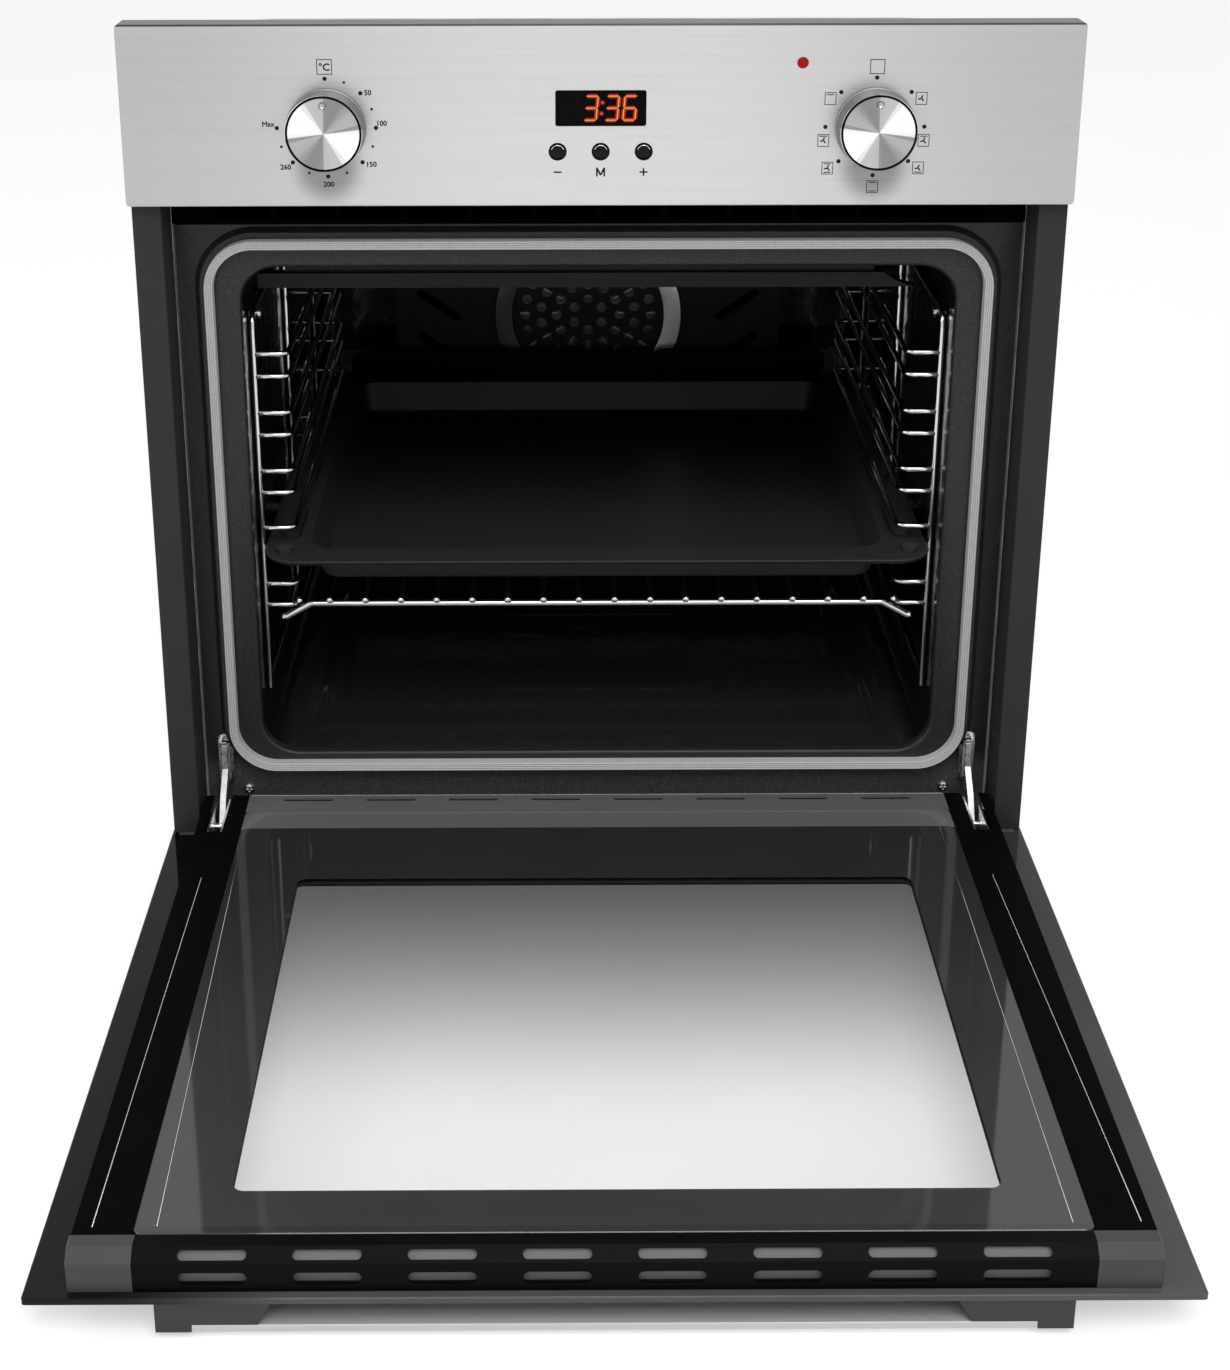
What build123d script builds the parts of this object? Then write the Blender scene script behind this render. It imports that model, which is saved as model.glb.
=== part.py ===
from build123d import *

import math
import os

# Built-in electric oven, door open on its stop, tray and wire shelf home.
# Millimetres. X to the right, +Y into the cabinet, +Z up. The origin is on the underside of the
# base pan, on the oven's centre line, in the plane of the cabinet's front.

# ---------------------------------------------------------------- driving dimensions: fits
SEAT = 0.3            # gap between pieces that stand against each other
RUN = 0.05            # radial clearance of a shaft in its bush
SHEET = 1.0           # casing and bracket sheet

# ---------------------------------------------------------------- driving dimensions: front
FRONT_WIDTH = 595.0
FRONT_TOP = 595.0
PANEL_HEIGHT = 114.0
PANEL_PROUD = 20.0    # control panel face in front of the cabinet
PANEL_SHEET = 1.0
PANEL_RETURN_GAP = 0.5
PANEL_CORNER = 2.5
PANEL_EDGE = 0.9

TRIM_INSET = 1.5      # trim's outer face inside the panel's end
TRIM_PROUD = 12.0     # side trims in front of the cabinet
TRIM_GLASS_GAP = 1.5  # the door glass swings under the trims
TRIM_EDGE = 0.8
FIXING_HOLE_R = 2.25
FIXING_HOLE_Y = 8.0
FIXING_HOLE_LOW = 95.0
FIXING_HOLE_PITCH = 330.0

# ---------------------------------------------------------------- driving dimensions: housing
BODY_INSET = 19.0     # body's side inside the panel's end
BODY_DEPTH = 545.0
ROOF_DROP = 23.0      # casing roof below the panel's top edge
ROOF_FLAT = 130.0     # level part of the roof, before it slopes to the rear
ROOF_FALL = 61.0
PAN_FRONT = -8.0
PAN_FLANGE = 12.0
PAN_FLANGE_START = 30.0
PAN_FLANGE_END = 4.0
PAN_SLOT = (60.0, 6.0)
PAN_SLOT_PITCH = (100.0, 30.0)
PAN_SLOT_FRONT = 130.0
PAN_SLOT_BACK = 115.0 # rearmost slots in front of the body's rear
FRAME_Y = 21.0        # enamelled front frame behind the cabinet front
FRAME_SHEET = 1.2
FRAME_BOTTOM = 4.0
FRAME_DROP = 21.5     # frame's top edge below the panel
FRAME_FLANGE = 14.0
RIM_STEP = 5.5        # stamped rim around the mouth stands forward by this
RIM_MARGIN = 5.0      # rim beyond the gasket
CASING_FRONT = 24.0
ROOF_SLOT = (70.0, 5.0)
ROOF_SLOT_PITCH = (120.0, 14.0)
ROOF_SLOT_BACK = 75.0
COVER_SLOT = (80.0, 5.0)
COVER_SLOT_PITCH = 14.0
COVER_SLOT_LOW = 200.0
COVER_SLOT_DROP = 19.0
SIDE_SLOT = (60.0, 4.0)
SIDE_SLOT_PITCH = 12.0
SIDE_SLOT_BACK = 105.0
SIDE_SLOT_DROP = 41.0
INLET_INSET = 88.5
INLET_DROP = 24.0
INLET_R = 9.0
FRAME_SCREW_R = 4.0
FRAME_SCREW_INSET = 15.0
FRAME_SCREW_Z = 46.0

# ---------------------------------------------------------------- driving dimensions: cavity
MOUTH_SIDE = 22.7     # gasket's outer edge to the mouth, at the sides
MOUTH_BELOW = 11.5
MOUTH_ABOVE = 19.4
MOUTH_RADIUS = 25.0
REAR_ROOM = 95.0      # space behind the cavity for the fan motor
CAVITY_SHEET = 1.2
CAVITY_FLANGE = 12.0
FLOOR_PAD_SIDE = 31.5
FLOOR_PAD_FRONT = 47.0
FLOOR_PAD_BACK = 40.0
FLOOR_PAD_RISE = 1.2
FLOOR_BEAD_SIDE = 49.5
FLOOR_BEAD_FRONT = 83.0
FLOOR_BEAD_BACK = 70.0
FLOOR_BEAD_WIDTH = 4.0
FLOOR_BEAD_RADIUS = 14.0
FLOOR_BEAD_RISE = 1.2
FLOOR_BOSS_HALF = 76.0
FLOOR_BOSS_RADIUS = 12.0
FLOOR_BOSS_FRONT = 105.0
FLOOR_BOSS_REAR = 240.0
FLOOR_BOSS_RISE = 0.9

GASKET_HINGE_GAP = 2.8
GASKET_DROP = 8.6     # gasket's top below the frame's
GASKET_BOTTOM = 66.0
GASKET_BAND = 6.0
GASKET_THICK = 7.5
GASKET_RADIUS = 33.0
GASKET_GROOVE = 0.6
GASKET_GROOVES = 3
GASKET_EDGE = 1.0

BLANKET_THICK = 24.0
BLANKET_FRONT = 26.0
BLANKET_BELOW = 11.0
BLANKET_DUCT_GAP = 1.3
ELEMENT_ROOM = 14.0   # space under the cavity floor for the lower element
ELEMENT_ROOM_SIDE = 44.5
ELEMENT_ROOM_FRONT = 30.0

DEFLECTOR_LEFT_GAP = 6.5
DEFLECTOR_RIGHT_GAP = 20.5
DEFLECTOR_DROP = 24.0
DEFLECTOR_NECK = 14.0
DEFLECTOR_Y = 52.0
DEFLECTOR_THICK = 10.0
DEFLECTOR_END = 22.0

# ---------------------------------------------------------------- driving dimensions: hot air
FAN_RISE = 20.5       # fan's axis above the middle of the mouth
BAFFLE_SIDE = 69.5
BAFFLE_BELOW = 40.5
BAFFLE_ABOVE = 29.5
BAFFLE_DEPTH = 26.0
BAFFLE_SLOTS = 6
BAFFLE_SLOT = (44.0, 7.0)
BAFFLE_SLOT_INSET = 37.0
BAFFLE_SLOT_LOW = 52.0
BAFFLE_SLOT_PITCH = 38.0
BAFFLE_SLOT_LEAN = 35.0
BAFFLE_SHEET = 1.2
BAFFLE_CORNER = 10.0
GRILLE_R = 66.0       # perforated eye inside the bright ring
GRILLE_RINGS = 4
GRILLE_PITCH = 13.5
GRILLE_HOLE_R = 4.3
RING_R = 80.5
RING_THICK = 3.0
FAN_R = 62.0
FAN_DEPTH = 16.0
FAN_BLADES = 12
FAN_SHAFT_R = 4.0
FAN_SHAFT_REACH = 46.0
MOTOR_R = 32.0
MOTOR_LENGTH = 42.0
MOTOR_FLANGE = 26.0   # flange beyond the motor's diameter
MOTOR_END_R = 9.0
ELEMENT_R = 3.25      # tubular heating elements
RING_ELEMENT_R = 74.0
GRILL_DROP = 15.0     # grill element below the cavity ceiling

LAMP_SIDE = 32.5
LAMP_DROP = 39.5
LAMP_R = 22.0
LAMP_RIM = 4.5

# ---------------------------------------------------------------- driving dimensions: cooling
DUCT_SIDE = 28.5
DUCT_PANEL_GAP = 0.4
DUCT_BLOWER_GAP = 46.0
OUTLET_CELLS = 12
OUTLET_VANE = 4.18
OUTLET_END = 26.1
OUTLET_RIM = 2.0
BLOWER_BACK = 169.0   # blower's axis in front of the body's rear
BLOWER_RISE = 17.4    # blower's axis above the duct
BLOWER_R = 33.0
BLOWER_HALF = 118.0
BLOWER_WALL_GAP = 8.0 # wheel's rim to the housing
BLOWER_BLADES = 16
BLOWER_BLADE = (7.0, 0.8)
BLOWER_BLADE_TURN = 28.0
BLOWER_SHAFT_R = 3.0
BLOWER_THROAT = 4.0   # blower's mouth above the duct's roof
BLOWER_INTAKE = (16.0, 21.0)
BLOWER_MOTOR = 44.0
BLOWER_MOTOR_SIDE = 50.0
BLOWER_MOTOR_CAP_R = 17.0

# ---------------------------------------------------------------- driving dimensions: controls
DIAL_X = 170.0
DIAL_RISE = 50.0      # knob's axis above the panel's lower edge
KNOB_R = 23.8
KNOB_SKIRT_R = 24.8
KNOB_SKIRT = 2.4
KNOB_PROUD = 19.0
KNOB_GAP = 0.4
KNOB_WALL = 2.6
KNOB_RING_IN = 22.1
KNOB_RING_OUT = 23.1
KNOB_RING_DEEP = 0.7
KNOB_MARK_R = 17.3
KNOB_MARK_DIMPLE = 2.2
KNOB_HUB_R = 6.5
SHAFT_R = 3.0
SHAFT_IN_KNOB = 13.0
BUSH_R = 5.0
CARRIER_FRONT = -3.5
CARRIER_SIDE_END = 60.0
CARRIER_WINDOW = (40.0, 50.0)
CARRIER_WINDOW_RISE = 39.0
CARRIER_WINDOW_IN = 90.0
CARRIER_WINDOW_OUT = 70.0
SWITCH_HALF = 18.0
SWITCH_DEPTH = 28.0
SWITCH_TAB = 6.0
SWITCH_TAB_PITCH = 10.0
SWITCH_TALL = (18.0, 24.0)
DISPLAY_WIDTH = 56.4
DISPLAY_HEIGHT = 22.5
DISPLAY_RISE = 62.0
BUTTON_PITCH = 26.8
BUTTON_RISE = 34.7
BUTTON_R = 4.5
BUTTON_HOLE_R = 5.15
BUTTON_PROUD = 1.0
BUTTON_TRAVEL = 1.2
TIMER_HALF = 42.0
TIMER_RISE = 26.0
TIMER_HEIGHT = 52.0
POWER_SIDE = 46.0
POWER_DROP = 24.0
POWER_R = 3.4

# ---------------------------------------------------------------- driving dimensions: racks
RACK_FRONT = 45.0
RACK_BACK = 58.0      # rack's rear end in front of the cavity's rear wall
RACK_WIRE_R = 2.0
RACK_RUNG_REACH = 23.2
RACK_WALL_GAP = 2.3
RACK_RISE = 100.5     # lowest rung above the cavity floor
RACK_HEADROOM = 45.0  # top level's rung below the rack's top wire
RACK_LEVELS = 5
RACK_PAIR = 16.0
RACK_ABOVE = 39.5
RACK_BELOW = 34.5
RACK_BAR_RISE = 6.0
RACK_BEND = 12.0
RUNG_BEND = 7.0
PEG_INSET = 14.0
PEG_R = 2.0
PEG_HEAD_R = 3.6

TRAY_LEVEL = 1        # counted from the lowest, which is 0
TRAY_SIDE_GAP = 0.7   # tray's edge beside the rack's wall wires
TRAY_FRONT = 9.5
TRAY_BACK_GAP = 10.5  # tray's rear edge in front of the fan cover
TRAY_WELL_GAP = 8.0   # well's edge inside the rungs
TRAY_WELL_FRONT = 27.0
TRAY_WELL_REAR = 16.0
TRAY_WELL_DEEP = 26.0
TRAY_WELL_TAPER = 18.0
TRAY_WELL_CORNER = 22.0
TRAY_SHEET = 1.0
TRAY_BEAD_R = 1.6
TRAY_CORNER = 24.0
TRAY_LIP = 22.0
TRAY_LIP_GAP = 6.0
TRAY_SLOT_LENGTH = 56.0
TRAY_SLOT_WIDTH = 14.0
TRAY_SLOTS = (74.0, 180.0)
TRAY_HOLE_R = 5.5
TRAY_HOLE = 20.0

SHELF_RUNG_GAP = 1.0  # shelf's side wires inside the rungs' middles
SHELF_FRONT = 35.0
SHELF_BACK_GAP = 24.0
SHELF_WIRE_R = 3.0
SHELF_ROD_R = 1.8
SHELF_RODS = 16
SHELF_ROD_MARGIN = 22.0
SHELF_END_REACH = 8.0
SHELF_END_DROP = 10.0
SHELF_END_RUN = 18.0
SHELF_STOP = 9.5
SHELF_STOP_INSET = 10.0

# ---------------------------------------------------------------- driving dimensions: door
HINGE_Y = -11.0       # door pivot
HINGE_Z = 33.5
HINGE_INSET = 16.5    # hinge's middle inside the body's side
GLASS = 4.0
GLASS_EDGE = 0.5
DOOR_GAP = 4.0        # under the control panel, and above the base, with the door shut
DOOR_SIDE_GAP = 3.0   # door's inner frame inside the trims
DOOR_INNER_REAR = 0.6
DOOR_INNER_SETBACK = 4.5
DOOR_INNER_RISE = 18.4  # inner face above the pivot with the door open
RAIL_WIDTH = 30.9
PANE_FRONT_GAP = 0.4
RAIL_WALL = 1.2
RAIL_LEDGE = 15.6
RAIL_SLOT_HALF = 6.5
RAIL_SLOT_LENGTH = 49.0
BOTTOM_RAIL_DEPTH = 22.6
VENT_DEPTH = 14.0
VENT_FACE = 17.3      # height of the vent trim's upright face
VENT_WALL = 1.6
VENT_SLOTS = 8
VENT_END = 11.0       # trim's end to the first slot's share of it
VENT_SLOT_LENGTH = 34.8
VENT_SLOT_LOW = 7.2
VENT_SLOT_HIGH = 5.2
VENT_SHORT = 1.8      # vent trim's end inside the inner pane's edge
CAP_PROUD = 0.7       # end cap beyond the door's inner frame
CAP_EDGE = 0.6

HANDLE_INSET = 84.0
HANDLE_DEPTH = 26.0
HANDLE_SETBACK = 3.5  # behind the glass edge
HANDLE_PLATE = 4.4
HANDLE_STANDOFF = 19.9
BRACKET_REACH = (41.5, 18.5)
BRACKET_SLOPE = 8.0
HANDLE_SCREW_PLACES = (-23.5, 9.5)
HANDLE_SCREW_R = 2.0
HANDLE_SCREW_SETBACK = 7.2
DOOR_SCREW_INSET = 7.3
DOOR_SCREW_ENDS = (94.7, 48.6)
DOOR_SCREW_R = 1.7

ARM_THICK = 4.0
ARM_HUB_R = 4.5
ARM_SETBACK = 3.2     # arm's rear edge in front of the frame
ARM_HOOK = 5.0        # hooks reach behind the frame by this
PIVOT_R = 2.5
HINGE_BODY_HALF = 5.2
HINGE_BODY_WALL = 1.2
HINGE_BODY_LENGTH = 190.0
SPRING_LENGTH = 110.0
SPRING_BORE_R = 1.9
SPRING_TURNS = 22
RECEIVER_HALF = 5.2
RECEIVER_LOW = 51.0
RECEIVER_HIGH = 90.0
RECEIVER_PROUD = 8.0

# ---------------------------------------------------------------- derived places
HALF = FRONT_WIDTH / 2
TRIM_HALF = HALF - TRIM_INSET
BODY_HALF = HALF - BODY_INSET
INNER_HALF = BODY_HALF - SHEET
BODY_TOP = FRONT_TOP - ROOF_DROP
REAR_TOP = BODY_TOP - ROOF_FALL
PANEL_BOTTOM = FRONT_TOP - PANEL_HEIGHT
FRAME_TOP = PANEL_BOTTOM - FRAME_DROP
HINGE_X = BODY_HALF - HINGE_INSET
FRAME_SCREWS = [(side * (HINGE_X - FRAME_SCREW_INSET), FRAME_SCREW_Z) for side in (-1, 1)]
PANEL_FACE = -PANEL_PROUD
PANEL_BACK = PANEL_FACE + PANEL_SHEET
RIM_Y = FRAME_Y - RIM_STEP
FRAME_BACK = FRAME_Y + FRAME_SHEET
CAVITY_FRONT = FRAME_BACK + SEAT
GASKET_WIDTH = 2 * (HINGE_X - ARM_THICK / 2 - GASKET_HINGE_GAP)
GASKET_HEIGHT = FRAME_TOP - GASKET_DROP - GASKET_BOTTOM
MOUTH_HALF = GASKET_WIDTH / 2 - MOUTH_SIDE
MOUTH_BOTTOM = GASKET_BOTTOM + MOUTH_BELOW
MOUTH_HEIGHT = GASKET_HEIGHT - MOUTH_BELOW - MOUTH_ABOVE
MOUTH_TOP = MOUTH_BOTTOM + MOUTH_HEIGHT
MOUTH_Z = MOUTH_BOTTOM + MOUTH_HEIGHT / 2
CAVITY_BACK = BODY_DEPTH - REAR_ROOM
GASKET_Z = GASKET_BOTTOM + GASKET_HEIGHT / 2
GASKET_FRONT = RIM_Y - GASKET_THICK
CARRIER_BACK = CARRIER_FRONT + SHEET
FAN_Z = MOUTH_Z + FAN_RISE
BAFFLE_HALF = MOUTH_HALF - BAFFLE_SIDE
BAFFLE_LOW = MOUTH_BOTTOM + BAFFLE_BELOW
BAFFLE_HIGH = MOUTH_TOP - BAFFLE_ABOVE
BAFFLE_FRONT = CAVITY_BACK - BAFFLE_DEPTH
LAMP_X = MOUTH_HALF - LAMP_SIDE
LAMP_Z = MOUTH_TOP - LAMP_DROP
DUCT_HALF = BODY_HALF - DUCT_SIDE
DUCT_LOW = MOUTH_TOP + CAVITY_SHEET + BLANKET_THICK + BLANKET_DUCT_GAP
DUCT_HIGH = PANEL_BOTTOM - DUCT_PANEL_GAP
BLOWER_Y = BODY_DEPTH - BLOWER_BACK
BLOWER_Z = DUCT_HIGH + BLOWER_RISE
BLOWER_WHEEL_R = BLOWER_R - SHEET - BLOWER_WALL_GAP
DUCT_REAR = BLOWER_Y - DUCT_BLOWER_GAP
INLET_X = INLET_INSET - BODY_HALF
INLET_Z = REAR_TOP - INLET_DROP

DIAL_Z = PANEL_BOTTOM + DIAL_RISE
DISPLAY_Z = PANEL_BOTTOM + DISPLAY_RISE
BUTTON_Z = PANEL_BOTTOM + BUTTON_RISE
TIMER_LOW = PANEL_BOTTOM + TIMER_RISE
TIMER_HIGH = TIMER_LOW + TIMER_HEIGHT
POWER_X = DIAL_X - POWER_SIDE
POWER_Z = FRONT_TOP - POWER_DROP

RACK_WALL_X = MOUTH_HALF - RACK_WALL_GAP
RACK_RUNG_X = RACK_WALL_X - RACK_RUNG_REACH
RACK_REAR = CAVITY_BACK - RACK_BACK
RACK_LOWEST = MOUTH_BOTTOM + RACK_RISE
RACK_TOP = MOUTH_TOP - RACK_ABOVE
RACK_PITCH = (RACK_TOP - RACK_HEADROOM - RACK_LOWEST) / (RACK_LEVELS - 1)
RACK_FOOT = MOUTH_BOTTOM + RACK_BELOW

# The open door lies so that, shut, its glass is flush with the control panel.
GLASS_UNDER = HINGE_Z - PANEL_PROUD - HINGE_Y
GLASS_TOP = GLASS_UNDER + GLASS
GLASS_FRONT = HINGE_Y - (PANEL_BOTTOM - DOOR_GAP - HINGE_Z)
GLASS_REAR = HINGE_Y + HINGE_Z - DOOR_GAP
TRIM_BOTTOM = GLASS_TOP + TRIM_GLASS_GAP
DOOR_INNER_HALF = INNER_HALF - DOOR_SIDE_GAP
DOOR_INNER_FRONT = GLASS_FRONT + DOOR_INNER_SETBACK
PANE_HALF = DOOR_INNER_HALF - RAIL_WIDTH
RAIL_LEDGE_IN = PANE_HALF - RAIL_LEDGE
VENT_HALF = PANE_HALF - VENT_SHORT
VENT_PITCH = 2 * (VENT_HALF - VENT_END) / VENT_SLOTS
CAP_OUT = DOOR_INNER_HALF + CAP_PROUD
HANDLE_HALF = HALF - HANDLE_INSET
BRACKET_IN = HANDLE_HALF - BRACKET_REACH[0]
BRACKET_OUT = HANDLE_HALF + BRACKET_REACH[1]
HANDLE_SCREWS = [HANDLE_HALF + place for place in HANDLE_SCREW_PLACES]
SCREW_Y = DOOR_INNER_FRONT + HANDLE_SCREW_SETBACK
INNER_TOP = HINGE_Z + DOOR_INNER_RISE
RAIL_FRONT = DOOR_INNER_FRONT + VENT_DEPTH
PANE_REAR = DOOR_INNER_REAR - BOTTOM_RAIL_DEPTH - SEAT
PANE_FRONT = RAIL_FRONT + PANE_FRONT_GAP
PANE_UNDER = INNER_TOP - GLASS
LEDGE_TOP = PANE_UNDER - 1.9
DOOR_SCREW_X = PANE_HALF - DOOR_SCREW_INSET
DOOR_SCREW_Y = (PANE_REAR - DOOR_SCREW_ENDS[0], PANE_FRONT + DOOR_SCREW_ENDS[1])
HANDLE_LOW = GLASS_UNDER - HANDLE_STANDOFF - SEAT
HANDLE_FRONT = GLASS_FRONT + HANDLE_SETBACK

TRAY_RUNG = RACK_LOWEST + TRAY_LEVEL * RACK_PITCH
TRAY_FLANGE_LOW = TRAY_RUNG + RACK_WIRE_R + SEAT
TRAY_HALF = RACK_WALL_X - RACK_WIRE_R - TRAY_SIDE_GAP
TRAY_REAR = BAFFLE_FRONT - TRAY_BACK_GAP
TRAY_DEPTH = TRAY_REAR - TRAY_FRONT
TRAY_WELL_HALF = RACK_RUNG_X - TRAY_WELL_GAP
TRAY_LIP_HALF = RACK_RUNG_X - TRAY_LIP_GAP
SHELF_HALF = RACK_RUNG_X - SHELF_RUNG_GAP
SHELF_REAR = BAFFLE_FRONT - SHELF_BACK_GAP
SHELF_END_X = RACK_RUNG_X + SHELF_END_REACH
SHELF_STOP_HALF = SHELF_HALF - SHELF_STOP_INSET
SHELF_ROD_PITCH = 2 * (SHELF_HALF - SHELF_ROD_MARGIN) / (SHELF_RODS - 1)
SHELF_Z = RACK_LOWEST + RACK_WIRE_R + SEAT + SHELF_WIRE_R

parts = {}


# ---------------------------------------------------------------- drawing helpers
def block(x0, x1, y0, y1, z0, z1):
    """Box between two corners."""
    return Pos((x0 + x1) / 2, (y0 + y1) / 2, (z0 + z1) / 2) * Box(x1 - x0, y1 - y0, z1 - z0)


def facing(x, y, z):
    """Frame at a point whose own Z looks out of the front of the oven."""
    return Plane(origin=(x, y, z), x_dir=(1, 0, 0), z_dir=(0, -1, 0)).location


def upright(profile, y0, y1):
    """Sketch drawn in X and Z, made solid from y0 to y1."""
    return extrude(Plane(origin=(0, y1, 0), x_dir=(1, 0, 0), z_dir=(0, -1, 0)) * profile, y1 - y0)


def crosswise(profile, x0, x1):
    """Sketch drawn in Y and Z, made solid from x0 to x1."""
    return extrude(Plane(origin=(x0, 0, 0), x_dir=(0, 1, 0), z_dir=(1, 0, 0)) * profile, x1 - x0)


def flat(profile, z0, z1):
    """Sketch drawn in X and Y, made solid from z0 to z1."""
    return extrude(Plane.XY.offset(z0) * profile, z1 - z0)


def outline(*points):
    """Closed face through the points."""
    return make_face(Polyline(*points, close=True))


def turned(*points):
    """Solid turned about its own Z from half its outline, as (radius, height) points."""
    return revolve(make_face(Plane.XZ * Polyline(*points, close=True)), Axis.Z)


def rod(start, end, radius):
    """Round bar between two points."""
    run = Vector(*end) - Vector(*start)
    plane = Plane(origin=start, z_dir=run)
    return extrude(plane * Circle(radius), run.length)


def bent_rod(points, bend, radius):
    """Round bar along straight runs joined by arcs of one radius."""
    path = FilletPolyline(*points, radius=bend)
    start = Plane(origin=path @ 0, z_dir=path % 0)
    return sweep(start * Circle(radius), path=path)


def pair(solid):
    """A piece of the left side and its twin on the right."""
    return [solid, mirror(solid, about=Plane.YZ)]


# ---------------------------------------------------------------- housing
def base_pan():
    """Flat pan with turned-up sides; the oven stands on it."""
    inner = INNER_HALF - 0.2
    pan = block(-BODY_HALF, BODY_HALF, PAN_FRONT, BODY_DEPTH, 0, SHEET)
    for side in (-1, 1):
        x0, x1 = sorted((side * inner, side * (inner - SHEET)))
        pan += block(x0, x1, PAN_FLANGE_START, BODY_DEPTH - PAN_FLANGE_END, SHEET, SHEET + PAN_FLANGE)
    slots = Sketch()
    across, along = PAN_SLOT_PITCH
    rear = BODY_DEPTH - PAN_SLOT_BACK
    for k in range(4):
        for y in (PAN_SLOT_FRONT, PAN_SLOT_FRONT + along, rear - along, rear):
            slots += Pos((k - 1.5) * across, y) * SlotOverall(*PAN_SLOT)
    return pan - flat(slots, 0, SHEET)


def casing_section(drop):
    """Side view of the casing: level roof in front, then a slope down to the rear."""
    low, rear = SHEET + 0.2, BODY_DEPTH - SHEET
    top = [(CASING_FRONT, BODY_TOP - drop), (ROOF_FLAT, BODY_TOP - drop), (rear, REAR_TOP - drop)]
    return outline((CASING_FRONT, low), *top, (rear, low))


def outer_casing():
    """Sheet folded over both sides and the top, with cooling slots."""
    casing = crosswise(casing_section(0), -BODY_HALF, BODY_HALF)
    casing -= crosswise(casing_section(SHEET), -INNER_HALF, INNER_HALF)
    side_slots = Sketch()
    for k in range(7):
        spot = Pos(BODY_DEPTH - SIDE_SLOT_BACK + SIDE_SLOT_PITCH * k, REAR_TOP - SIDE_SLOT_DROP)
        side_slots += spot * SlotOverall(*SIDE_SLOT, rotation=90)
    top_slots = Sketch()
    across, along = ROOF_SLOT_PITCH
    for column in range(4):
        for k in range(4):
            spot = Pos((column - 1.5) * across, BODY_DEPTH - ROOF_SLOT_BACK + along * k)
            top_slots += spot * SlotOverall(*ROOF_SLOT)
    casing -= crosswise(side_slots, -BODY_HALF, BODY_HALF)
    return casing - flat(top_slots, REAR_TOP - SHEET, BODY_TOP)


def rear_cover():
    """Back sheet with two fields of slots and a hole for the mains inlet."""
    y0, y1 = BODY_DEPTH - SHEET + 0.2, BODY_DEPTH + 0.2
    cover = block(-BODY_HALF, BODY_HALF, y0, y1, SHEET + 0.2, REAR_TOP)
    slots = Sketch()
    for k in range(10):
        slots += [Pos(x, COVER_SLOT_LOW + COVER_SLOT_PITCH * k) * SlotOverall(*COVER_SLOT) for x in (-50, 50)]
    for k in range(4):
        z = REAR_TOP - COVER_SLOT_DROP - COVER_SLOT_PITCH * k
        slots += [Pos(x, z) * SlotOverall(*COVER_SLOT) for x in (0, 110)]
    inlet = Pos(INLET_X, INLET_Z) * Circle(INLET_R)
    return cover - upright(slots + inlet, y0, y1)


def front_frame():
    """Enamelled front: flat sheet, stamped rim around the mouth, side flanges."""
    half = INNER_HALF - 0.2
    frame = block(-half, half, FRAME_Y, FRAME_BACK, FRAME_BOTTOM, FRAME_TOP)
    rim_size = (GASKET_WIDTH + 2 * RIM_MARGIN, GASKET_HEIGHT + 2 * RIM_MARGIN)
    rim = Pos(0, GASKET_Z) * RectangleRounded(*rim_size, GASKET_RADIUS + RIM_MARGIN)
    frame += upright(rim, RIM_Y, FRAME_Y)
    for side in (-1, 1):
        x0, x1 = sorted((side * half, side * (half - SHEET)))
        frame += block(x0, x1, FRAME_BACK, FRAME_BACK + FRAME_FLANGE, SHEET + PAN_FLANGE + 1, FRAME_TOP)
    mouth = Pos(0, MOUTH_Z) * RectangleRounded(2 * MOUTH_HALF, MOUTH_HEIGHT, MOUTH_RADIUS)
    frame -= upright(mouth, RIM_Y, FRAME_BACK)
    for side in (-1, 1):
        relief = Pos(side * HINGE_X, (RECEIVER_HIGH + RECEIVER_LOW) / 2)
        size = (2 * (RECEIVER_HALF + SEAT), RECEIVER_HIGH - RECEIVER_LOW + 2 * SEAT)
        frame -= upright(relief * Rectangle(*size), RIM_Y, FRAME_Y)
    hooks = Sketch() + [
        Pos(side * HINGE_X, z) * Rectangle(ARM_THICK + 2, 9) for side in (-1, 1) for z in (60, 80)
    ]
    screws = Sketch() + [Pos(x, z) * Circle(FRAME_SCREW_R + 0.1) for x, z in FRAME_SCREWS]
    return frame - upright(hooks + screws, RIM_Y, FRAME_BACK)


def side_trim():
    """Left trim: front strip, outer return, and the deep wall beside the door."""
    out, inn = -TRIM_HALF, -INNER_HALF
    front, back = -TRIM_PROUD, FRAME_Y - SEAT
    section = outline(
        (out, -PANEL_RETURN_GAP),
        (out, front),
        (inn, front),
        (inn, back),
        (inn - SHEET, back),
        (inn - SHEET, front + SHEET),
        (out + SHEET, front + SHEET),
        (out + SHEET, -PANEL_RETURN_GAP),
    )
    trim = flat(section, TRIM_BOTTOM, PANEL_BOTTOM - SEAT)
    corners = trim.edges().filter_by(Axis.Z).group_by(Axis.Y)[0]
    trim = fillet(corners, TRIM_EDGE)
    holes = Sketch()
    for z in (FIXING_HOLE_LOW, FIXING_HOLE_LOW + FIXING_HOLE_PITCH):
        holes += Pos(FIXING_HOLE_Y, z) * Circle(FIXING_HOLE_R)
    return trim - crosswise(holes, inn - SHEET, inn)


def pan_head_screw(x, y, z, shank):
    """Cross-head screw whose head stands on a sheet facing the front."""
    body = turned((0, -shank), (1.7, -shank), (1.7, 0), (FRAME_SCREW_R, 0), (3.4, 1.6), (1.5, 2.4), (0, 2.4))
    cross = Box(4.6, 1.0, 1.6) + Box(1.0, 4.6, 1.6)
    return facing(x, y, z) * (body - Pos(0, 0, 2.2) * cross)


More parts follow.
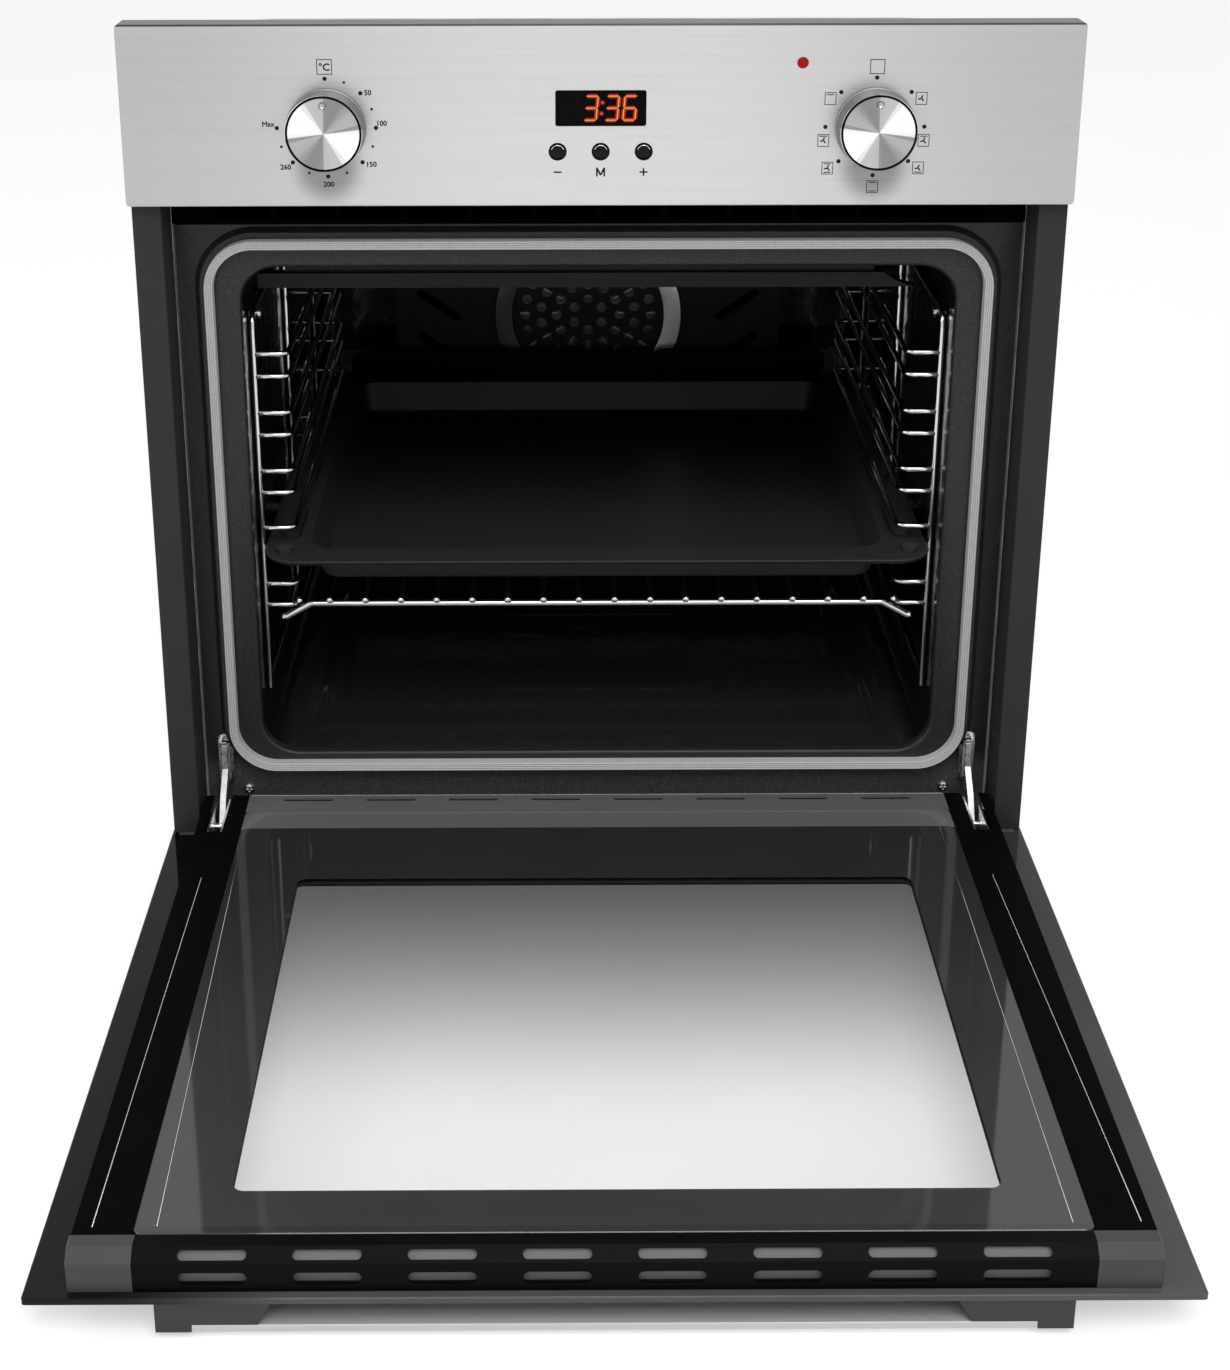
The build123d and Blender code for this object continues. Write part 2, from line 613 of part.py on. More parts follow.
def frame_screws():
    """Screws beside the hinges that hold the frame to the base."""
    return [pan_head_screw(x, FRAME_Y - 0.1, z, FRAME_SHEET + 6) for x, z in FRAME_SCREWS]


# ---------------------------------------------------------------- cavity
def cavity_section(grow):
    """Outline of the cavity, grown outwards."""
    size = (2 * (MOUTH_HALF + grow), MOUTH_HEIGHT + 2 * grow)
    return Pos(0, MOUTH_Z) * RectangleRounded(*size, MOUTH_RADIUS + grow)


def cavity_liner():
    """Enamelled tube with a flange behind the front frame and a stamped floor."""
    liner = upright(cavity_section(CAVITY_SHEET) - cavity_section(0), CAVITY_FRONT, CAVITY_BACK)
    flange = cavity_section(CAVITY_FLANGE) - cavity_section(0)
    liner += upright(flange, CAVITY_FRONT, CAVITY_FRONT + CAVITY_SHEET)
    pad_rear, bead_rear = CAVITY_BACK - FLOOR_PAD_BACK, CAVITY_BACK - FLOOR_BEAD_BACK
    pad = Rectangle(2 * (MOUTH_HALF - FLOOR_PAD_SIDE), pad_rear - FLOOR_PAD_FRONT)
    pad = Pos(0, (pad_rear + FLOOR_PAD_FRONT) / 2) * pad
    low = MOUTH_BOTTOM - CAVITY_SHEET / 2
    top = MOUTH_BOTTOM + FLOOR_PAD_RISE
    liner += flat(pad, low, top)
    length, width = bead_rear - FLOOR_BEAD_FRONT, 2 * (MOUTH_HALF - FLOOR_BEAD_SIDE)
    inner = (width - 2 * FLOOR_BEAD_WIDTH, length - 2 * FLOOR_BEAD_WIDTH)
    ring = RectangleRounded(width, length, FLOOR_BEAD_RADIUS)
    ring -= RectangleRounded(*inner, FLOOR_BEAD_RADIUS - FLOOR_BEAD_WIDTH)
    liner += flat(Pos(0, FLOOR_BEAD_FRONT + length / 2) * ring, top, top + FLOOR_BEAD_RISE)
    boss_length = FLOOR_BOSS_REAR - FLOOR_BOSS_FRONT
    boss = RectangleRounded(2 * FLOOR_BOSS_HALF, boss_length, FLOOR_BOSS_RADIUS)
    return liner + flat(Pos(0, FLOOR_BOSS_FRONT + boss_length / 2) * boss, top, top + FLOOR_BOSS_RISE)


def cavity_back():
    """Rear wall of the cavity, pierced for the fan shaft, element ends and lamp."""
    y0 = CAVITY_BACK + SEAT
    holes = Pos(0, FAN_Z) * Circle(FAN_SHAFT_R + 2)
    holes += Pos(LAMP_X, LAMP_Z) * Circle(LAMP_R - 3)
    holes += [Pos(x, GRILL_Z) * Circle(ELEMENT_R + 0.2) for x in (-GRILL_FEED, GRILL_FEED)]
    holes += [Pos(x, RING_FEED_Z) * Circle(ELEMENT_R + 0.2) for x in (-RING_FEED, RING_FEED)]
    holes += [Pos(x, BOTTOM_Z) * Circle(ELEMENT_R + 0.2) for x in (-BOTTOM_FEED, BOTTOM_FEED)]
    return upright(cavity_section(CAVITY_FLANGE) - holes, y0, y0 + CAVITY_SHEET)


def door_gasket():
    """Woven seal around the mouth, with three grooves along its face."""
    def band(inset, width):
        size = (GASKET_WIDTH - 2 * inset, GASKET_HEIGHT - 2 * inset)
        hole = (size[0] - 2 * width, size[1] - 2 * width)
        outer = RectangleRounded(*size, GASKET_RADIUS - inset)
        return Pos(0, GASKET_Z) * (outer - RectangleRounded(*hole, GASKET_RADIUS - inset - width))

    back = RIM_Y - SEAT
    gasket = upright(band(0, GASKET_BAND), GASKET_FRONT, back)
    face = gasket.faces().sort_by(Axis.Y)[0]
    gasket = chamfer(face.edges(), GASKET_EDGE)
    for k in range(GASKET_GROOVES):
        inset = GASKET_BAND * (k + 1) / (GASKET_GROOVES + 1) - GASKET_GROOVE / 2
        gasket -= upright(band(inset, GASKET_GROOVE), GASKET_FRONT, GASKET_FRONT + GASKET_GROOVE)
    return gasket


def insulation():
    """Glass-wool blanket around the liner, with room for the lower element."""
    outer_low = MOUTH_BOTTOM - CAVITY_SHEET - ELEMENT_ROOM - BLANKET_BELOW
    outer_high = MOUTH_TOP + CAVITY_SHEET + BLANKET_THICK
    outer_half = MOUTH_HALF + CAVITY_SHEET + BLANKET_THICK
    y0, y1 = BLANKET_FRONT, CAVITY_BACK - 1
    blanket = block(-outer_half, outer_half, y0, y1, outer_low, outer_high)
    blanket -= upright(cavity_section(CAVITY_SHEET + SEAT), y0, y1)
    room_half, room_low = MOUTH_HALF - ELEMENT_ROOM_SIDE, MOUTH_BOTTOM - CAVITY_SHEET - ELEMENT_ROOM
    return blanket - block(-room_half, room_half, y0 + ELEMENT_ROOM_FRONT, y1, room_low, MOUTH_BOTTOM)


def top_deflector():
    """Heat lip that hangs under the front of the ceiling, with one rounded end."""
    high = MOUTH_TOP - SEAT
    low, neck = high - DEFLECTOR_DROP, high - DEFLECTOR_NECK
    left, right = DEFLECTOR_LEFT_GAP - MOUTH_HALF, MOUTH_HALF - DEFLECTOR_RIGHT_GAP
    end = right - DEFLECTOR_END
    face = make_face(
        Polyline((right, low), (left, low), (left, neck), (end, neck))
        + RadiusArc((end, neck), (right, low), -2 * DEFLECTOR_END)
    )
    lip = upright(face, DEFLECTOR_Y, DEFLECTOR_Y + DEFLECTOR_THICK)
    web = block(left + 18, end - 6, DEFLECTOR_Y + 4, DEFLECTOR_Y + 6, neck - 1, high)
    return lip + web


GRILL_Z = MOUTH_TOP - GRILL_DROP
GRILL_FEED = 25.0
GRILL_FRONT = 78.0
GRILL_MIDDLE = 150.0
GRILL_REAR = CAVITY_BACK - 65.0
GRILL_OUT = MOUTH_HALF - 49.5
GRILL_IN = 105.0
ELEMENT_TAIL = 22.0
ELEMENT_BEND = 18.0
RING_FEED = 16.0
RING_FEED_Z = FAN_Z + math.sqrt(RING_ELEMENT_R ** 2 - RING_FEED ** 2)
BOTTOM_FEED = 30.0
BOTTOM_REAR = CAVITY_BACK - 150.0
BOTTOM_FRONT = 90.0
BOTTOM_MIDDLE = 180.0
BOTTOM_OUT = MOUTH_HALF - 84.5
BOTTOM_IN = 60.0
BOTTOM_Z = MOUTH_BOTTOM - CAVITY_SHEET - SEAT - ELEMENT_R


def grill_element():
    """Tubular element looped under the ceiling, its two tails through the rear wall."""
    tail = CAVITY_BACK + ELEMENT_TAIL
    half = [
        (GRILL_FEED, tail),
        (GRILL_FEED, GRILL_MIDDLE),
        (GRILL_IN, GRILL_MIDDLE),
        (GRILL_IN, GRILL_REAR),
        (GRILL_OUT, GRILL_REAR),
        (GRILL_OUT, GRILL_FRONT),
    ]
    run = half + [(-x, y) for x, y in reversed(half)]
    return bent_rod([(x, y, GRILL_Z) for x, y in run], ELEMENT_BEND, ELEMENT_R)


def bottom_element():
    """Tubular element under the cavity floor."""
    tail = CAVITY_BACK + ELEMENT_TAIL
    half = [
        (BOTTOM_FEED, tail),
        (BOTTOM_FEED, BOTTOM_REAR),
        (BOTTOM_OUT, BOTTOM_REAR),
        (BOTTOM_OUT, BOTTOM_FRONT),
        (BOTTOM_IN, BOTTOM_FRONT),
        (BOTTOM_IN, BOTTOM_MIDDLE),
    ]
    run = half + [(-x, y) for x, y in reversed(half)]
    return bent_rod([(x, y, BOTTOM_Z) for x, y in run], ELEMENT_BEND, ELEMENT_R)


# ---------------------------------------------------------------- hot air
def fan_baffle():
    """Shallow pressed cover over the fan: perforated eye, slanted outlets at the sides."""
    width, height = 2 * BAFFLE_HALF, BAFFLE_HIGH - BAFFLE_LOW
    middle = (BAFFLE_HIGH + BAFFLE_LOW) / 2
    wall = BAFFLE_SHEET
    rear = CAVITY_BACK
    shape = Pos(0, middle) * RectangleRounded(width, height, BAFFLE_CORNER)
    inner = Pos(0, middle) * RectangleRounded(width - 2 * wall, height - 2 * wall, BAFFLE_CORNER - wall)
    baffle = upright(shape, BAFFLE_FRONT, rear) - upright(inner, BAFFLE_FRONT + wall, rear)
    holes = Sketch()
    for side in (-1, 1):
        for k in range(BAFFLE_SLOTS):
            z = BAFFLE_LOW + BAFFLE_SLOT_LOW + BAFFLE_SLOT_PITCH * k
            spot = Pos(side * (BAFFLE_HALF - BAFFLE_SLOT_INSET), z)
            holes += spot * SlotOverall(*BAFFLE_SLOT, rotation=side * BAFFLE_SLOT_LEAN)
    for ring in range(1, GRILLE_RINGS + 1):
        for k in range(6 * ring):
            angle = math.radians(90 + 60 * k / ring)
            spot = Pos(ring * GRILLE_PITCH * math.cos(angle), FAN_Z + ring * GRILLE_PITCH * math.sin(angle))
            holes += spot * Circle(GRILLE_HOLE_R)
    return baffle - upright(holes, BAFFLE_FRONT, BAFFLE_FRONT + wall)


def fan_ring():
    """Bright ring over the joint between grille and baffle."""
    inner = GRILLE_R - 1.5
    section = [
        (inner, SEAT),
        (RING_R, SEAT),
        (RING_R, RING_THICK - 1),
        (RING_R - 1.2, RING_THICK),
        (inner + 1.2, RING_THICK),
        (inner, RING_THICK - 1),
    ]
    return facing(0, BAFFLE_FRONT, FAN_Z) * turned(*section)


def fan_wheel():
    """Hot-air fan: back disc, radial blades, hub, and its shaft to the motor."""
    back = CAVITY_BACK - 4
    front = back - FAN_DEPTH
    wheel = upright(Pos(0, FAN_Z) * Circle(FAN_R), back - 1.5, back)
    wheel += upright(Pos(0, FAN_Z) * Circle(10), front + 3, back)
    for k in range(FAN_BLADES):
        blade = upright(Pos(FAN_R - 19, 0) * Rectangle(34, 1.2), front, back - 1)
        wheel += Pos(0, 0, FAN_Z) * Rot(0, 360 * k / FAN_BLADES, 0) * blade
    shaft = upright(Pos(0, FAN_Z) * Circle(FAN_SHAFT_R), front + 1, CAVITY_BACK + FAN_SHAFT_REACH)
    return wheel + shaft


def ring_element():
    """Circular element around the fan, with two tails through the rear wall."""
    y = CAVITY_BACK - 12
    gap = math.degrees(math.asin(RING_FEED / RING_ELEMENT_R))
    centre = Plane(origin=(0, y, FAN_Z), x_dir=(1, 0, 0), z_dir=(0, -1, 0))
    arc = centre * CenterArc((0, 0), RING_ELEMENT_R, 90 + gap, 360 - 2 * gap)
    coil = sweep(Plane(origin=arc @ 0, z_dir=arc % 0) * Circle(ELEMENT_R), path=arc)
    for x in (-RING_FEED, RING_FEED):
        coil += rod((x, y, RING_FEED_Z), (x, CAVITY_BACK + ELEMENT_TAIL, RING_FEED_Z), ELEMENT_R)
        coil += Pos(x, y, RING_FEED_Z) * Sphere(ELEMENT_R)
    return coil


def fan_motor():
    """Motor behind the cavity, on a square flange, with a bush for the fan shaft."""
    y0 = CAVITY_BACK + SEAT + CAVITY_SHEET + SEAT
    side = 2 * MOTOR_R + MOTOR_FLANGE
    motor = upright(Pos(0, FAN_Z) * RectangleRounded(side, side, 8), y0, y0 + 2)
    motor += upright(Pos(0, FAN_Z) * Circle(MOTOR_R), y0 + 2, y0 + MOTOR_LENGTH)
    motor += upright(Pos(0, FAN_Z) * Circle(MOTOR_END_R), y0 + MOTOR_LENGTH, y0 + MOTOR_LENGTH + 4)
    fin = block(MOTOR_R - 2, MOTOR_R + 5, y0 + 8, y0 + 34, -6, 6)
    for k in range(4):
        motor += Pos(0, 0, FAN_Z) * Rot(0, 45 + 90 * k, 0) * fin
    return motor - upright(Pos(0, FAN_Z) * Circle(FAN_SHAFT_R + RUN), y0, y0 + MOTOR_LENGTH + 4)


def lamp_glass():
    """Screw-in glass dome of the oven light."""
    rim = CAVITY_BACK
    bore = LAMP_R - LAMP_RIM
    dome = turned((0, 15), (8, 14), (15, 10.5), (LAMP_R - 2, 5), (LAMP_R, 2.5), (LAMP_R, SEAT), (0, SEAT))
    inner = turned((0, 12.6), (7, 11.8), (13.4, 8.6), (bore, 3.6), (bore, SEAT), (0, SEAT))
    return facing(LAMP_X, rim, LAMP_Z) * (dome - inner)


def lamp_holder():
    """Ceramic holder behind the rear wall."""
    y0 = CAVITY_BACK + SEAT + CAVITY_SHEET + SEAT
    socket = turned((9, 0), (LAMP_R + 2, 0), (LAMP_R + 2, 3), (15, 5), (14, 36), (0, 36), (0, 24), (9, 24))
    return Pos(LAMP_X, y0, LAMP_Z) * Rot(-90, 0, 0) * socket


# ---------------------------------------------------------------- cooling air
def air_duct():
    """Flat duct over the insulation; its roof also parts off the controls."""
    duct = block(-DUCT_HALF, DUCT_HALF, CASING_FRONT + 0.5, DUCT_REAR, DUCT_LOW, DUCT_LOW + SHEET)
    duct += block(-INNER_HALF + 0.4, INNER_HALF - 0.4, -1, DUCT_REAR, DUCT_HIGH - SHEET, DUCT_HIGH)
    for side in (-1, 1):
        x0, x1 = sorted((side * DUCT_HALF, side * (DUCT_HALF - SHEET)))
        duct += block(x0, x1, CASING_FRONT + 0.5, DUCT_REAR, DUCT_LOW, DUCT_HIGH)
    return duct


def air_outlet():
    """Black outlet frame over the door, with upright vanes."""
    y0, y1 = FRAME_Y, CASING_FRONT + 0.2
    low, high = FRAME_TOP + SEAT, DUCT_HIGH - SHEET - SEAT
    half = INNER_HALF - 0.4
    frame = block(-half, half, y0, y1, low, high)
    cells = Sketch()
    middle = (low + high) / 2
    pitch = (2 * (half - OUTLET_END) + OUTLET_VANE) / OUTLET_CELLS
    size = (pitch - OUTLET_VANE, high - low - 2 * OUTLET_RIM)
    for k in range(OUTLET_CELLS):
        cells += Pos((k - (OUTLET_CELLS - 1) / 2) * pitch, middle) * RectangleRounded(*size, 2)
    return frame - upright(cells, y0, y1)


def blower_housing():
    """Scroll around the cross-flow wheel, open to the duct in front and the air behind."""
    low = DUCT_LOW + SEAT
    x0, x1 = -BLOWER_HALF, BLOWER_HALF
    mouth_top = DUCT_HIGH + BLOWER_THROAT
    skin = crosswise(Pos(BLOWER_Y, BLOWER_Z) * Circle(BLOWER_R), x0, x1)
    skin += block(x0, x1, DUCT_REAR + SEAT, BLOWER_Y, low, mouth_top)
    room = crosswise(Pos(BLOWER_Y, BLOWER_Z) * Circle(BLOWER_R - SHEET), x0 + SHEET, x1 - SHEET)
    room += block(x0 + SHEET, x1 - SHEET, DUCT_REAR + SEAT, BLOWER_Y, low + SHEET, mouth_top - SHEET)
    below, above = BLOWER_INTAKE
    intake = block(x0 + 8, x1 - 8, BLOWER_Y, BLOWER_Y + BLOWER_R, BLOWER_Z - below, BLOWER_Z + above)
    shaft = crosswise(Pos(BLOWER_Y, BLOWER_Z) * Circle(BLOWER_SHAFT_R + RUN), x0, x1)
    foot = block(x0, x1, BLOWER_Y - 10, BLOWER_Y + 30, low, low + SHEET)
    return (skin + foot) - room - intake - shaft


def blower_wheel():
    """Cross-flow wheel with its shaft."""
    half = BLOWER_HALF - SHEET - 4
    wheel = crosswise(Circle(BLOWER_WHEEL_R), -half, -half + 1.5)
    wheel += crosswise(Circle(BLOWER_WHEEL_R), half - 1.5, half)
    for k in range(BLOWER_BLADES):
        spot = Pos(0, BLOWER_WHEEL_R - 4, 0) * Rot(BLOWER_BLADE_TURN, 0, 0)
        wheel += Rot(360 * k / BLOWER_BLADES, 0, 0) * spot * Box(2 * half - 2, *BLOWER_BLADE)
    wheel += crosswise(Circle(BLOWER_SHAFT_R), -BLOWER_HALF - 2, BLOWER_HALF + 12)
    return Pos(0, BLOWER_Y, BLOWER_Z) * wheel


def blower_motor():
    """Shaded-pole motor at the end of the blower."""
    x0 = BLOWER_HALF + SEAT
    side = BLOWER_MOTOR_SIDE
    motor = crosswise(RectangleRounded(side, side, 5), x0, x0 + BLOWER_MOTOR)
    motor += crosswise(Circle(BLOWER_MOTOR_CAP_R), x0 + BLOWER_MOTOR, x0 + BLOWER_MOTOR + 8)
    motor -= crosswise(Circle(BLOWER_SHAFT_R + RUN), x0, x0 + 14)
    return Pos(0, BLOWER_Y, BLOWER_Z) * motor


def terminal_block():
    """Ceramic mains terminals inside the back cover."""
    rear = BODY_DEPTH - SHEET - SEAT
    x0, x1 = INLET_X + 16, INLET_X + 76
    body = block(x0, x1, rear - 22, rear, INLET_Z - 17, INLET_Z + 17)
    for k in range(4):
        body -= Pos(x0 + 9 + 14 * k, rear - 22, INLET_Z + 7) * Rot(90, 0, 0) * Cylinder(3.2, 20)
    return body


# ---------------------------------------------------------------- controls
def control_panel():
    """Folded steel fascia with openings for the knobs, display, keys and lamp."""
    middle = (FRONT_TOP + PANEL_BOTTOM) / 2
    sheet = Pos(0, middle) * RectangleRounded(FRONT_WIDTH, PANEL_HEIGHT, PANEL_CORNER)
    panel = upright(sheet, PANEL_FACE, -PANEL_RETURN_GAP)
    panel = fillet(panel.faces().sort_by(Axis.Y)[0].edges(), PANEL_EDGE)
    inner_size = (FRONT_WIDTH - 2 * PANEL_SHEET, PANEL_HEIGHT - 2 * PANEL_SHEET)
    inner = RectangleRounded(*inner_size, PANEL_CORNER - PANEL_SHEET)
    panel -= upright(Pos(0, middle) * inner, PANEL_BACK, -PANEL_RETURN_GAP)
    holes = Pos(0, DISPLAY_Z) * RectangleRounded(DISPLAY_WIDTH, DISPLAY_HEIGHT, 1.5)
    holes += [Pos(k * BUTTON_PITCH, BUTTON_Z) * Circle(BUTTON_HOLE_R) for k in (-1, 0, 1)]
    holes += [Pos(x, DIAL_Z) * Circle(SHAFT_R + 1.5) for x in (-DIAL_X, DIAL_X)]
    holes += Pos(POWER_X, POWER_Z) * Circle(POWER_R + 0.2)
    return panel - upright(holes, PANEL_FACE, PANEL_BACK)


def panel_carrier():
    """Bracket behind the fascia that holds the timer and both switches."""
    half = HALF - PANEL_SHEET - SEAT
    low, high = PANEL_BOTTOM + PANEL_SHEET + SEAT, FRONT_TOP - PANEL_SHEET - SEAT
    plate = Pos(0, (low + high) / 2) * RectangleRounded(2 * half, high - low, PANEL_CORNER - PANEL_SHEET)
    carrier = upright(plate, CARRIER_FRONT, CARRIER_BACK)
    for side in (-1, 1):
        x0, x1 = sorted((side * (INNER_HALF - 0.2), side * (INNER_HALF - 0.2 - SHEET)))
        carrier += block(x0, x1, CARRIER_BACK, CARRIER_SIDE_END, low + 2, BODY_TOP - SHEET - 1)
    holes = Sketch() + [Pos(x, DIAL_Z) * Circle(BUSH_R + 0.3) for x in (-DIAL_X, DIAL_X)]
    holes += Pos(POWER_X, POWER_Z) * Circle(POWER_R)
    for x in (DIAL_X - CARRIER_WINDOW_IN, DIAL_X + CARRIER_WINDOW_OUT):
        for side in (-1, 1):
            holes += Pos(side * x, PANEL_BOTTOM + CARRIER_WINDOW_RISE) * RectangleRounded(*CARRIER_WINDOW, 5)
    return carrier - upright(holes, CARRIER_FRONT, CARRIER_BACK)


def display_window():
    """Dark acrylic window, its flange behind the fascia."""
    lens = RectangleRounded(DISPLAY_WIDTH - 0.4, DISPLAY_HEIGHT - 0.4, 1.3)
    flange = RectangleRounded(DISPLAY_WIDTH + 6, DISPLAY_HEIGHT + 6, 2)
    window = upright(Pos(0, DISPLAY_Z) * lens, PANEL_FACE + 0.3, PANEL_BACK + SEAT)
    return window + upright(Pos(0, DISPLAY_Z) * flange, PANEL_BACK + SEAT, TIMER_FRONT - SEAT)


TIMER_FRONT = PANEL_BACK + 2.2
KEY_REAR = PANEL_FACE + 12.0


def timer_module():
    """Clock and its three key guides, in front of the carrier."""
    middle = (TIMER_LOW + TIMER_HIGH) / 2
    case = Pos(0, middle) * RectangleRounded(2 * TIMER_HALF, TIMER_HIGH - TIMER_LOW, 2)
    timer = upright(case, TIMER_FRONT, CARRIER_FRONT - SEAT)
    keys = Sketch() + [Pos(k * BUTTON_PITCH, BUTTON_Z) * Circle(BUTTON_R + 0.2) for k in (-1, 0, 1)]
    return timer - upright(keys, TIMER_FRONT, KEY_REAR + BUTTON_TRAVEL + 1)


def push_button(k):
    """Domed key in its guide."""
    rear = PANEL_FACE - KEY_REAR
    key = turned(
        (0, rear), (BUTTON_R, rear), (BUTTON_R, BUTTON_PROUD - 1.0), (BUTTON_R - 0.5, BUTTON_PROUD - 0.3),
        (BUTTON_R - 2, BUTTON_PROUD + 0.1), (0, BUTTON_PROUD + 0.3),
    )
    return facing(k * BUTTON_PITCH, PANEL_FACE, BUTTON_Z) * key


def power_lamp():
    """Red indicator: domed lens, flange behind the fascia, stem through the carrier."""
    behind = -PANEL_SHEET - SEAT
    stem = PANEL_FACE - CARRIER_BACK
    lamp = turned(
        (0, stem), (POWER_R - 0.3, stem), (POWER_R - 0.3, behind - 1.4), (POWER_R + 1.6, behind - 1.4),
        (POWER_R + 1.6, behind), (POWER_R, behind), (POWER_R, 0.3), (POWER_R - 0.9, 1.1), (0, 1.5),
    )
    return facing(POWER_X, PANEL_FACE, POWER_Z) * lamp


def control_knob(x):
    """Spun metal knob: skirt, side, ring groove and index dimple; hollow behind."""
    top = KNOB_PROUD
    body = turned(
        (0, KNOB_GAP), (KNOB_SKIRT_R, KNOB_GAP), (KNOB_SKIRT_R, KNOB_SKIRT), (KNOB_R + 0.2, KNOB_SKIRT + 0.8),
        (KNOB_R, top - 0.4), (KNOB_R - 0.4, top), (0, top),
    )
    body -= turned(
        (KNOB_RING_IN, top - KNOB_RING_DEEP), (KNOB_RING_OUT, top - KNOB_RING_DEEP), (KNOB_RING_OUT, top),
        (KNOB_RING_IN, top),
    )
    hub, room, roof = KNOB_HUB_R, KNOB_R - KNOB_WALL, top - KNOB_WALL
    body -= turned((hub, KNOB_GAP), (room, KNOB_GAP), (room, roof), (hub, roof))
    bore, deep = SHAFT_R + RUN, SHAFT_IN_KNOB + SEAT
    body -= turned((0, KNOB_GAP), (bore, KNOB_GAP), (bore, deep), (0, deep))
    sphere = KNOB_MARK_DIMPLE * 1.6
    body -= Pos(0, KNOB_MARK_R, top + sphere - 1.1) * Sphere(sphere)
    return facing(x, PANEL_FACE, DIAL_Z) * body


def control_shaft(x):
    """Spindle from the switch into the knob."""
    reach = PANEL_FACE - (CARRIER_BACK + SEAT + 6)
    shaft = turned((0, reach), (SHAFT_R, reach), (SHAFT_R, SHAFT_IN_KNOB), (0, SHAFT_IN_KNOB))
    return facing(x, PANEL_FACE, DIAL_Z) * shaft


def control_switch(x, long_side):
    """Switch behind the carrier, its bush through it."""
    y0 = CARRIER_BACK + SEAT
    low, high = DIAL_Z - long_side, DIAL_Z + long_side
    body = block(x - SWITCH_HALF, x + SWITCH_HALF, y0, y0 + SWITCH_DEPTH, low, high)
    body += upright(Pos(x, DIAL_Z) * Circle(BUSH_R), PANEL_BACK + 2, y0)
    tab_half, rear = SWITCH_HALF - 3, y0 + SWITCH_DEPTH
    for k in (-1, 0, 1):
        z = DIAL_Z + k * SWITCH_TAB_PITCH
        body += block(x - tab_half, x + tab_half, rear, rear + SWITCH_TAB, z - 1, z + 1)
    return body - upright(Pos(x, DIAL_Z) * Circle(SHAFT_R + RUN), PANEL_BACK + 2, y0 + 7)


# ---------------------------------------------------------------- racks, shelf and tray
def side_rack():
    """Left chrome rack: a frame along the wall and a pair of rungs for each level."""
    wall, rung = -RACK_WALL_X, -RACK_RUNG_X
    middle = (RACK_FRONT + RACK_REAR) / 2
    r = RACK_WIRE_R
    corners = [(RACK_FRONT, RACK_FOOT), (RACK_FRONT, RACK_TOP), (RACK_REAR, RACK_TOP), (RACK_REAR, RACK_FOOT)]
    low = RACK_FOOT + RACK_BAR_RISE
    rack = bent_rod([(wall, y, z) for y, z in corners], RACK_BEND, r)
    rack += rod((wall, RACK_FRONT, low), (wall, RACK_REAR, low), r)
    rack += rod((wall, middle, low), (wall, middle, RACK_TOP), r)
    for level in range(RACK_LEVELS):
        for lift in (0, RACK_PAIR):
            z = RACK_LOWEST + level * RACK_PITCH + lift
            run = [(wall, RACK_FRONT, z), (rung, RACK_FRONT, z), (rung, RACK_REAR, z), (wall, RACK_REAR, z)]
            rack += bent_rod(run, RUNG_BEND, r)
    return rack


def rack_pegs():
    """Screwed pegs in the side walls that the racks hang on."""
    pegs = []
    for side in (-1, 1):
        for y in (RACK_FRONT + PEG_INSET, RACK_REAR - PEG_INSET):
            wall = side * MOUTH_HALF
            tip = side * (RACK_WALL_X - RACK_WIRE_R - 2.5)
            head = side * (RACK_WALL_X - RACK_WIRE_R - 0.4)
            start = (wall - side * SEAT, y, RACK_TOP - RACK_WIRE_R - 2.4)
            peg = rod(start, (tip, y, start[2]), PEG_R)
            peg += rod((head, y, start[2] - 0.2), (tip, y, start[2] - 0.2), PEG_HEAD_R)
            pegs.append(peg)
    return pegs


def wire_shelf():
    """Chrome shelf: bent front wire, side wires, raised back stop, sixteen cross rods."""
    z, r = SHELF_Z, SHELF_WIRE_R
    front, rear = SHELF_FRONT, SHELF_REAR
    start, low = SHELF_END_X - SHELF_END_RUN, z - SHELF_END_DROP
    ends = [(-SHELF_END_X - 4, front, low), (-SHELF_END_X, front, low), (-start, front, z)]
    shelf = bent_rod(ends + [(-x, y, h) for x, y, h in reversed(ends)], 4, r)
    side = [(-SHELF_HALF, front + 2, z), (-SHELF_HALF, rear, z)]
    shelf += bent_rod(side + [(-x, y, h) for x, y, h in reversed(side)], 6, r)
    stop = [(-SHELF_STOP_HALF, rear, z), (-SHELF_STOP_HALF, rear, z + SHELF_STOP)]
    shelf += bent_rod(stop + [(-x, y, h) for x, y, h in reversed(stop)], 6, SHELF_ROD_R + 0.6)
    for x in (-SHELF_HALF, SHELF_HALF):
        slope = (x + math.copysign(-7, x), front + 1, z - 1.5)
        shelf += rod((x, front + 14, z), slope, r)
    middle = (front + rear) / 2
    shelf += rod((-SHELF_HALF, middle, z), (SHELF_HALF, middle, z), r)
    rod_z = z + r + SHELF_ROD_R - 0.8
    for k in range(SHELF_RODS):
        x = (k - (SHELF_RODS - 1) / 2) * SHELF_ROD_PITCH
        shelf += rod((x, front - r, rod_z), (x, rear, rod_z), SHELF_ROD_R)
        shelf += Pos(x, front - r, rod_z) * Sphere(SHELF_ROD_R + 0.7)
    return shelf


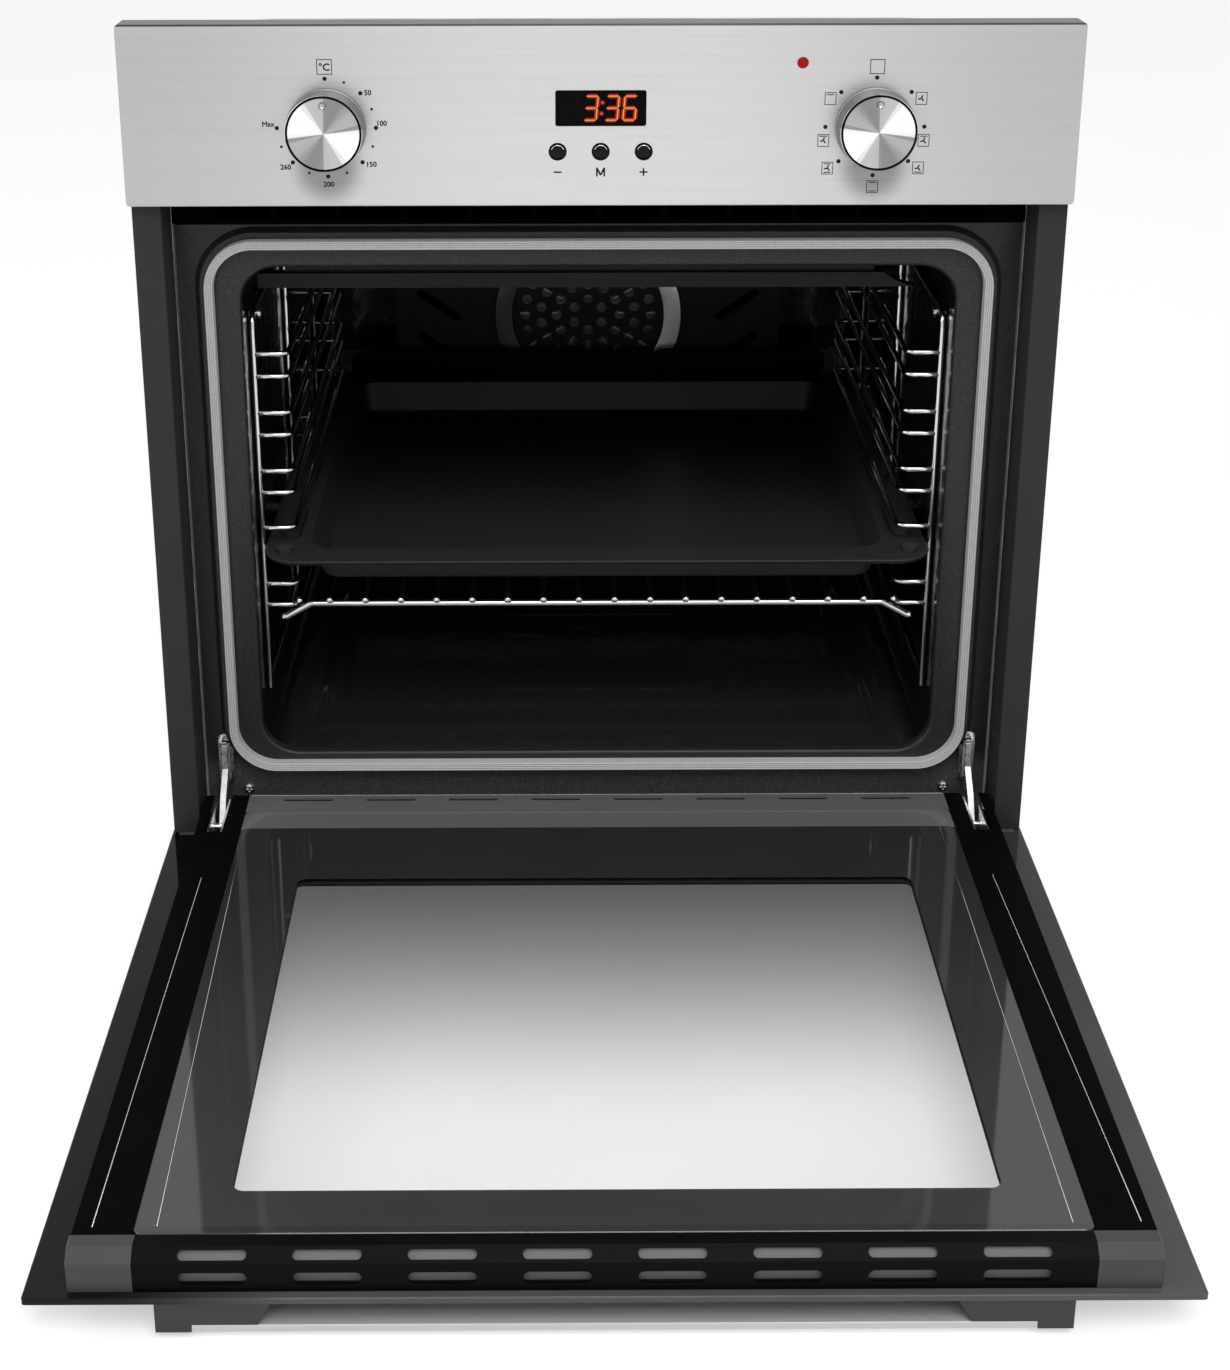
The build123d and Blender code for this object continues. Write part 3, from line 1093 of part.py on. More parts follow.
def baking_tray():
    """Enamelled tray: slotted flange with a beaded edge, tapered well, raised back."""
    low = TRAY_FLANGE_LOW
    top = low + TRAY_SHEET
    middle = TRAY_FRONT + TRAY_DEPTH / 2
    plan = Pos(0, middle) * RectangleRounded(2 * TRAY_HALF, TRAY_DEPTH, TRAY_CORNER)
    tray = flat(plan, low, top)
    inset = TRAY_BEAD_R
    loop = RectangleRounded(2 * (TRAY_HALF - inset), TRAY_DEPTH - 2 * inset, TRAY_CORNER - inset)
    path = Pos(0, middle, low + TRAY_BEAD_R) * loop.wire()
    tray += sweep(Plane(origin=path @ 0, z_dir=path % 0) * Circle(TRAY_BEAD_R), path=path)
    y0, y1 = TRAY_FRONT + TRAY_WELL_FRONT, TRAY_REAR - TRAY_WELL_REAR
    centre, width, depth = (y0 + y1) / 2, 2 * TRAY_WELL_HALF, y1 - y0
    inner_size = (width - 2 * TRAY_SHEET, depth - 2 * TRAY_SHEET)
    outer = Plane.XY.offset(top) * Pos(0, centre) * RectangleRounded(width, depth, TRAY_WELL_CORNER)
    inner = RectangleRounded(*inner_size, TRAY_WELL_CORNER - TRAY_SHEET)
    inner = Plane.XY.offset(top) * Pos(0, centre) * inner
    tray += extrude(outer, -TRAY_WELL_DEEP, taper=TRAY_WELL_TAPER)
    tray -= extrude(inner, -(TRAY_WELL_DEEP - TRAY_SHEET), taper=TRAY_WELL_TAPER)
    lip = Pos(0, top + TRAY_LIP / 2) * RectangleRounded(2 * TRAY_LIP_HALF, TRAY_LIP + 2, 6)
    tray += upright(lip, TRAY_REAR - 2 * inset, TRAY_REAR - inset)
    slot_x = (TRAY_HALF + TRAY_WELL_HALF) / 2
    holes = Sketch()
    slot = SlotOverall(TRAY_SLOT_LENGTH, TRAY_SLOT_WIDTH, rotation=90)
    for side in (-1, 1):
        for y in TRAY_SLOTS:
            holes += Pos(side * slot_x, TRAY_FRONT + y) * slot
        holes += Pos(side * slot_x, TRAY_FRONT + TRAY_HOLE) * Circle(TRAY_HOLE_R)
    return tray - flat(holes, low, top + 0.5)


# ---------------------------------------------------------------- door
def outer_glass():
    """Front pane of the door, as wide as the control panel."""
    middle = (GLASS_FRONT + GLASS_REAR) / 2
    plan = Pos(0, middle) * RectangleRounded(FRONT_WIDTH, GLASS_REAR - GLASS_FRONT, 2)
    pane = flat(plan, GLASS_UNDER, GLASS_TOP)
    faces = pane.faces().sort_by(Axis.Z)
    pane = chamfer(faces[-1].edges() + faces[0].edges(), GLASS_EDGE)
    holes = Sketch()
    for x in HANDLE_SCREWS:
        holes += [Pos(side * x, SCREW_Y) * Circle(HANDLE_SCREW_R + 1) for side in (-1, 1)]
    return pane - flat(holes, GLASS_UNDER, GLASS_TOP)


def inner_glass():
    """Oven-side pane, let into the door's inner frame."""
    middle = (PANE_FRONT + PANE_REAR) / 2
    plan = Pos(0, middle) * RectangleRounded(2 * PANE_HALF, PANE_REAR - PANE_FRONT, 5)
    pane = flat(plan, PANE_UNDER, INNER_TOP)
    return chamfer(pane.faces().sort_by(Axis.Z)[-1].edges(), GLASS_EDGE)


def door_rail():
    """Left side rail: box with a ledge for the inner pane and a slot for the hinge."""
    out, inn, ledge = -DOOR_INNER_HALF, -(PANE_HALF + SEAT), -RAIL_LEDGE_IN
    foot, roof, wall = GLASS_TOP + SEAT, INNER_TOP - 0.4, RAIL_WALL
    section = outline(
        (out, foot), (out, roof), (inn, roof), (inn, LEDGE_TOP), (ledge, LEDGE_TOP),
        (ledge, LEDGE_TOP - wall), (inn - wall, LEDGE_TOP - wall), (inn - wall, roof - wall),
        (out + wall, roof - wall), (out + wall, foot),
    )
    rail = upright(section, RAIL_FRONT + SEAT, DOOR_INNER_REAR)
    slot_x0, slot_x1 = -HINGE_X - RAIL_SLOT_HALF, -HINGE_X + RAIL_SLOT_HALF
    rail -= block(slot_x0, slot_x1, DOOR_INNER_REAR - RAIL_SLOT_LENGTH, DOOR_INNER_REAR, roof - wall, roof)
    rail -= block(inn - SEAT, ledge, PANE_REAR, DOOR_INNER_REAR, foot, INNER_TOP)
    bores = Sketch() + [Pos(-DOOR_SCREW_X, y) * Circle(DOOR_SCREW_R + 0.1) for y in DOOR_SCREW_Y]
    return rail - flat(bores, LEDGE_TOP - wall, LEDGE_TOP)


def door_screws():
    """Cross-head screws on the rail ledges, seen through the edge of the inner pane."""
    r, seat = DOOR_SCREW_R, SEAT / 3
    screw = turned((0, -9), (r, -9), (r, seat), (5, seat), (4.6, 1.1), (2, 1.6), (0, 1.6))
    screw -= Pos(0, 0, 1.6) * (Box(5, 1.0, 1.2) + Box(1.0, 5, 1.2))
    return [Pos(side * DOOR_SCREW_X, y, LEDGE_TOP) * screw for side in (-1, 1) for y in DOOR_SCREW_Y]


def door_bottom_rail():
    """Steel rail along the door's hinge edge: slotted roof, rear wall and pane ledge."""
    rear, front = DOOR_INNER_REAR, DOOR_INNER_REAR - BOTTOM_RAIL_DEPTH
    roof, wall = INNER_TOP - 0.2, RAIL_WALL
    half = PANE_HALF
    rail = block(-half, half, front, rear, roof - wall, roof)
    rail += block(-half, half, rear - wall, rear, GLASS_TOP + SEAT, roof)
    rail += block(-half, half, front, front + wall, LEDGE_TOP - wall, roof)
    ledge = RAIL_LEDGE_IN - SEAT
    rail += block(-ledge, ledge, front - 12, front + wall, LEDGE_TOP - wall, LEDGE_TOP)
    slots = Sketch()
    for k in range(VENT_SLOTS):
        x = (k - (VENT_SLOTS - 1) / 2) * VENT_PITCH
        slots += Pos(x, rear - 6.5) * SlotOverall(VENT_SLOT_LENGTH, 3.6)
    return rail - flat(slots, roof - wall, roof)


def vent_section(grow):
    """Outline of the vent trim in Y and Z, its wall inset by grow."""
    foot = GLASS_TOP + SEAT
    front, back, roof = DOOR_INNER_FRONT + grow, RAIL_FRONT, INNER_TOP - grow
    knee = GLASS_TOP + VENT_FACE - grow * math.tan(math.radians(22.5))
    slope = roof - knee
    return outline((front, foot), (front, knee), (front + slope, roof), (back, roof), (back, foot))


def vent_trim():
    """Black trim along the door's free edge, with two rows of air slots."""
    trim = crosswise(vent_section(0), -VENT_HALF, VENT_HALF)
    trim -= crosswise(vent_section(VENT_WALL), -VENT_HALF + VENT_WALL, VENT_HALF - VENT_WALL)
    foot = GLASS_TOP + SEAT
    low = Sketch()
    high = Sketch()
    for k in range(VENT_SLOTS):
        x = (k - (VENT_SLOTS - 1) / 2) * VENT_PITCH
        low += Pos(x, foot + 7.8) * SlotOverall(VENT_SLOT_LENGTH, VENT_SLOT_LOW)
        high += Pos(x, 0) * SlotOverall(VENT_SLOT_LENGTH, VENT_SLOT_HIGH)
    trim -= upright(low, DOOR_INNER_FRONT, DOOR_INNER_FRONT + VENT_WALL)
    rise = INNER_TOP - (GLASS_TOP + VENT_FACE)
    slope = Plane(
        origin=(0, DOOR_INNER_FRONT + rise / 2, INNER_TOP - rise / 2), x_dir=(1, 0, 0), z_dir=(0, -1, 1)
    )
    return trim - extrude(slope * high, amount=VENT_WALL * 1.2, both=True)


def vent_baffle():
    """Pale strip behind the vent slots that keeps hands off the hot inner frame."""
    front = DOOR_INNER_FRONT + VENT_WALL
    foot = GLASS_TOP + SEAT
    half = VENT_HALF - VENT_WALL - SEAT
    rise = INNER_TOP - (GLASS_TOP + VENT_FACE)
    knee = GLASS_TOP + VENT_FACE - VENT_WALL
    y0 = front + 2.2
    section = outline(
        (y0, foot + 3.2), (y0, knee), (y0 + rise - 2.4, knee + rise - 2.4),
        (y0 + rise - 1.6, knee + rise - 3.2), (y0 + 0.8, knee - 0.6), (y0 + 0.8, foot + 3.2),
    )
    strip = crosswise(section, -half, half)
    for side in (-1, 1):
        x0, x1 = sorted((side * half, side * (half - 3)))
        strip += block(x0, x1, front + SEAT, y0 + 0.4, foot + 3.2, knee - 2)
    return strip


def trim_cap():
    """Grey moulded end of the vent trim, over the end of the side rail."""
    x0, x1 = -CAP_OUT, -VENT_HALF - SEAT
    cap = crosswise(vent_section(0), x0, x1)
    ends = cap.faces().sort_by(Axis.X)[0].edges()
    cap = chamfer(ends, CAP_EDGE)
    return cap - crosswise(vent_section(VENT_WALL), x0 + VENT_WALL, x1 - VENT_WALL)


def handle_bar():
    """Flat steel bar of the handle."""
    y0 = HANDLE_FRONT
    bar = block(-HANDLE_HALF, HANDLE_HALF, y0, y0 + HANDLE_DEPTH, HANDLE_LOW, HANDLE_LOW + HANDLE_PLATE)
    return fillet(bar.edges().filter_by(Axis.X), 0.8)


def handle_bracket():
    """Left dark bracket: stands the bar off the glass and closes its end."""
    y0, y1 = HANDLE_FRONT, HANDLE_FRONT + HANDLE_DEPTH
    top = GLASS_UNDER - SEAT
    bar_top = HANDLE_LOW + HANDLE_PLATE + SEAT
    face = outline(
        (-BRACKET_OUT, top), (-BRACKET_OUT, HANDLE_LOW), (-HANDLE_HALF - SEAT, HANDLE_LOW),
        (-HANDLE_HALF - SEAT, bar_top), (-BRACKET_IN - BRACKET_SLOPE, bar_top), (-BRACKET_IN, top),
    )
    bracket = upright(face, y0, y1)
    for x in HANDLE_SCREWS:
        bracket -= Pos(-x, SCREW_Y, top - 6) * Cylinder(HANDLE_SCREW_R + 0.05, 12)
    return bracket


def handle_screws():
    """Screws from inside the door, through the glass, into the brackets."""
    r, drop = HANDLE_SCREW_R, GLASS + SEAT + 11
    screw = turned((0, -drop), (r, -drop), (r, 0.2), (3.8, 0.2), (3.6, 2.0), (0, 2.2))
    return [Pos(side * x, SCREW_Y, GLASS_TOP) * screw for side in (-1, 1) for x in HANDLE_SCREWS]


# ---------------------------------------------------------------- hinges
def hinge_body():
    """Left spring housing in the door rail: a channel whose cheeks hold the pivot."""
    inner, wall = HINGE_BODY_HALF - HINGE_BODY_WALL, HINGE_BODY_WALL
    roof = INNER_TOP - 0.4 - RAIL_WALL - SEAT
    low = GLASS_TOP + 0.8
    rear = DOOR_INNER_REAR - 3
    front = rear - HINGE_BODY_LENGTH
    shut = rear - RAIL_SLOT_LENGTH + 2
    channel = block(-HINGE_BODY_HALF, HINGE_BODY_HALF, front, rear, low, roof)
    channel -= block(-inner, inner, front + wall, rear, low + wall, roof)
    channel -= block(-inner, inner, shut + 6, rear, low, roof)
    channel += block(-inner, inner, front + wall, shut, roof - wall, roof)
    bore = crosswise(Pos(HINGE_Y, HINGE_Z) * Circle(PIVOT_R), -HINGE_BODY_HALF, HINGE_BODY_HALF)
    channel -= bore
    return Pos(-HINGE_X, 0, 0) * channel


def hinge_pin():
    """Left pivot pin, headed outside the cheeks."""
    half = HINGE_BODY_HALF
    pin = crosswise(Pos(HINGE_Y, HINGE_Z) * Circle(PIVOT_R - 0.02), -half - 0.6, half + 0.6)
    return Pos(-HINGE_X, 0, 0) * pin


def hinge_arm():
    """Left hook arm: hub on the pivot, curved neck, and a hook through the frame."""
    half = ARM_THICK / 2
    hub = Pos(HINGE_Y, HINGE_Z) * Circle(ARM_HUB_R)
    top, behind = FRAME_Y - ARM_SETBACK, FRAME_BACK + ARM_HOOK
    neck = outline(
        (HINGE_Y - 4.4, HINGE_Z), (HINGE_Y + 3.4, HINGE_Z - 3), (4.0, 46.0), (top, 55.0), (behind, 56.5),
        (behind, 63.3), (top, 63.3), (top, 79.0), (behind, 77.0), (behind, 83.4),
        (top - 5, 83.4), (top - 6, 66.0), (-4.0, 52.0),
    )
    arm = crosswise(hub + neck, -half, half)
    arm -= crosswise(Pos(HINGE_Y, HINGE_Z) * Circle(PIVOT_R + RUN), -half, half)
    return Pos(-HINGE_X, 0, 0) * arm


def hinge_receiver():
    """Left bright cheek plates on the frame, either side of the hook arm."""
    gap = ARM_THICK / 2 + SEAT
    back = FRAME_Y - SEAT
    front = back - RECEIVER_PROUD
    high, low = RECEIVER_HIGH, RECEIVER_LOW
    plate = Pos(0, (high + low) / 2) * RectangleRounded(2 * RECEIVER_HALF, high - low, 4)
    receiver = upright(plate, back - 2, back)
    for side in (-1, 1):
        x0, x1 = sorted((side * gap, side * (gap + 1.6)))
        receiver += block(x0, x1, front, back - 1, low + 6, high - 4)
    receiver -= block(-gap, gap, back - 2, back, low + 3, high - 5)
    receiver += block(-gap - 0.2, gap + 0.2, front, front + 1.4, high - 5.8, high - 4)
    return Pos(-HINGE_X, 0, 0) * receiver


def hinge_spring():
    """Left counterbalance spring around its rod, in the hinge body."""
    inner = HINGE_BODY_HALF - HINGE_BODY_WALL - SEAT
    y0, length, bore = DOOR_INNER_REAR - HINGE_BODY_LENGTH + 2, SPRING_LENGTH, SPRING_BORE_R
    coil = turned((bore, 0), (inner, 0), (inner, length), (bore, length))
    for k in range(1, SPRING_TURNS):
        z = k * length / SPRING_TURNS
        coil -= turned((inner - 0.6, z - 0.5), (inner, z - 0.5), (inner, z + 0.5), (inner - 0.6, z + 0.5))
    return Pos(-HINGE_X, y0, HINGE_Z + 4.2) * Rot(-90, 0, 0) * coil


# ---------------------------------------------------------------- the whole oven
def build():
    """Make every piece, keyed by its node's name."""
    for maker in (
        base_pan, outer_casing, rear_cover, front_frame, cavity_liner, cavity_back, door_gasket,
        insulation, top_deflector, grill_element, bottom_element, fan_baffle, fan_ring, fan_wheel,
        ring_element, fan_motor, lamp_glass, lamp_holder, air_duct, air_outlet, blower_housing,
        blower_wheel, blower_motor, terminal_block, control_panel, panel_carrier, display_window,
        timer_module, power_lamp, wire_shelf, baking_tray, outer_glass, inner_glass,
        door_bottom_rail, vent_trim, vent_baffle, handle_bar, frame_screws, rack_pegs,
        door_screws, handle_screws,
    ):
        parts[maker.__name__] = maker()
    for name, solid in (
        ("side_trims", side_trim()), ("door_rails", door_rail()), ("trim_caps", trim_cap()),
        ("handle_brackets", handle_bracket()),
        ("hinge_bodies", hinge_body()), ("hinge_pins", hinge_pin()), ("hinge_springs", hinge_spring()),
        ("hinge_arms", hinge_arm()), ("hinge_receivers", hinge_receiver()),
    ):
        parts[name] = pair(solid)
    rack = side_rack()
    middle = Pos(0, (RACK_FRONT + RACK_REAR) / 2, 0)
    parts["side_racks"] = [rack, middle * Rot(0, 0, 180) * middle.inverse() * rack]
    for k, name in ((-1, "minus"), (0, "mode"), (1, "plus")):
        parts[name + "_button"] = push_button(k)
    low, tall = SWITCH_TALL
    for x, knob, shaft, switch, long_side in (
        (-DIAL_X, "temperature_knob", "thermostat_shaft", "thermostat", low),
        (DIAL_X, "function_knob", "selector_shaft", "function_selector", tall),
    ):
        parts[knob] = control_knob(x)
        parts[shaft] = control_shaft(x)
        parts[switch] = control_switch(x, long_side)


def main():
    """Write one STEP file for each node."""
    build()
    os.makedirs("parts", exist_ok=True)
    for name, piece in parts.items():
        shape = Compound(children=piece) if isinstance(piece, list) else piece
        export_step(shape, f"parts/{name}.step")


main()
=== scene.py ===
import logging
import math
from dataclasses import dataclass
from enum import Enum
from typing import Sequence, Union

import bmesh
import bpy
import numpy as np
from mathutils import Matrix, Vector


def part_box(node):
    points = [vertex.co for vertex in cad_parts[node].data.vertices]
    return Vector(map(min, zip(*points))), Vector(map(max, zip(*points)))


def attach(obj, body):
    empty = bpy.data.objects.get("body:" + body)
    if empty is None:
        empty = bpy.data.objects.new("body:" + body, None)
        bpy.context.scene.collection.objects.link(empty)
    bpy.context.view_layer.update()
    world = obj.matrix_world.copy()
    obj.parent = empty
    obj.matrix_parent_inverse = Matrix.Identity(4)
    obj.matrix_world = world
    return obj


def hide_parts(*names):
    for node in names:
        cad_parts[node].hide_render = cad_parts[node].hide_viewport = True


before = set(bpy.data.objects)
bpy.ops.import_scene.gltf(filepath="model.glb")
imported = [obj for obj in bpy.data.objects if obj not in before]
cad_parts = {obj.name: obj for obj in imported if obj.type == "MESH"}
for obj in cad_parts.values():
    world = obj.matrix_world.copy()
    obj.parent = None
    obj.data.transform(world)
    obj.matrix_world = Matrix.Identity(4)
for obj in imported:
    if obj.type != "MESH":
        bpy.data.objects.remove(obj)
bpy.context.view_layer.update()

# A built-in electric oven with its door down. Sizes are millimetres; Shape.build turns them into
# metres. X runs to the right, Y into the cabinet, Z up from the underside of the base pan.

MM = 0.001
SHARP = math.radians(35)
QUARTER = math.pi / 2
LEAST_BEND = 0.02
MERGE = 0.0001
CAPITAL = 0.73
LOG = logging.getLogger("oven")

Number = Union[float, "Signal"]
Colour = tuple


# ---------------------------------------------------------------- points and paths
def chip(code: str) -> Colour:
    """Turns a paint chip's six-figure screen code into a linear colour.

    Args:
        code: Red, green and blue as six hexadecimal figures.

    Returns:
        The linear colour, with full opacity.
    """
    values = np.array([int(code[k:k + 2], 16) for k in (0, 2, 4)]) / 255
    linear = np.where(values <= 0.04045, values / 12.92, ((values + 0.055) / 1.055) ** 2.4)
    return (*linear.tolist(), 1.0)


def grey(tone: float) -> Colour:
    """Neutral linear colour of one tone."""
    return (tone, tone, tone, 1.0)


def shaded(colour: Colour, share: float) -> Colour:
    """A colour times a share, no brighter than white."""
    return tuple(min(1.0, share * c) for c in colour[:3]) + (1.0,)


def arc(middle: tuple, radius: float, start: float, stop: float, steps: int = 6) -> np.ndarray:
    """Points on an arc: centre plus radius times (cosine, sine) of evenly spaced angles.

    Args:
        middle: Centre of the arc.
        radius: Its radius.
        start: First angle in degrees.
        stop: Last angle in degrees.
        steps: Number of points.

    Returns:
        The points, one row each.
    """
    angle = np.radians(np.linspace(start, stop, steps))
    return np.stack([middle[0] + radius * np.cos(angle), middle[1] + radius * np.sin(angle)], -1)


def outline_rows(half_width: np.ndarray, half_height: np.ndarray, radius: np.ndarray,
                 steps: int) -> np.ndarray:
    """Rounded rectangles that share one order of points.

    Each corner is a quarter turn: corner centre plus radius times (cosine, sine), and the four
    straight sides are the steps from one corner's last point to the next corner's first.

    Args:
        half_width: Half width of each row.
        half_height: Half height of each row.
        radius: Corner radius of each row.
        steps: Points on each corner.

    Returns:
        Flat points, shaped (rows, 4 * steps, 2).
    """
    angle = (np.arange(4)[:, None] * QUARTER + np.linspace(0, QUARTER, steps)[None]).ravel()
    side_x = np.repeat([1, -1, -1, 1], steps)
    side_y = np.repeat([1, 1, -1, -1], steps)
    bend = np.maximum(radius, LEAST_BEND)[:, None]
    x = side_x * (half_width[:, None] - bend) + bend * np.cos(angle)
    y = side_y * (half_height[:, None] - bend) + bend * np.sin(angle)
    return np.stack([x, y], -1)


def rounded(half_width: float, half_height: float, radius: float, steps: int) -> np.ndarray:
    """Points of one rounded rectangle, as outline_rows gives them."""
    return outline_rows(np.array([half_width]), np.array([half_height]), np.array([radius]), steps)[0]


def both_sides(points: Sequence) -> list:
    """Points on the left, given as positive x, y and z, then their mirror images in reverse."""
    left = [(-x, y, z) for x, y, z in points]
    return left + [(-x, y, z) for x, y, z in reversed(left)]


class Facing(Enum):
    """The plane that an outline is drawn in."""

    FRONT = "drawn in x and z, its depth along y"
    PLAN = "drawn in x and y, its depth along z"

    def place(self, across: np.ndarray, along: np.ndarray, deep: np.ndarray) -> np.ndarray:
        """Points in space from two drawn coordinates and a depth."""
        return np.stack((across, deep, along) if self is Facing.FRONT else (across, along, deep), -1)


@dataclass(frozen=True)
class Frame:
    """A rounded rectangle that a section is carried round."""

    half_width: float
    half_height: float
    radius: float
    middle: float
    facing: Facing = Facing.FRONT
    steps: int = 12

    def carry(self, section: np.ndarray) -> np.ndarray:
        """Carries a section round the rectangle.

        A point at inset s and depth d lies on the same rectangle drawn smaller by s all round,
        at depth d.

        Args:
            section: Rows of inset and depth.

        Returns:
            Grid of points, shaped (section points, outline points, 3).
        """
        inset, depth = section[:, 0], section[:, 1]
        half = (self.half_width - inset, self.half_height - inset)
        flat = outline_rows(*half, self.radius - inset, self.steps)
        across, along = flat[..., 0], flat[..., 1] + self.middle
        return self.facing.place(across, along, np.broadcast_to(depth[:, None], across.shape))


def bent(points: Sequence, bend: float, steps: int = 7, closed: bool = False) -> np.ndarray:
    """Straight runs through corner points, joined by arcs of one radius.

    At a corner that turns by angle t the arc starts bend times tan(t / 2) before it, and its
    points lie on the circle whose centre is on the line that halves the corner.

    Args:
        points: Corner points.
        bend: Radius of the arcs.
        steps: Points on each arc.
        closed: Whether the last point joins the first.

    Returns:
        Points along the path, one row each.
    """
    corners = np.asarray(points, float)
    count = len(corners)
    path = []
    for k in range(count):
        if not closed and k in (0, count - 1):
            path.append(corners[k][None])
            continue
        here = corners[k]
        back = corners[k - 1] - here
        on = corners[(k + 1) % count] - here
        back, on = back / np.linalg.norm(back), on / np.linalg.norm(on)
        half = math.acos(float(np.clip(np.dot(back, on), -1, 1))) / 2
        middle = here + (back + on) / np.linalg.norm(back + on) * bend / math.sin(half)
        start = here + back * bend / math.tan(half) - middle
        stop = here + on * bend / math.tan(half) - middle
        share = np.linspace(0, 1, steps)[:, None]
        turn = math.pi - 2 * half
        swept = np.sin((1 - share) * turn) * start + np.sin(share * turn) * stop
        path.append(middle + swept / math.sin(turn))
    return np.concatenate(path)


def tube(path: np.ndarray, radius: np.ndarray, normal: Sequence, sides: int, closed: bool) -> np.ndarray:
    """Rings about a path that lies in one plane.

    The ring at each path point is the point plus radius times (cosine of the plane's normal plus
    sine of the normal crossed with the path's direction).

    Args:
        path: Points along the middle of the wire.
        radius: Radius at each point.
        normal: Normal of the plane that the path lies in.
        sides: Points on each ring.
        closed: Whether the path joins itself.

    Returns:
        Grid of points, shaped (path points, sides, 3).
    """
    if closed:
        along = np.roll(path, -1, 0) - np.roll(path, 1, 0)
    else:
        along = np.gradient(path, axis=0)
    along /= np.linalg.norm(along, axis=1)[:, None]
    up = np.broadcast_to(np.asarray(normal, float), path.shape)
    side = np.cross(up, along)
    side /= np.linalg.norm(side, axis=1)[:, None]
    up = np.cross(along, side)
    angle = np.linspace(0, 2 * math.pi, sides, endpoint=False)[None, :, None]
    reach = np.asarray(radius, float)[:, None, None]
    return path[:, None] + reach * (np.cos(angle) * up[:, None] + np.sin(angle) * side[:, None])


def quads(rows: int, columns: int, loop_rows: bool, loop_columns: bool) -> np.ndarray:
    """Four-sided faces between neighbouring rows and columns of a grid.

    Args:
        rows: Number of rows.
        columns: Number of columns.
        loop_rows: Whether the last row joins the first.
        loop_columns: Whether the last column joins the first.

    Returns:
        Point numbers, four to a face.
    """
    row, column = np.meshgrid(
        np.arange(rows if loop_rows else rows - 1),
        np.arange(columns if loop_columns else columns - 1),
        indexing="ij",
    )
    below, beside = (row + 1) % rows, (column + 1) % columns
    here, next_row = row * columns, below * columns
    corners = [here + column, here + beside, next_row + beside, next_row + column]
    return np.stack(corners, -1).reshape(-1, 4)


def smoothstep(value: np.ndarray, low: float, high: float) -> np.ndarray:
    """Eased step: 3 t squared less 2 t cubed, t being the share of the way from low to high."""
    share = np.clip((value - low) / (high - low), 0, 1)
    return share * share * (3 - 2 * share)


def inside_depth(x: np.ndarray, y: np.ndarray, half: tuple, middle: float, radius: float) -> np.ndarray:
    """How far each point lies inside a rounded rectangle; outside it the value is negative.

    The distance is the corner radius less the length of the part of (|x|, |y|) beyond the
    rectangle's corner centres.

    Args:
        x: Points across.
        y: Points along.
        half: Half width and half length.
        middle: Centre along y.
        radius: Corner radius.

    Returns:
        Depth inside the outline.
    """
    over_x = np.abs(x) - (half[0] - radius)
    over_y = np.abs(y - middle) - (half[1] - radius)
    corner = np.hypot(np.maximum(over_x, 0), np.maximum(over_y, 0))
    return radius - corner - np.minimum(np.maximum(over_x, over_y), 0)


def linked(name: str, data: bpy.types.ID) -> bpy.types.Object:
    """A new object that holds this data, linked to the scene.

    Args:
        name: Name of the object.
        data: Its mesh, light or camera.

    Returns:
        The object.
    """
    made = bpy.data.objects.new(name, data)
    bpy.context.scene.collection.objects.link(made)
    return made


def smooth(mesh: bpy.types.Mesh, sharp: float) -> None:
    """Shades a mesh smooth, except at edges that turn by more than the angle."""
    mesh.polygons.foreach_set("use_smooth", np.ones(len(mesh.polygons), bool))
    mesh.set_sharp_from_angle(angle=sharp)


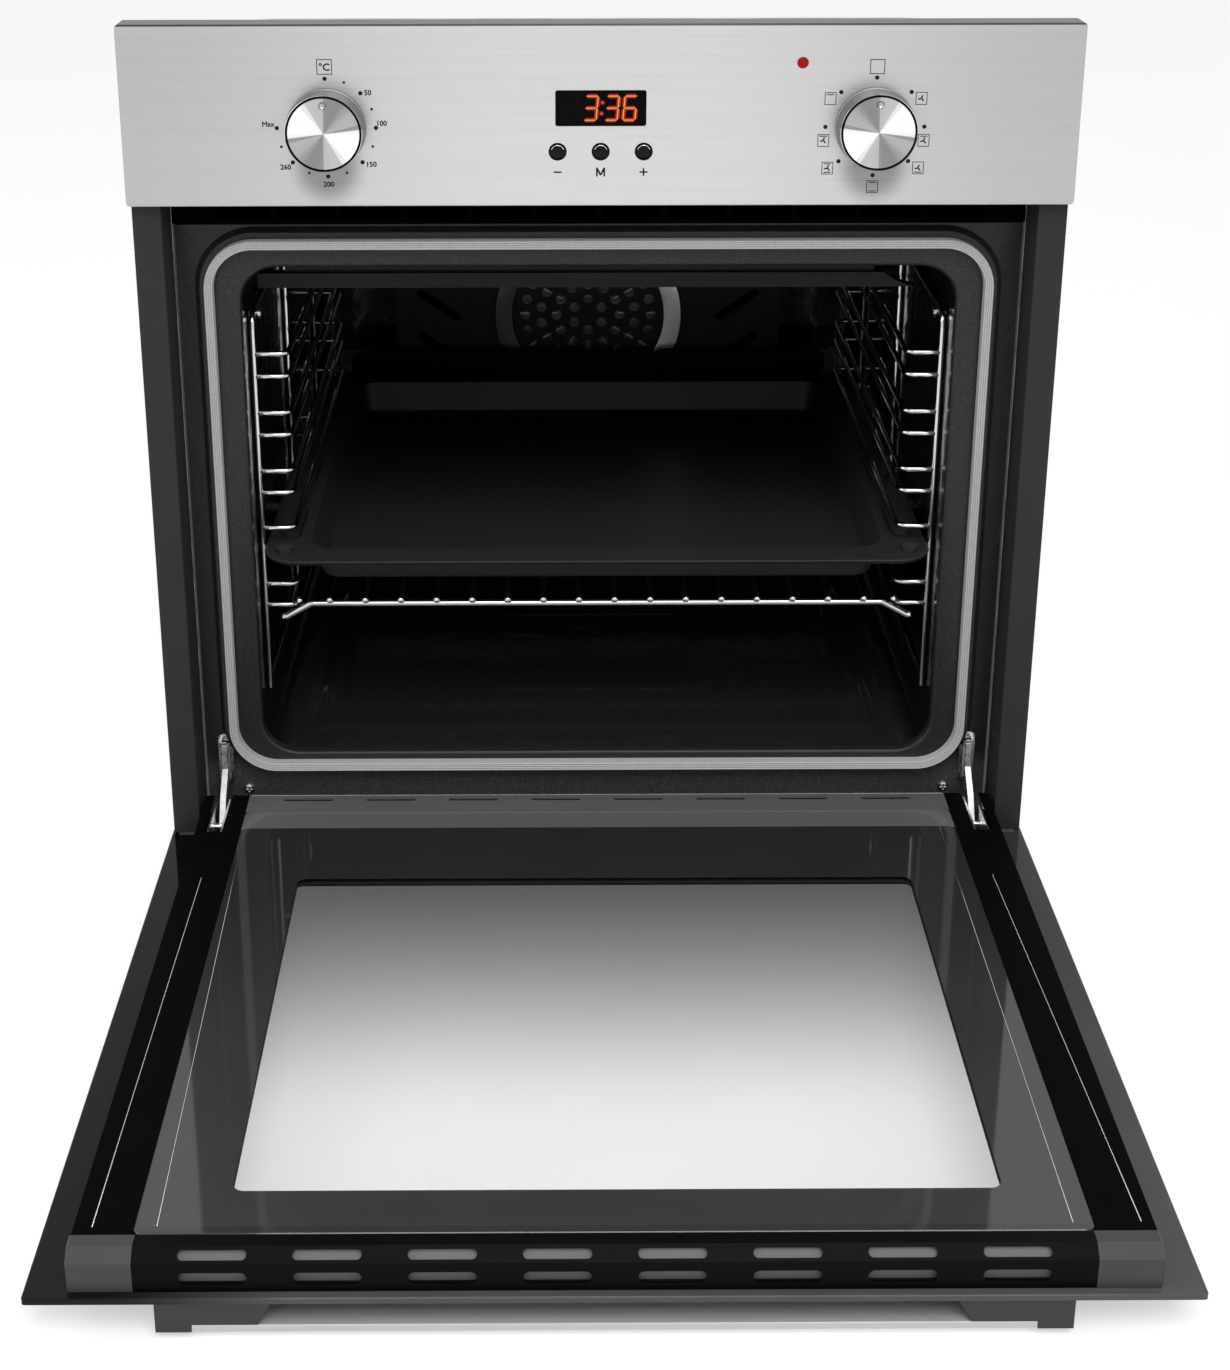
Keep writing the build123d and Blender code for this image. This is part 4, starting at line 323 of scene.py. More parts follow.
class Shape:
    """Closed shells gathered in millimetres and made one mesh whose object stays at the origin."""

    def __init__(self, name: str) -> None:
        """Starts an empty shape.

        Args:
            name: Name of the piece.
        """
        self.name = name
        self.points: list[np.ndarray] = []
        self.faces: list[np.ndarray] = []
        self.finishes: list[np.ndarray] = []
        self.count = 0

    def add(self, points: np.ndarray, blocks: Sequence[np.ndarray],
            finish: Union[int, Sequence] = 0) -> "Shape":
        """Adds one shell.

        Args:
            points: Its points, one row each.
            blocks: Arrays of faces; the faces of one array have the same number of corners.
            finish: Number of the finish, or one array of numbers for each block.

        Returns:
            The shape itself.
        """
        flat = points.reshape(-1, 3)
        for k, block in enumerate(blocks):
            self.faces.append(block + self.count)
            chosen = finish if isinstance(finish, int) else finish[k]
            self.finishes.append(np.broadcast_to(np.asarray(chosen), (len(block),)))
        self.points.append(flat)
        self.count += len(flat)
        return self

    def loft(self, grid: np.ndarray, ring: bool = False, finish: Union[int, Sequence] = 0) -> "Shape":
        """Adds the skin of a grid whose rows are closed outlines.

        Args:
            grid: Points, shaped (rows, columns, 3).
            ring: Whether the last row joins the first; if not, both end rows are capped.
            finish: Number of the finish, or a number for each row of faces.

        Returns:
            The shape itself.
        """
        rows, columns = grid.shape[:2]
        blocks = [quads(rows, columns, ring, True)]
        if not ring:
            last = np.arange((rows - 1) * columns, rows * columns)
            blocks += [np.arange(columns)[None, ::-1], last[None]]
        if isinstance(finish, int):
            return self.add(grid, blocks, finish)
        by_row = np.repeat(np.asarray(finish), columns)
        return self.add(grid, blocks, [by_row] + [by_row[:1], by_row[-1:]][:len(blocks) - 1])

    def wire(self, path: np.ndarray, radius: float, normal: Sequence, sides: int = 12, closed: bool = False,
             finish: int = 0) -> "Shape":
        """Adds round wire along a path, with domed ends.

        Each end dome is the same ring at radius times the cosine of an angle, set back by radius
        times its sine.

        Args:
            path: Points along the middle of the wire.
            radius: Radius of the wire.
            normal: Normal of the plane that the path lies in.
            sides: Points on each ring.
            closed: Whether the path joins itself.
            finish: Number of the finish.

        Returns:
            The shape itself.
        """
        if closed:
            return self.loft(tube(path, np.full(len(path), radius), normal, sides, True), True, finish)
        angle = np.radians([78.0, 50.0, 22.0])[:, None]
        first, last = path[0] - path[1], path[-1] - path[-2]
        first, last = first / np.linalg.norm(first), last / np.linalg.norm(last)
        head = path[0] + first * radius * (np.sin(angle) - 1)
        tail = path[-1] + last * radius * (np.sin(angle[::-1]) - 1)
        run = path.copy()
        run[0] -= first * radius
        run[-1] -= last * radius
        whole = np.concatenate([head, run, tail])
        dome = radius * np.cos(angle[:, 0])
        reach = np.concatenate([dome, np.full(len(run), radius), dome[::-1]])
        return self.loft(tube(whole, reach, normal, sides, False), False, finish)

    def lathe(self, profile: np.ndarray, centre: Sequence, steps: int = 64,
              finish: Union[int, Sequence] = 0) -> "Shape":
        """Adds a turned part whose axis runs along y.

        A profile point at radius r and depth d becomes the circle of radius r about the axis, at
        y = d.

        Args:
            profile: Rows of radius and y.
            centre: The axis, as x and z.
            steps: Points round each circle.
            finish: Number of the finish, or a number for each row of faces.

        Returns:
            The shape itself.
        """
        return self.loft(turned(profile, centre, steps), False, finish)

    def prism(self, flat: np.ndarray, low: float, high: float, facing: Facing, finish: int = 0) -> "Shape":
        """Adds a flat outline given thickness.

        Args:
            flat: Outline points in the drawing plane.
            low: Depth of one side.
            high: Depth of the other side.
            facing: The drawing plane.
            finish: Number of the finish.

        Returns:
            The shape itself.
        """
        rows = np.repeat(flat[None], 2, 0)
        deep = np.broadcast_to(np.array([low, high])[:, None], rows.shape[:2])
        return self.loft(facing.place(rows[..., 0], rows[..., 1], deep), False, finish)

    def mirrored(self) -> "Shape":
        """Adds the twin of everything so far on the other side of the middle plane.

        Returns:
            The shape itself.
        """
        doubled = [block + self.count for block in self.faces]
        self.points += [points * np.array([-1.0, 1.0, 1.0]) for points in self.points]
        self.faces += doubled
        self.finishes += self.finishes[:]
        self.count *= 2
        return self

    def build(self, materials: Sequence, sharp: float = SHARP) -> bpy.types.Object:
        """Makes the mesh, merges doubled points, turns faces outwards and shades it.

        Args:
            materials: Finishes in the order of their numbers.
            sharp: Edges that turn by more than this stay crisp.

        Returns:
            The piece.
        """
        mesh = bpy.data.meshes.new(self.name)
        points = np.concatenate(self.points) * MM
        corners = np.concatenate([block.ravel() for block in self.faces])
        sizes = np.concatenate([np.full(len(block), block.shape[1]) for block in self.faces])
        mesh.vertices.add(len(points))
        mesh.vertices.foreach_set("co", points.astype(np.float32).ravel())
        mesh.loops.add(len(corners))
        mesh.loops.foreach_set("vertex_index", corners.astype(np.int32))
        mesh.polygons.add(len(sizes))
        mesh.polygons.foreach_set("loop_start", np.concatenate([[0], np.cumsum(sizes)[:-1]]).astype(np.int32))
        mesh.polygons.foreach_set("material_index", np.concatenate(self.finishes).astype(np.int32))
        mesh.update(calc_edges=True)
        mesh.validate()
        working = bmesh.new()
        working.from_mesh(mesh)
        bmesh.ops.remove_doubles(working, verts=working.verts, dist=MERGE * MM)
        bmesh.ops.recalc_face_normals(working, faces=working.faces)
        working.to_mesh(mesh)
        working.free()
        smooth(mesh, sharp)
        for material in materials:
            mesh.materials.append(material)
        return linked(self.name, mesh)


def turned(profile: np.ndarray, centre: Sequence, steps: int) -> np.ndarray:
    """Circles about an axis along y: centre plus radius times (cosine, sine), at the profile's depth.

    Args:
        profile: Rows of radius and y.
        centre: The axis, as x and z.
        steps: Points round each circle.

    Returns:
        Grid of points, shaped (profile points, steps, 3).
    """
    angle = np.linspace(0, 2 * math.pi, steps, endpoint=False)[None]
    radius, depth = profile[:, :1], profile[:, 1:]
    x = centre[0] + radius * np.cos(angle)
    z = centre[1] + radius * np.sin(angle)
    return np.stack([x, np.broadcast_to(depth, x.shape), z], -1)


# ---------------------------------------------------------------- shader values
class Signal:
    """One value in a material's node tree, usable in plain sums and products."""

    def __init__(self, paint: "Paint", socket: bpy.types.NodeSocket) -> None:
        """Keeps a socket with the tree it belongs to.

        Args:
            paint: The material's tree.
            socket: The output socket.
        """
        self.paint = paint
        self.socket = socket

    def math(self, operation: str, *values: Number) -> "Signal":
        """One Math node on these values."""
        return self.paint.node("ShaderNodeMath", {"operation": operation}, dict(enumerate(values)))

    def __add__(self, other: Number) -> "Signal":
        """This plus the other."""
        return self.math("ADD", self, other)

    def __radd__(self, other: Number) -> "Signal":
        """The other plus this."""
        return self.math("ADD", other, self)

    def __sub__(self, other: Number) -> "Signal":
        """This less the other."""
        return self.math("SUBTRACT", self, other)

    def __rsub__(self, other: Number) -> "Signal":
        """The other less this."""
        return self.math("SUBTRACT", other, self)

    def __mul__(self, other: Number) -> "Signal":
        """This times the other."""
        return self.math("MULTIPLY", self, other)

    def __rmul__(self, other: Number) -> "Signal":
        """The other times this."""
        return self.math("MULTIPLY", other, self)

    def __abs__(self) -> "Signal":
        """This without its sign."""
        return self.math("ABSOLUTE", self)

    def lower(self, other: Number) -> "Signal":
        """The smaller of this and the other."""
        return self.math("MINIMUM", self, other)

    def higher(self, other: Number) -> "Signal":
        """The larger of this and the other."""
        return self.math("MAXIMUM", self, other)

    def angle_from(self, other: Number) -> "Signal":
        """Angle whose tangent is this over the other."""
        return self.math("ARCTAN2", self, other)

    def root(self) -> "Signal":
        """Square root of this."""
        return self.math("SQRT", self)

    def fraction(self) -> "Signal":
        """What is left of this above the next whole number below."""
        return self.math("FRACT", self)

    def swing(self, spread: float) -> "Signal":
        """Noise about one half made noise about zero, times its spread."""
        return (self - 0.5) * spread

    def eased(self, low: float, high: float, first: float = 0.0, last: float = 1.0) -> "Signal":
        """Eased step of this value.

        Args:
            low: Where the step starts.
            high: Where it ends.
            first: Result before it.
            last: Result after it.

        Returns:
            The stepped value.
        """
        settings = {"interpolation_type": "SMOOTHSTEP"}
        inputs = {0: self, 1: low, 2: high, 3: first, 4: last}
        return self.paint.node("ShaderNodeMapRange", settings, inputs)


class Paint:
    """A material or the world, and the one method that adds nodes to it."""

    def __init__(self, name: str, world: bool = False) -> None:
        """Starts with an empty tree.

        Args:
            name: Name of the finish.
            world: Whether it is the world and not a material.
        """
        self.owner = (bpy.data.worlds if world else bpy.data.materials).new(name)
        self.owner.use_nodes = True
        self.tree = self.owner.node_tree
        self.tree.nodes.clear()

    def node(self, kind: str, settings: dict = {}, inputs: dict = {}, output: Union[int, str] = 0) -> Signal:
        """Adds one node.

        Args:
            kind: The node's type.
            settings: Its options; "stops" holds a ramp's places and colours.
            inputs: Values or links for its sockets, by name or number.
            output: The output socket wanted.

        Returns:
            That output's value.
        """
        made = self.tree.nodes.new(kind)
        for key, value in settings.items():
            if key == "stops":
                for k, (place, colour) in enumerate(value):
                    stop = made.color_ramp.elements[k] if k < 2 else made.color_ramp.elements.new(place)
                    stop.position, stop.color = place, colour
            else:
                setattr(made, key, value)
        for key, value in inputs.items():
            socket = made.inputs[key]
            if isinstance(value, Signal):
                self.tree.links.new(value.socket, socket)
            else:
                socket.default_value = value
        return Signal(self, made.outputs[output])

    def place(self) -> Signal:
        """The point being shaded, in metres."""
        return self.node("ShaderNodeTexCoord", output="Object")

    def axes(self) -> tuple:
        """The point's x, y and z in millimetres."""
        place = self.place()
        return tuple(self.node("ShaderNodeSeparateXYZ", {}, {0: place}, k) * (1 / MM) for k in range(3))

    def stretched(self, scale: Sequence, middle: Sequence = (0, 0, 0)) -> Signal:
        """The point, moved so that middle is at zero and scaled along each axis.

        Args:
            scale: Scale along x, y and z, per metre.
            middle: The point that becomes zero, in metres.

        Returns:
            The scaled point.
        """
        shift = tuple(-m * s for m, s in zip(middle, scale))
        return self.node("ShaderNodeMapping", {}, {"Vector": self.place(), "Location": shift, "Scale": scale})

    def noise(self, scale: float, detail: float = 2.0, vector: Union[Signal, None] = None) -> Signal:
        """Smooth noise about one half.

        Args:
            scale: Cells per metre, or per unit of vector.
            detail: Number of finer layers.
            vector: Where it is read; the point itself if left out.

        Returns:
            The noise.
        """
        inputs = {"Vector": vector or self.place(), "Scale": scale, "Detail": detail}
        return self.node("ShaderNodeTexNoise", {}, inputs)

    def line_noise(self, value: Signal, scale: float) -> Signal:
        """Noise along one value, with this many cells per unit."""
        inputs = {"W": value, "Scale": scale, "Detail": 3.0}
        return self.node("ShaderNodeTexNoise", {"noise_dimensions": "1D"}, inputs)

    def cells(self, scale: float, output: str = "Distance") -> Signal:
        """Distance to the nearest of scattered points, or that cell's own colour."""
        return self.node("ShaderNodeTexVoronoi", {}, {"Vector": self.place(), "Scale": scale}, output)

    def bump(self, height: Signal, depth: float, strength: float = 1.0) -> Signal:
        """Normal of a surface raised by height times depth, in millimetres."""
        inputs = {"Height": height, "Distance": depth * MM, "Strength": strength}
        return self.node("ShaderNodeBump", {}, inputs)

    def blend(self, share: Number, first: object, second: object) -> Signal:
        """Colour between two.

        Args:
            share: How much of the second.
            first: Colour or value at zero.
            second: Colour or value at one.

        Returns:
            The mixed colour.
        """
        settings = {"data_type": "RGBA", "clamp_factor": True}
        return self.node("ShaderNodeMix", settings, {0: share, 6: first, 7: second}, 2)

    def graded(self, tone: Signal, axis: int, step: Sequence) -> Signal:
        """The tone times an eased step along one axis, or the tone itself where no step is set."""
        return tone * self.axes()[axis].eased(*step) if step else tone

    def close(self, shader: Signal, kind: str = "ShaderNodeOutputMaterial") -> bpy.types.ID:
        """Sends the shader to an output node.

        Args:
            shader: The finished shader.
            kind: The output node's type.

        Returns:
            The material, or the world.
        """
        output = self.tree.nodes.new(kind)
        self.tree.links.new(shader.socket, output.inputs["Surface"])
        return self.owner

    def within(self, half: tuple, middle: tuple, radius: float, soft: float = 0.15) -> Signal:
        """Mask of a rounded rectangle drawn in x and y.

        Args:
            half: Half width and half length in millimetres.
            middle: Its centre in millimetres.
            radius: Corner radius.
            soft: Half width of the soft edge.

        Returns:
            One inside, zero outside.
        """
        x, y, _ = self.axes()
        over_x = abs(x - middle[0]) - (half[0] - radius)
        over_y = abs(y - middle[1]) - (half[1] - radius)
        out_x, out_y = over_x.higher(0.0), over_y.higher(0.0)
        edge = (out_x * out_x + out_y * out_y).root() + over_x.higher(over_y).lower(0.0) - radius
        return 1 - edge.eased(-soft, soft)


# ---------------------------------------------------------------- finishes
class Finish:
    """A finish that is made once, however many pieces wear it."""

    made: dict = {}

    def material(self) -> bpy.types.Material:
        """Makes the finish's material at its first use and keeps it.

        Returns:
            The material.
        """
        if self not in Finish.made:
            paint = Paint(self.name)
            shader = paint.node("ShaderNodeBsdfPrincipled", {}, self.mix(paint))
            Finish.made[self] = paint.close(shader)
        return Finish.made[self]

    def mix(self, paint: Paint) -> dict:
        """Values of the surface shader's sockets; every finish has its own."""
        raise NotImplementedError


class Grain(Enum):
    """The way that brush lines run, as scales per metre along x, y and z."""

    ALONG_X = (9.0, 3200.0, 3200.0)
    ALONG_Z = (3200.0, 3200.0, 9.0)


@dataclass(frozen=True)
class BrushedSteel(Finish):
    """Steel rubbed in one direction, whose tone can carry a painted reflection that darkens it towards its
    two ends.
    """

    name: str
    grain: Grain = Grain.ALONG_X
    tone: float = 0.62
    rough: float = 0.32
    scratch: float = 0.05
    painted_end_shade: float = 0.0
    painted_end_shade_half: float = 300.0
    metallic: float = 1.0
    painted_top_shade: tuple = ()
    painted_shadows: tuple = ()
    stretch: float = 0.12
    swings: tuple = (0.26, 0.1, 0.25)
    even: float = 0.15

    def mix(self, paint: Paint) -> dict:
        """Lines of noise drawn out along the grain give the tone, the roughness and a fine bump.

        A painted shade dims the sheet above a height, as a dark line along its top; each painted shadow dims
        it round a point, by one less its share times the eased step of the distance.

        Args:
            paint: The material's tree.

        Returns:
            The shader's values.
        """
        fine = paint.noise(1.0, 3.0, paint.stretched(self.grain.value))
        longer = tuple(s * self.stretch for s in self.grain.value)
        broad = paint.noise(1.0, 2.0, paint.stretched(longer))
        fine_swing, broad_swing, rough_swing = self.swings
        lines = fine.swing(fine_swing) + broad.swing(broad_swing)
        tone = (1 + lines) * self.tone
        # Painted reflection: the tone falls off towards both ends along x.
        if self.painted_end_shade:
            x, _, _ = paint.axes()
            tone = tone * abs(x).eased(self.even * self.painted_end_shade_half, self.painted_end_shade_half, 1.0, 1 - self.painted_end_shade)
        # Painted shade: the tone is dimmed above a height, along the top edge.
        tone = paint.graded(tone, 2, self.painted_top_shade)
        # Painted shadows: the tone darkens round each given point, below the knobs.
        for middle_x, middle_z, near, far, share in self.painted_shadows:
            x, _, z = paint.axes()
            across, up = x - middle_x, z - middle_z
            tone = tone * (across * across + up * up).root().eased(near, far, 1 - share, 1.0)
        return {
            "Base Color": tone,
            "Metallic": self.metallic,
            "Roughness": self.rough + fine.swing(rough_swing),
            "Normal": paint.bump(fine, self.scratch),
        }


@dataclass(frozen=True)
class SpunSteel(Finish):
    """Steel turned on a lathe: fine rings about its centre, and painted highlight sectors in its colour where
    its grooves would throw light.
    """

    name: str
    middle: tuple
    way: int
    painted_light_sectors: tuple = (
        (0.0, 0.86), (0.035, 0.76), (0.045, 0.27), (0.075, 0.28), (0.085, 0.42),
        (0.2, 0.4), (0.33, 0.24), (0.45, 0.25), (0.488, 0.29), (0.5, 0.46),
        (0.66, 0.5), (0.68, 0.76), (0.7, 0.7), (0.73, 0.9), (1.0, 0.88),
    )

    def mix(self, paint: Paint) -> dict:
        """Rings follow the distance from the centre; the painted highlight sectors repeat every half turn.

        The share of the half turn is the fraction left of the angle over pi.

        Args:
            paint: The material's tree.

        Returns:
            The shader's values.
        """
        x, _, z = paint.axes()
        across, up = (x - self.middle[0]) * self.way, z - self.middle[1]
        radius = (across * across + up * up).root()
        angle = up.angle_from(across)
        rings, streak = paint.line_noise(radius, 4.5), paint.line_noise(angle, 14.0)
        # Painted highlights: bright and dark sectors set into the base colour by angle.
        stops = [(place, grey(tone)) for place, tone in self.painted_light_sectors]
        share = (angle * (1 / math.pi)).fraction()
        fan = paint.node("ShaderNodeValToRGB", {"stops": stops}, {0: share})
        wear = 1 + rings.swing(0.16) + streak.swing(0.12)
        return {
            "Base Color": (fan * wear).lower(0.97),
            "Metallic": 1.0,
            "Roughness": 0.3 + rings.swing(0.2),
            "Normal": paint.bump(rings, 0.03),
        }


@dataclass(frozen=True)
class BrightMetal(Finish):
    """Polished or plated metal, with faint cloudy wear in its shine."""

    name: str
    tone: float = 0.78
    rough: float = 0.1
    wear: float = 0.08
    pit: float = 0.0
    painted_left_shade: tuple = ()

    def mix(self, paint: Paint) -> dict:
        """Noise moves the roughness and the tone a little; a painted shade can dim the left side.

        Args:
            paint: The material's tree.

        Returns:
            The shader's values.
        """
        cloud = paint.noise(180.0, 3.0)
        # Painted shade: a given step along x dims the tone towards the left.
        sockets = {
            "Base Color": paint.graded((1 + cloud.swing(0.25)) * self.tone, 0, self.painted_left_shade),
            "Metallic": 1.0,
            "Roughness": self.rough + (cloud - 0.4).higher(0.0) * self.wear * 3,
        }
        if self.pit:
            sockets["Normal"] = paint.bump(paint.noise(1400.0, 2.0), self.pit)
        return sockets


@dataclass(frozen=True)
class Enamel(Finish):
    """Black vitreous enamel: glossy, very slightly uneven, with fine pale flecks if wanted."""

    name: str
    tone: float = 0.009
    rough: float = 0.09
    fleck: float = 0.0
    ripple: float = 0.35
    shine: float = 0.5
    low: tuple = ()
    deep: tuple = ()
    flecks: float = 1150.0
    fleck_edge: tuple = (0.18, 0.42)
    fleck_choice: tuple = (0.35, 0.8)

    def mix(self, paint: Paint) -> dict:
        """Slow noise is the unevenness of the fired coat; scattered small cells are the flecks.

        Low grades the tone with height and deep grades it with depth: painted light and shade in the enamel.

        Args:
            paint: The material's tree.

        Returns:
            The shader's values.
        """
        swell = paint.noise(55.0, 2.0)
        grain = paint.noise(900.0, 2.0)
        tone = self.tone * (1 + grain.swing(0.8))
        if self.fleck:
            near, own = paint.cells(self.flecks), paint.cells(self.flecks, "Color")
            chosen = paint.node("ShaderNodeSeparateColor", {}, {0: own})
            spot = (1 - near.eased(*self.fleck_edge)) * chosen.eased(*self.fleck_choice)
            tone = tone + spot * self.fleck
        # Painted light and shade: the tone is graded by height and by depth.
        return {
            "Base Color": paint.graded(paint.graded(tone, 2, self.low), 1, self.deep),
            "Roughness": self.rough + grain.swing(0.06),
            "Specular IOR Level": self.shine,
            "Normal": paint.bump(swell + grain * 0.02, self.ripple),
        }


@dataclass(frozen=True)
class SatinPaint(Finish):
    """Baked paint with a fine leathery grain."""

    name: str
    colour: Colour
    rough: float = 0.42
    grain: float = 0.02
    metallic: float = 0.0
    shine: float = 0.5

    def mix(self, paint: Paint) -> dict:
        """Fine noise is the grain, slow noise clouds the colour.

        Args:
            paint: The material's tree.

        Returns:
            The shader's values.
        """
        fine, cloud = paint.noise(1600.0, 3.0), paint.noise(25.0, 3.0)
        pale = shaded(self.colour, 1.25)
        deep = shaded(self.colour, 0.8)
        return {
            "Base Color": paint.blend(cloud * 0.6 + fine * 0.4, deep, pale),
            "Metallic": self.metallic,
            "Specular IOR Level": self.shine,
            "Roughness": self.rough + fine.swing(0.12),
            "Normal": paint.bump(fine, self.grain),
        }


@dataclass(frozen=True)
class ZincSheet(Finish):
    """Galvanised sheet with its spangle."""

    name: str

    def mix(self, paint: Paint) -> dict:
        """Each cell is one crystal with its own tone and shine.

        Args:
            paint: The material's tree.

        Returns:
            The shader's values.
        """
        crystal = paint.node("ShaderNodeSeparateColor", {}, {0: paint.cells(85.0, "Color")})
        roll = paint.noise(1.0, 3.0, paint.stretched((300.0, 12.0, 300.0)))
        return {
            "Base Color": 0.44 + crystal * 0.12 + roll.swing(0.08),
            "Metallic": 0.9,
            "Roughness": 0.36 + crystal * 0.16,
            "Normal": paint.bump(crystal + roll * 0.4, 0.03),
        }


@dataclass(frozen=True)
class WovenSeal(Finish):
    """Grey knitted seal."""

    name: str
    colour: Colour

    def mix(self, paint: Paint) -> dict:
        """Small cells are the loops of the knit, noise is its fluff.

        Args:
            paint: The material's tree.

        Returns:
            The shader's values.
        """
        loops, fluff = paint.cells(1500.0), paint.noise(400.0, 3.0)
        dark = shaded(self.colour, 0.72)
        return {
            "Base Color": paint.blend(loops * 0.7 + fluff.swing(0.6), self.colour, dark),
            "Roughness": 0.6 + fluff.swing(0.3),
            "Sheen Weight": 0.15,
            "Normal": paint.bump(loops, 0.12, 0.6),
        }


@dataclass(frozen=True)
class Fibre(Finish):
    """Loose mineral wool."""

    name: str

    def mix(self, paint: Paint) -> dict:
        """Noise drawn out across the sheet gives strands of two tones.

        Args:
            paint: The material's tree.

        Returns:
            The shader's values.
        """
        strand = paint.noise(1.0, 6.0, paint.stretched((240.0, 60.0, 700.0)))
        return {
            "Base Color": paint.blend(strand.eased(0.35, 0.65), chip("b9ae93"), chip("e6dfcb")),
            "Roughness": 0.85 + strand.swing(0.2),
            "Normal": paint.bump(strand, 1.2),
        }


@dataclass(frozen=True)
class PrintedGlass(Finish):
    """Dark printed glass: clear in its window, which painted shade darkens towards the hinge, and pale at its
    margin; print and margin are painted lighter towards the free edge.
    """

    name: str
    window: tuple
    window_middle: tuple
    corner: float
    printed: tuple = (0.0, 0.0)
    printed_middle: tuple = (0.0, 0.0)
    clear: float = 0.04
    shade: float = 0.0
    tones: tuple = (0.03, 0.055)
    margin: tuple = (0.15, 0.045)
    shine: float = 0.5
    free_edge: float = -400.0
    hinge_edge: float = -60.0
    ink: float = 0.985
    printed_extra: float = 8.0
    painted_left_shade: tuple = ()

    def mix(self, paint: Paint) -> dict:
        """The print covers what lies inside its outer edge and outside the window.

        The window's cover is the clear share plus the painted shade times the eased step towards the hinge.
        The print's and the margin's tones rise from the hinge to the free edge, a painted reflection, and a
        painted shade can dim the left side.

        Args:
            paint: The material's tree.

        Returns:
            The shader's values.
        """
        film = paint.noise(14.0, 3.0)
        _, y, _ = paint.axes()
        print_share = 1 - paint.within(self.window, self.window_middle, self.corner)
        see_through = self.clear + film.swing(0.02)
        # Painted shade: the window grows less clear towards the hinge.
        if self.shade:
            see_through = see_through + y.eased(0.8 * self.free_edge, self.hinge_edge) * self.shade
        cover = see_through + print_share * (self.ink - see_through)
        # Painted reflection: the print's tone rises from the hinge to the free edge.
        tone = y.eased(self.free_edge, self.hinge_edge, *self.tones[::-1]) * (1 + film.swing(0.4))
        if self.printed[0]:
            inside = paint.within(self.printed, self.printed_middle, self.corner + self.printed_extra)
            margin = y.eased(self.free_edge, self.hinge_edge, *self.margin[::-1])
            tone = margin + (tone - margin) * inside
        return {
            "Base Color": paint.graded(tone, 0, self.painted_left_shade),
            "Roughness": 0.035 + (film - 0.4).higher(0.0) * 0.05,
            "Specular IOR Level": self.shine,
            "Alpha": cover,
        }


@dataclass(frozen=True)
class ClearGlass(Finish):
    """Thin clear glass with a faint tint."""

    name: str
    colour: Colour
    alpha: float = 0.3

    def mix(self, paint: Paint) -> dict:
        """Noise gives the pressed glass its ripple.

        Args:
            paint: The material's tree.

        Returns:
            The shader's values.
        """
        ripple = paint.noise(160.0, 2.0)
        return {
            "Base Color": paint.blend(ripple, self.colour, grey(0.9)),
            "Roughness": 0.05 + ripple * 0.06,
            "Alpha": self.alpha + ripple.swing(0.1),
            "Normal": paint.bump(ripple, 0.4),
        }


@dataclass(frozen=True)
class OxidisedTube(Finish):
    """Heating element's steel sheath, dulled and tinted by heat."""

    name: str

    def mix(self, paint: Paint) -> dict:
        """Two layers of noise mottle the oxide.

        Args:
            paint: The material's tree.

        Returns:
            The shader's values.
        """
        patch, fine = paint.noise(45.0, 4.0), paint.noise(1500.0, 2.0)
        return {
            "Base Color": paint.blend(patch.eased(0.35, 0.7), chip("33302e"), chip("5b524a")),
            "Metallic": 0.6,
            "Roughness": 0.45 + patch.swing(0.3),
            "Normal": paint.bump(fine, 0.05),
        }


@dataclass(frozen=True)
class Glow(Finish):
    """Lit segment or lamp: its own light over a dark lens colour."""

    name: str
    colour: Colour
    light: float
    base: float = 0.02

    def mix(self, paint: Paint) -> dict:
        """Fine noise breaks the light up a little, as a diffuser does.

        Args:
            paint: The material's tree.

        Returns:
            The shader's values.
        """
        diffuser = paint.noise(900.0, 1.0)
        weak = shaded(self.colour, 0.85)
        return {
            "Base Color": self.base * (1 + diffuser),
            "Roughness": 0.5 + diffuser * 0.1,
            "Specular IOR Level": 0.05,
            "Emission Color": paint.blend(diffuser, weak, self.colour),
            "Emission Strength": self.light,
        }


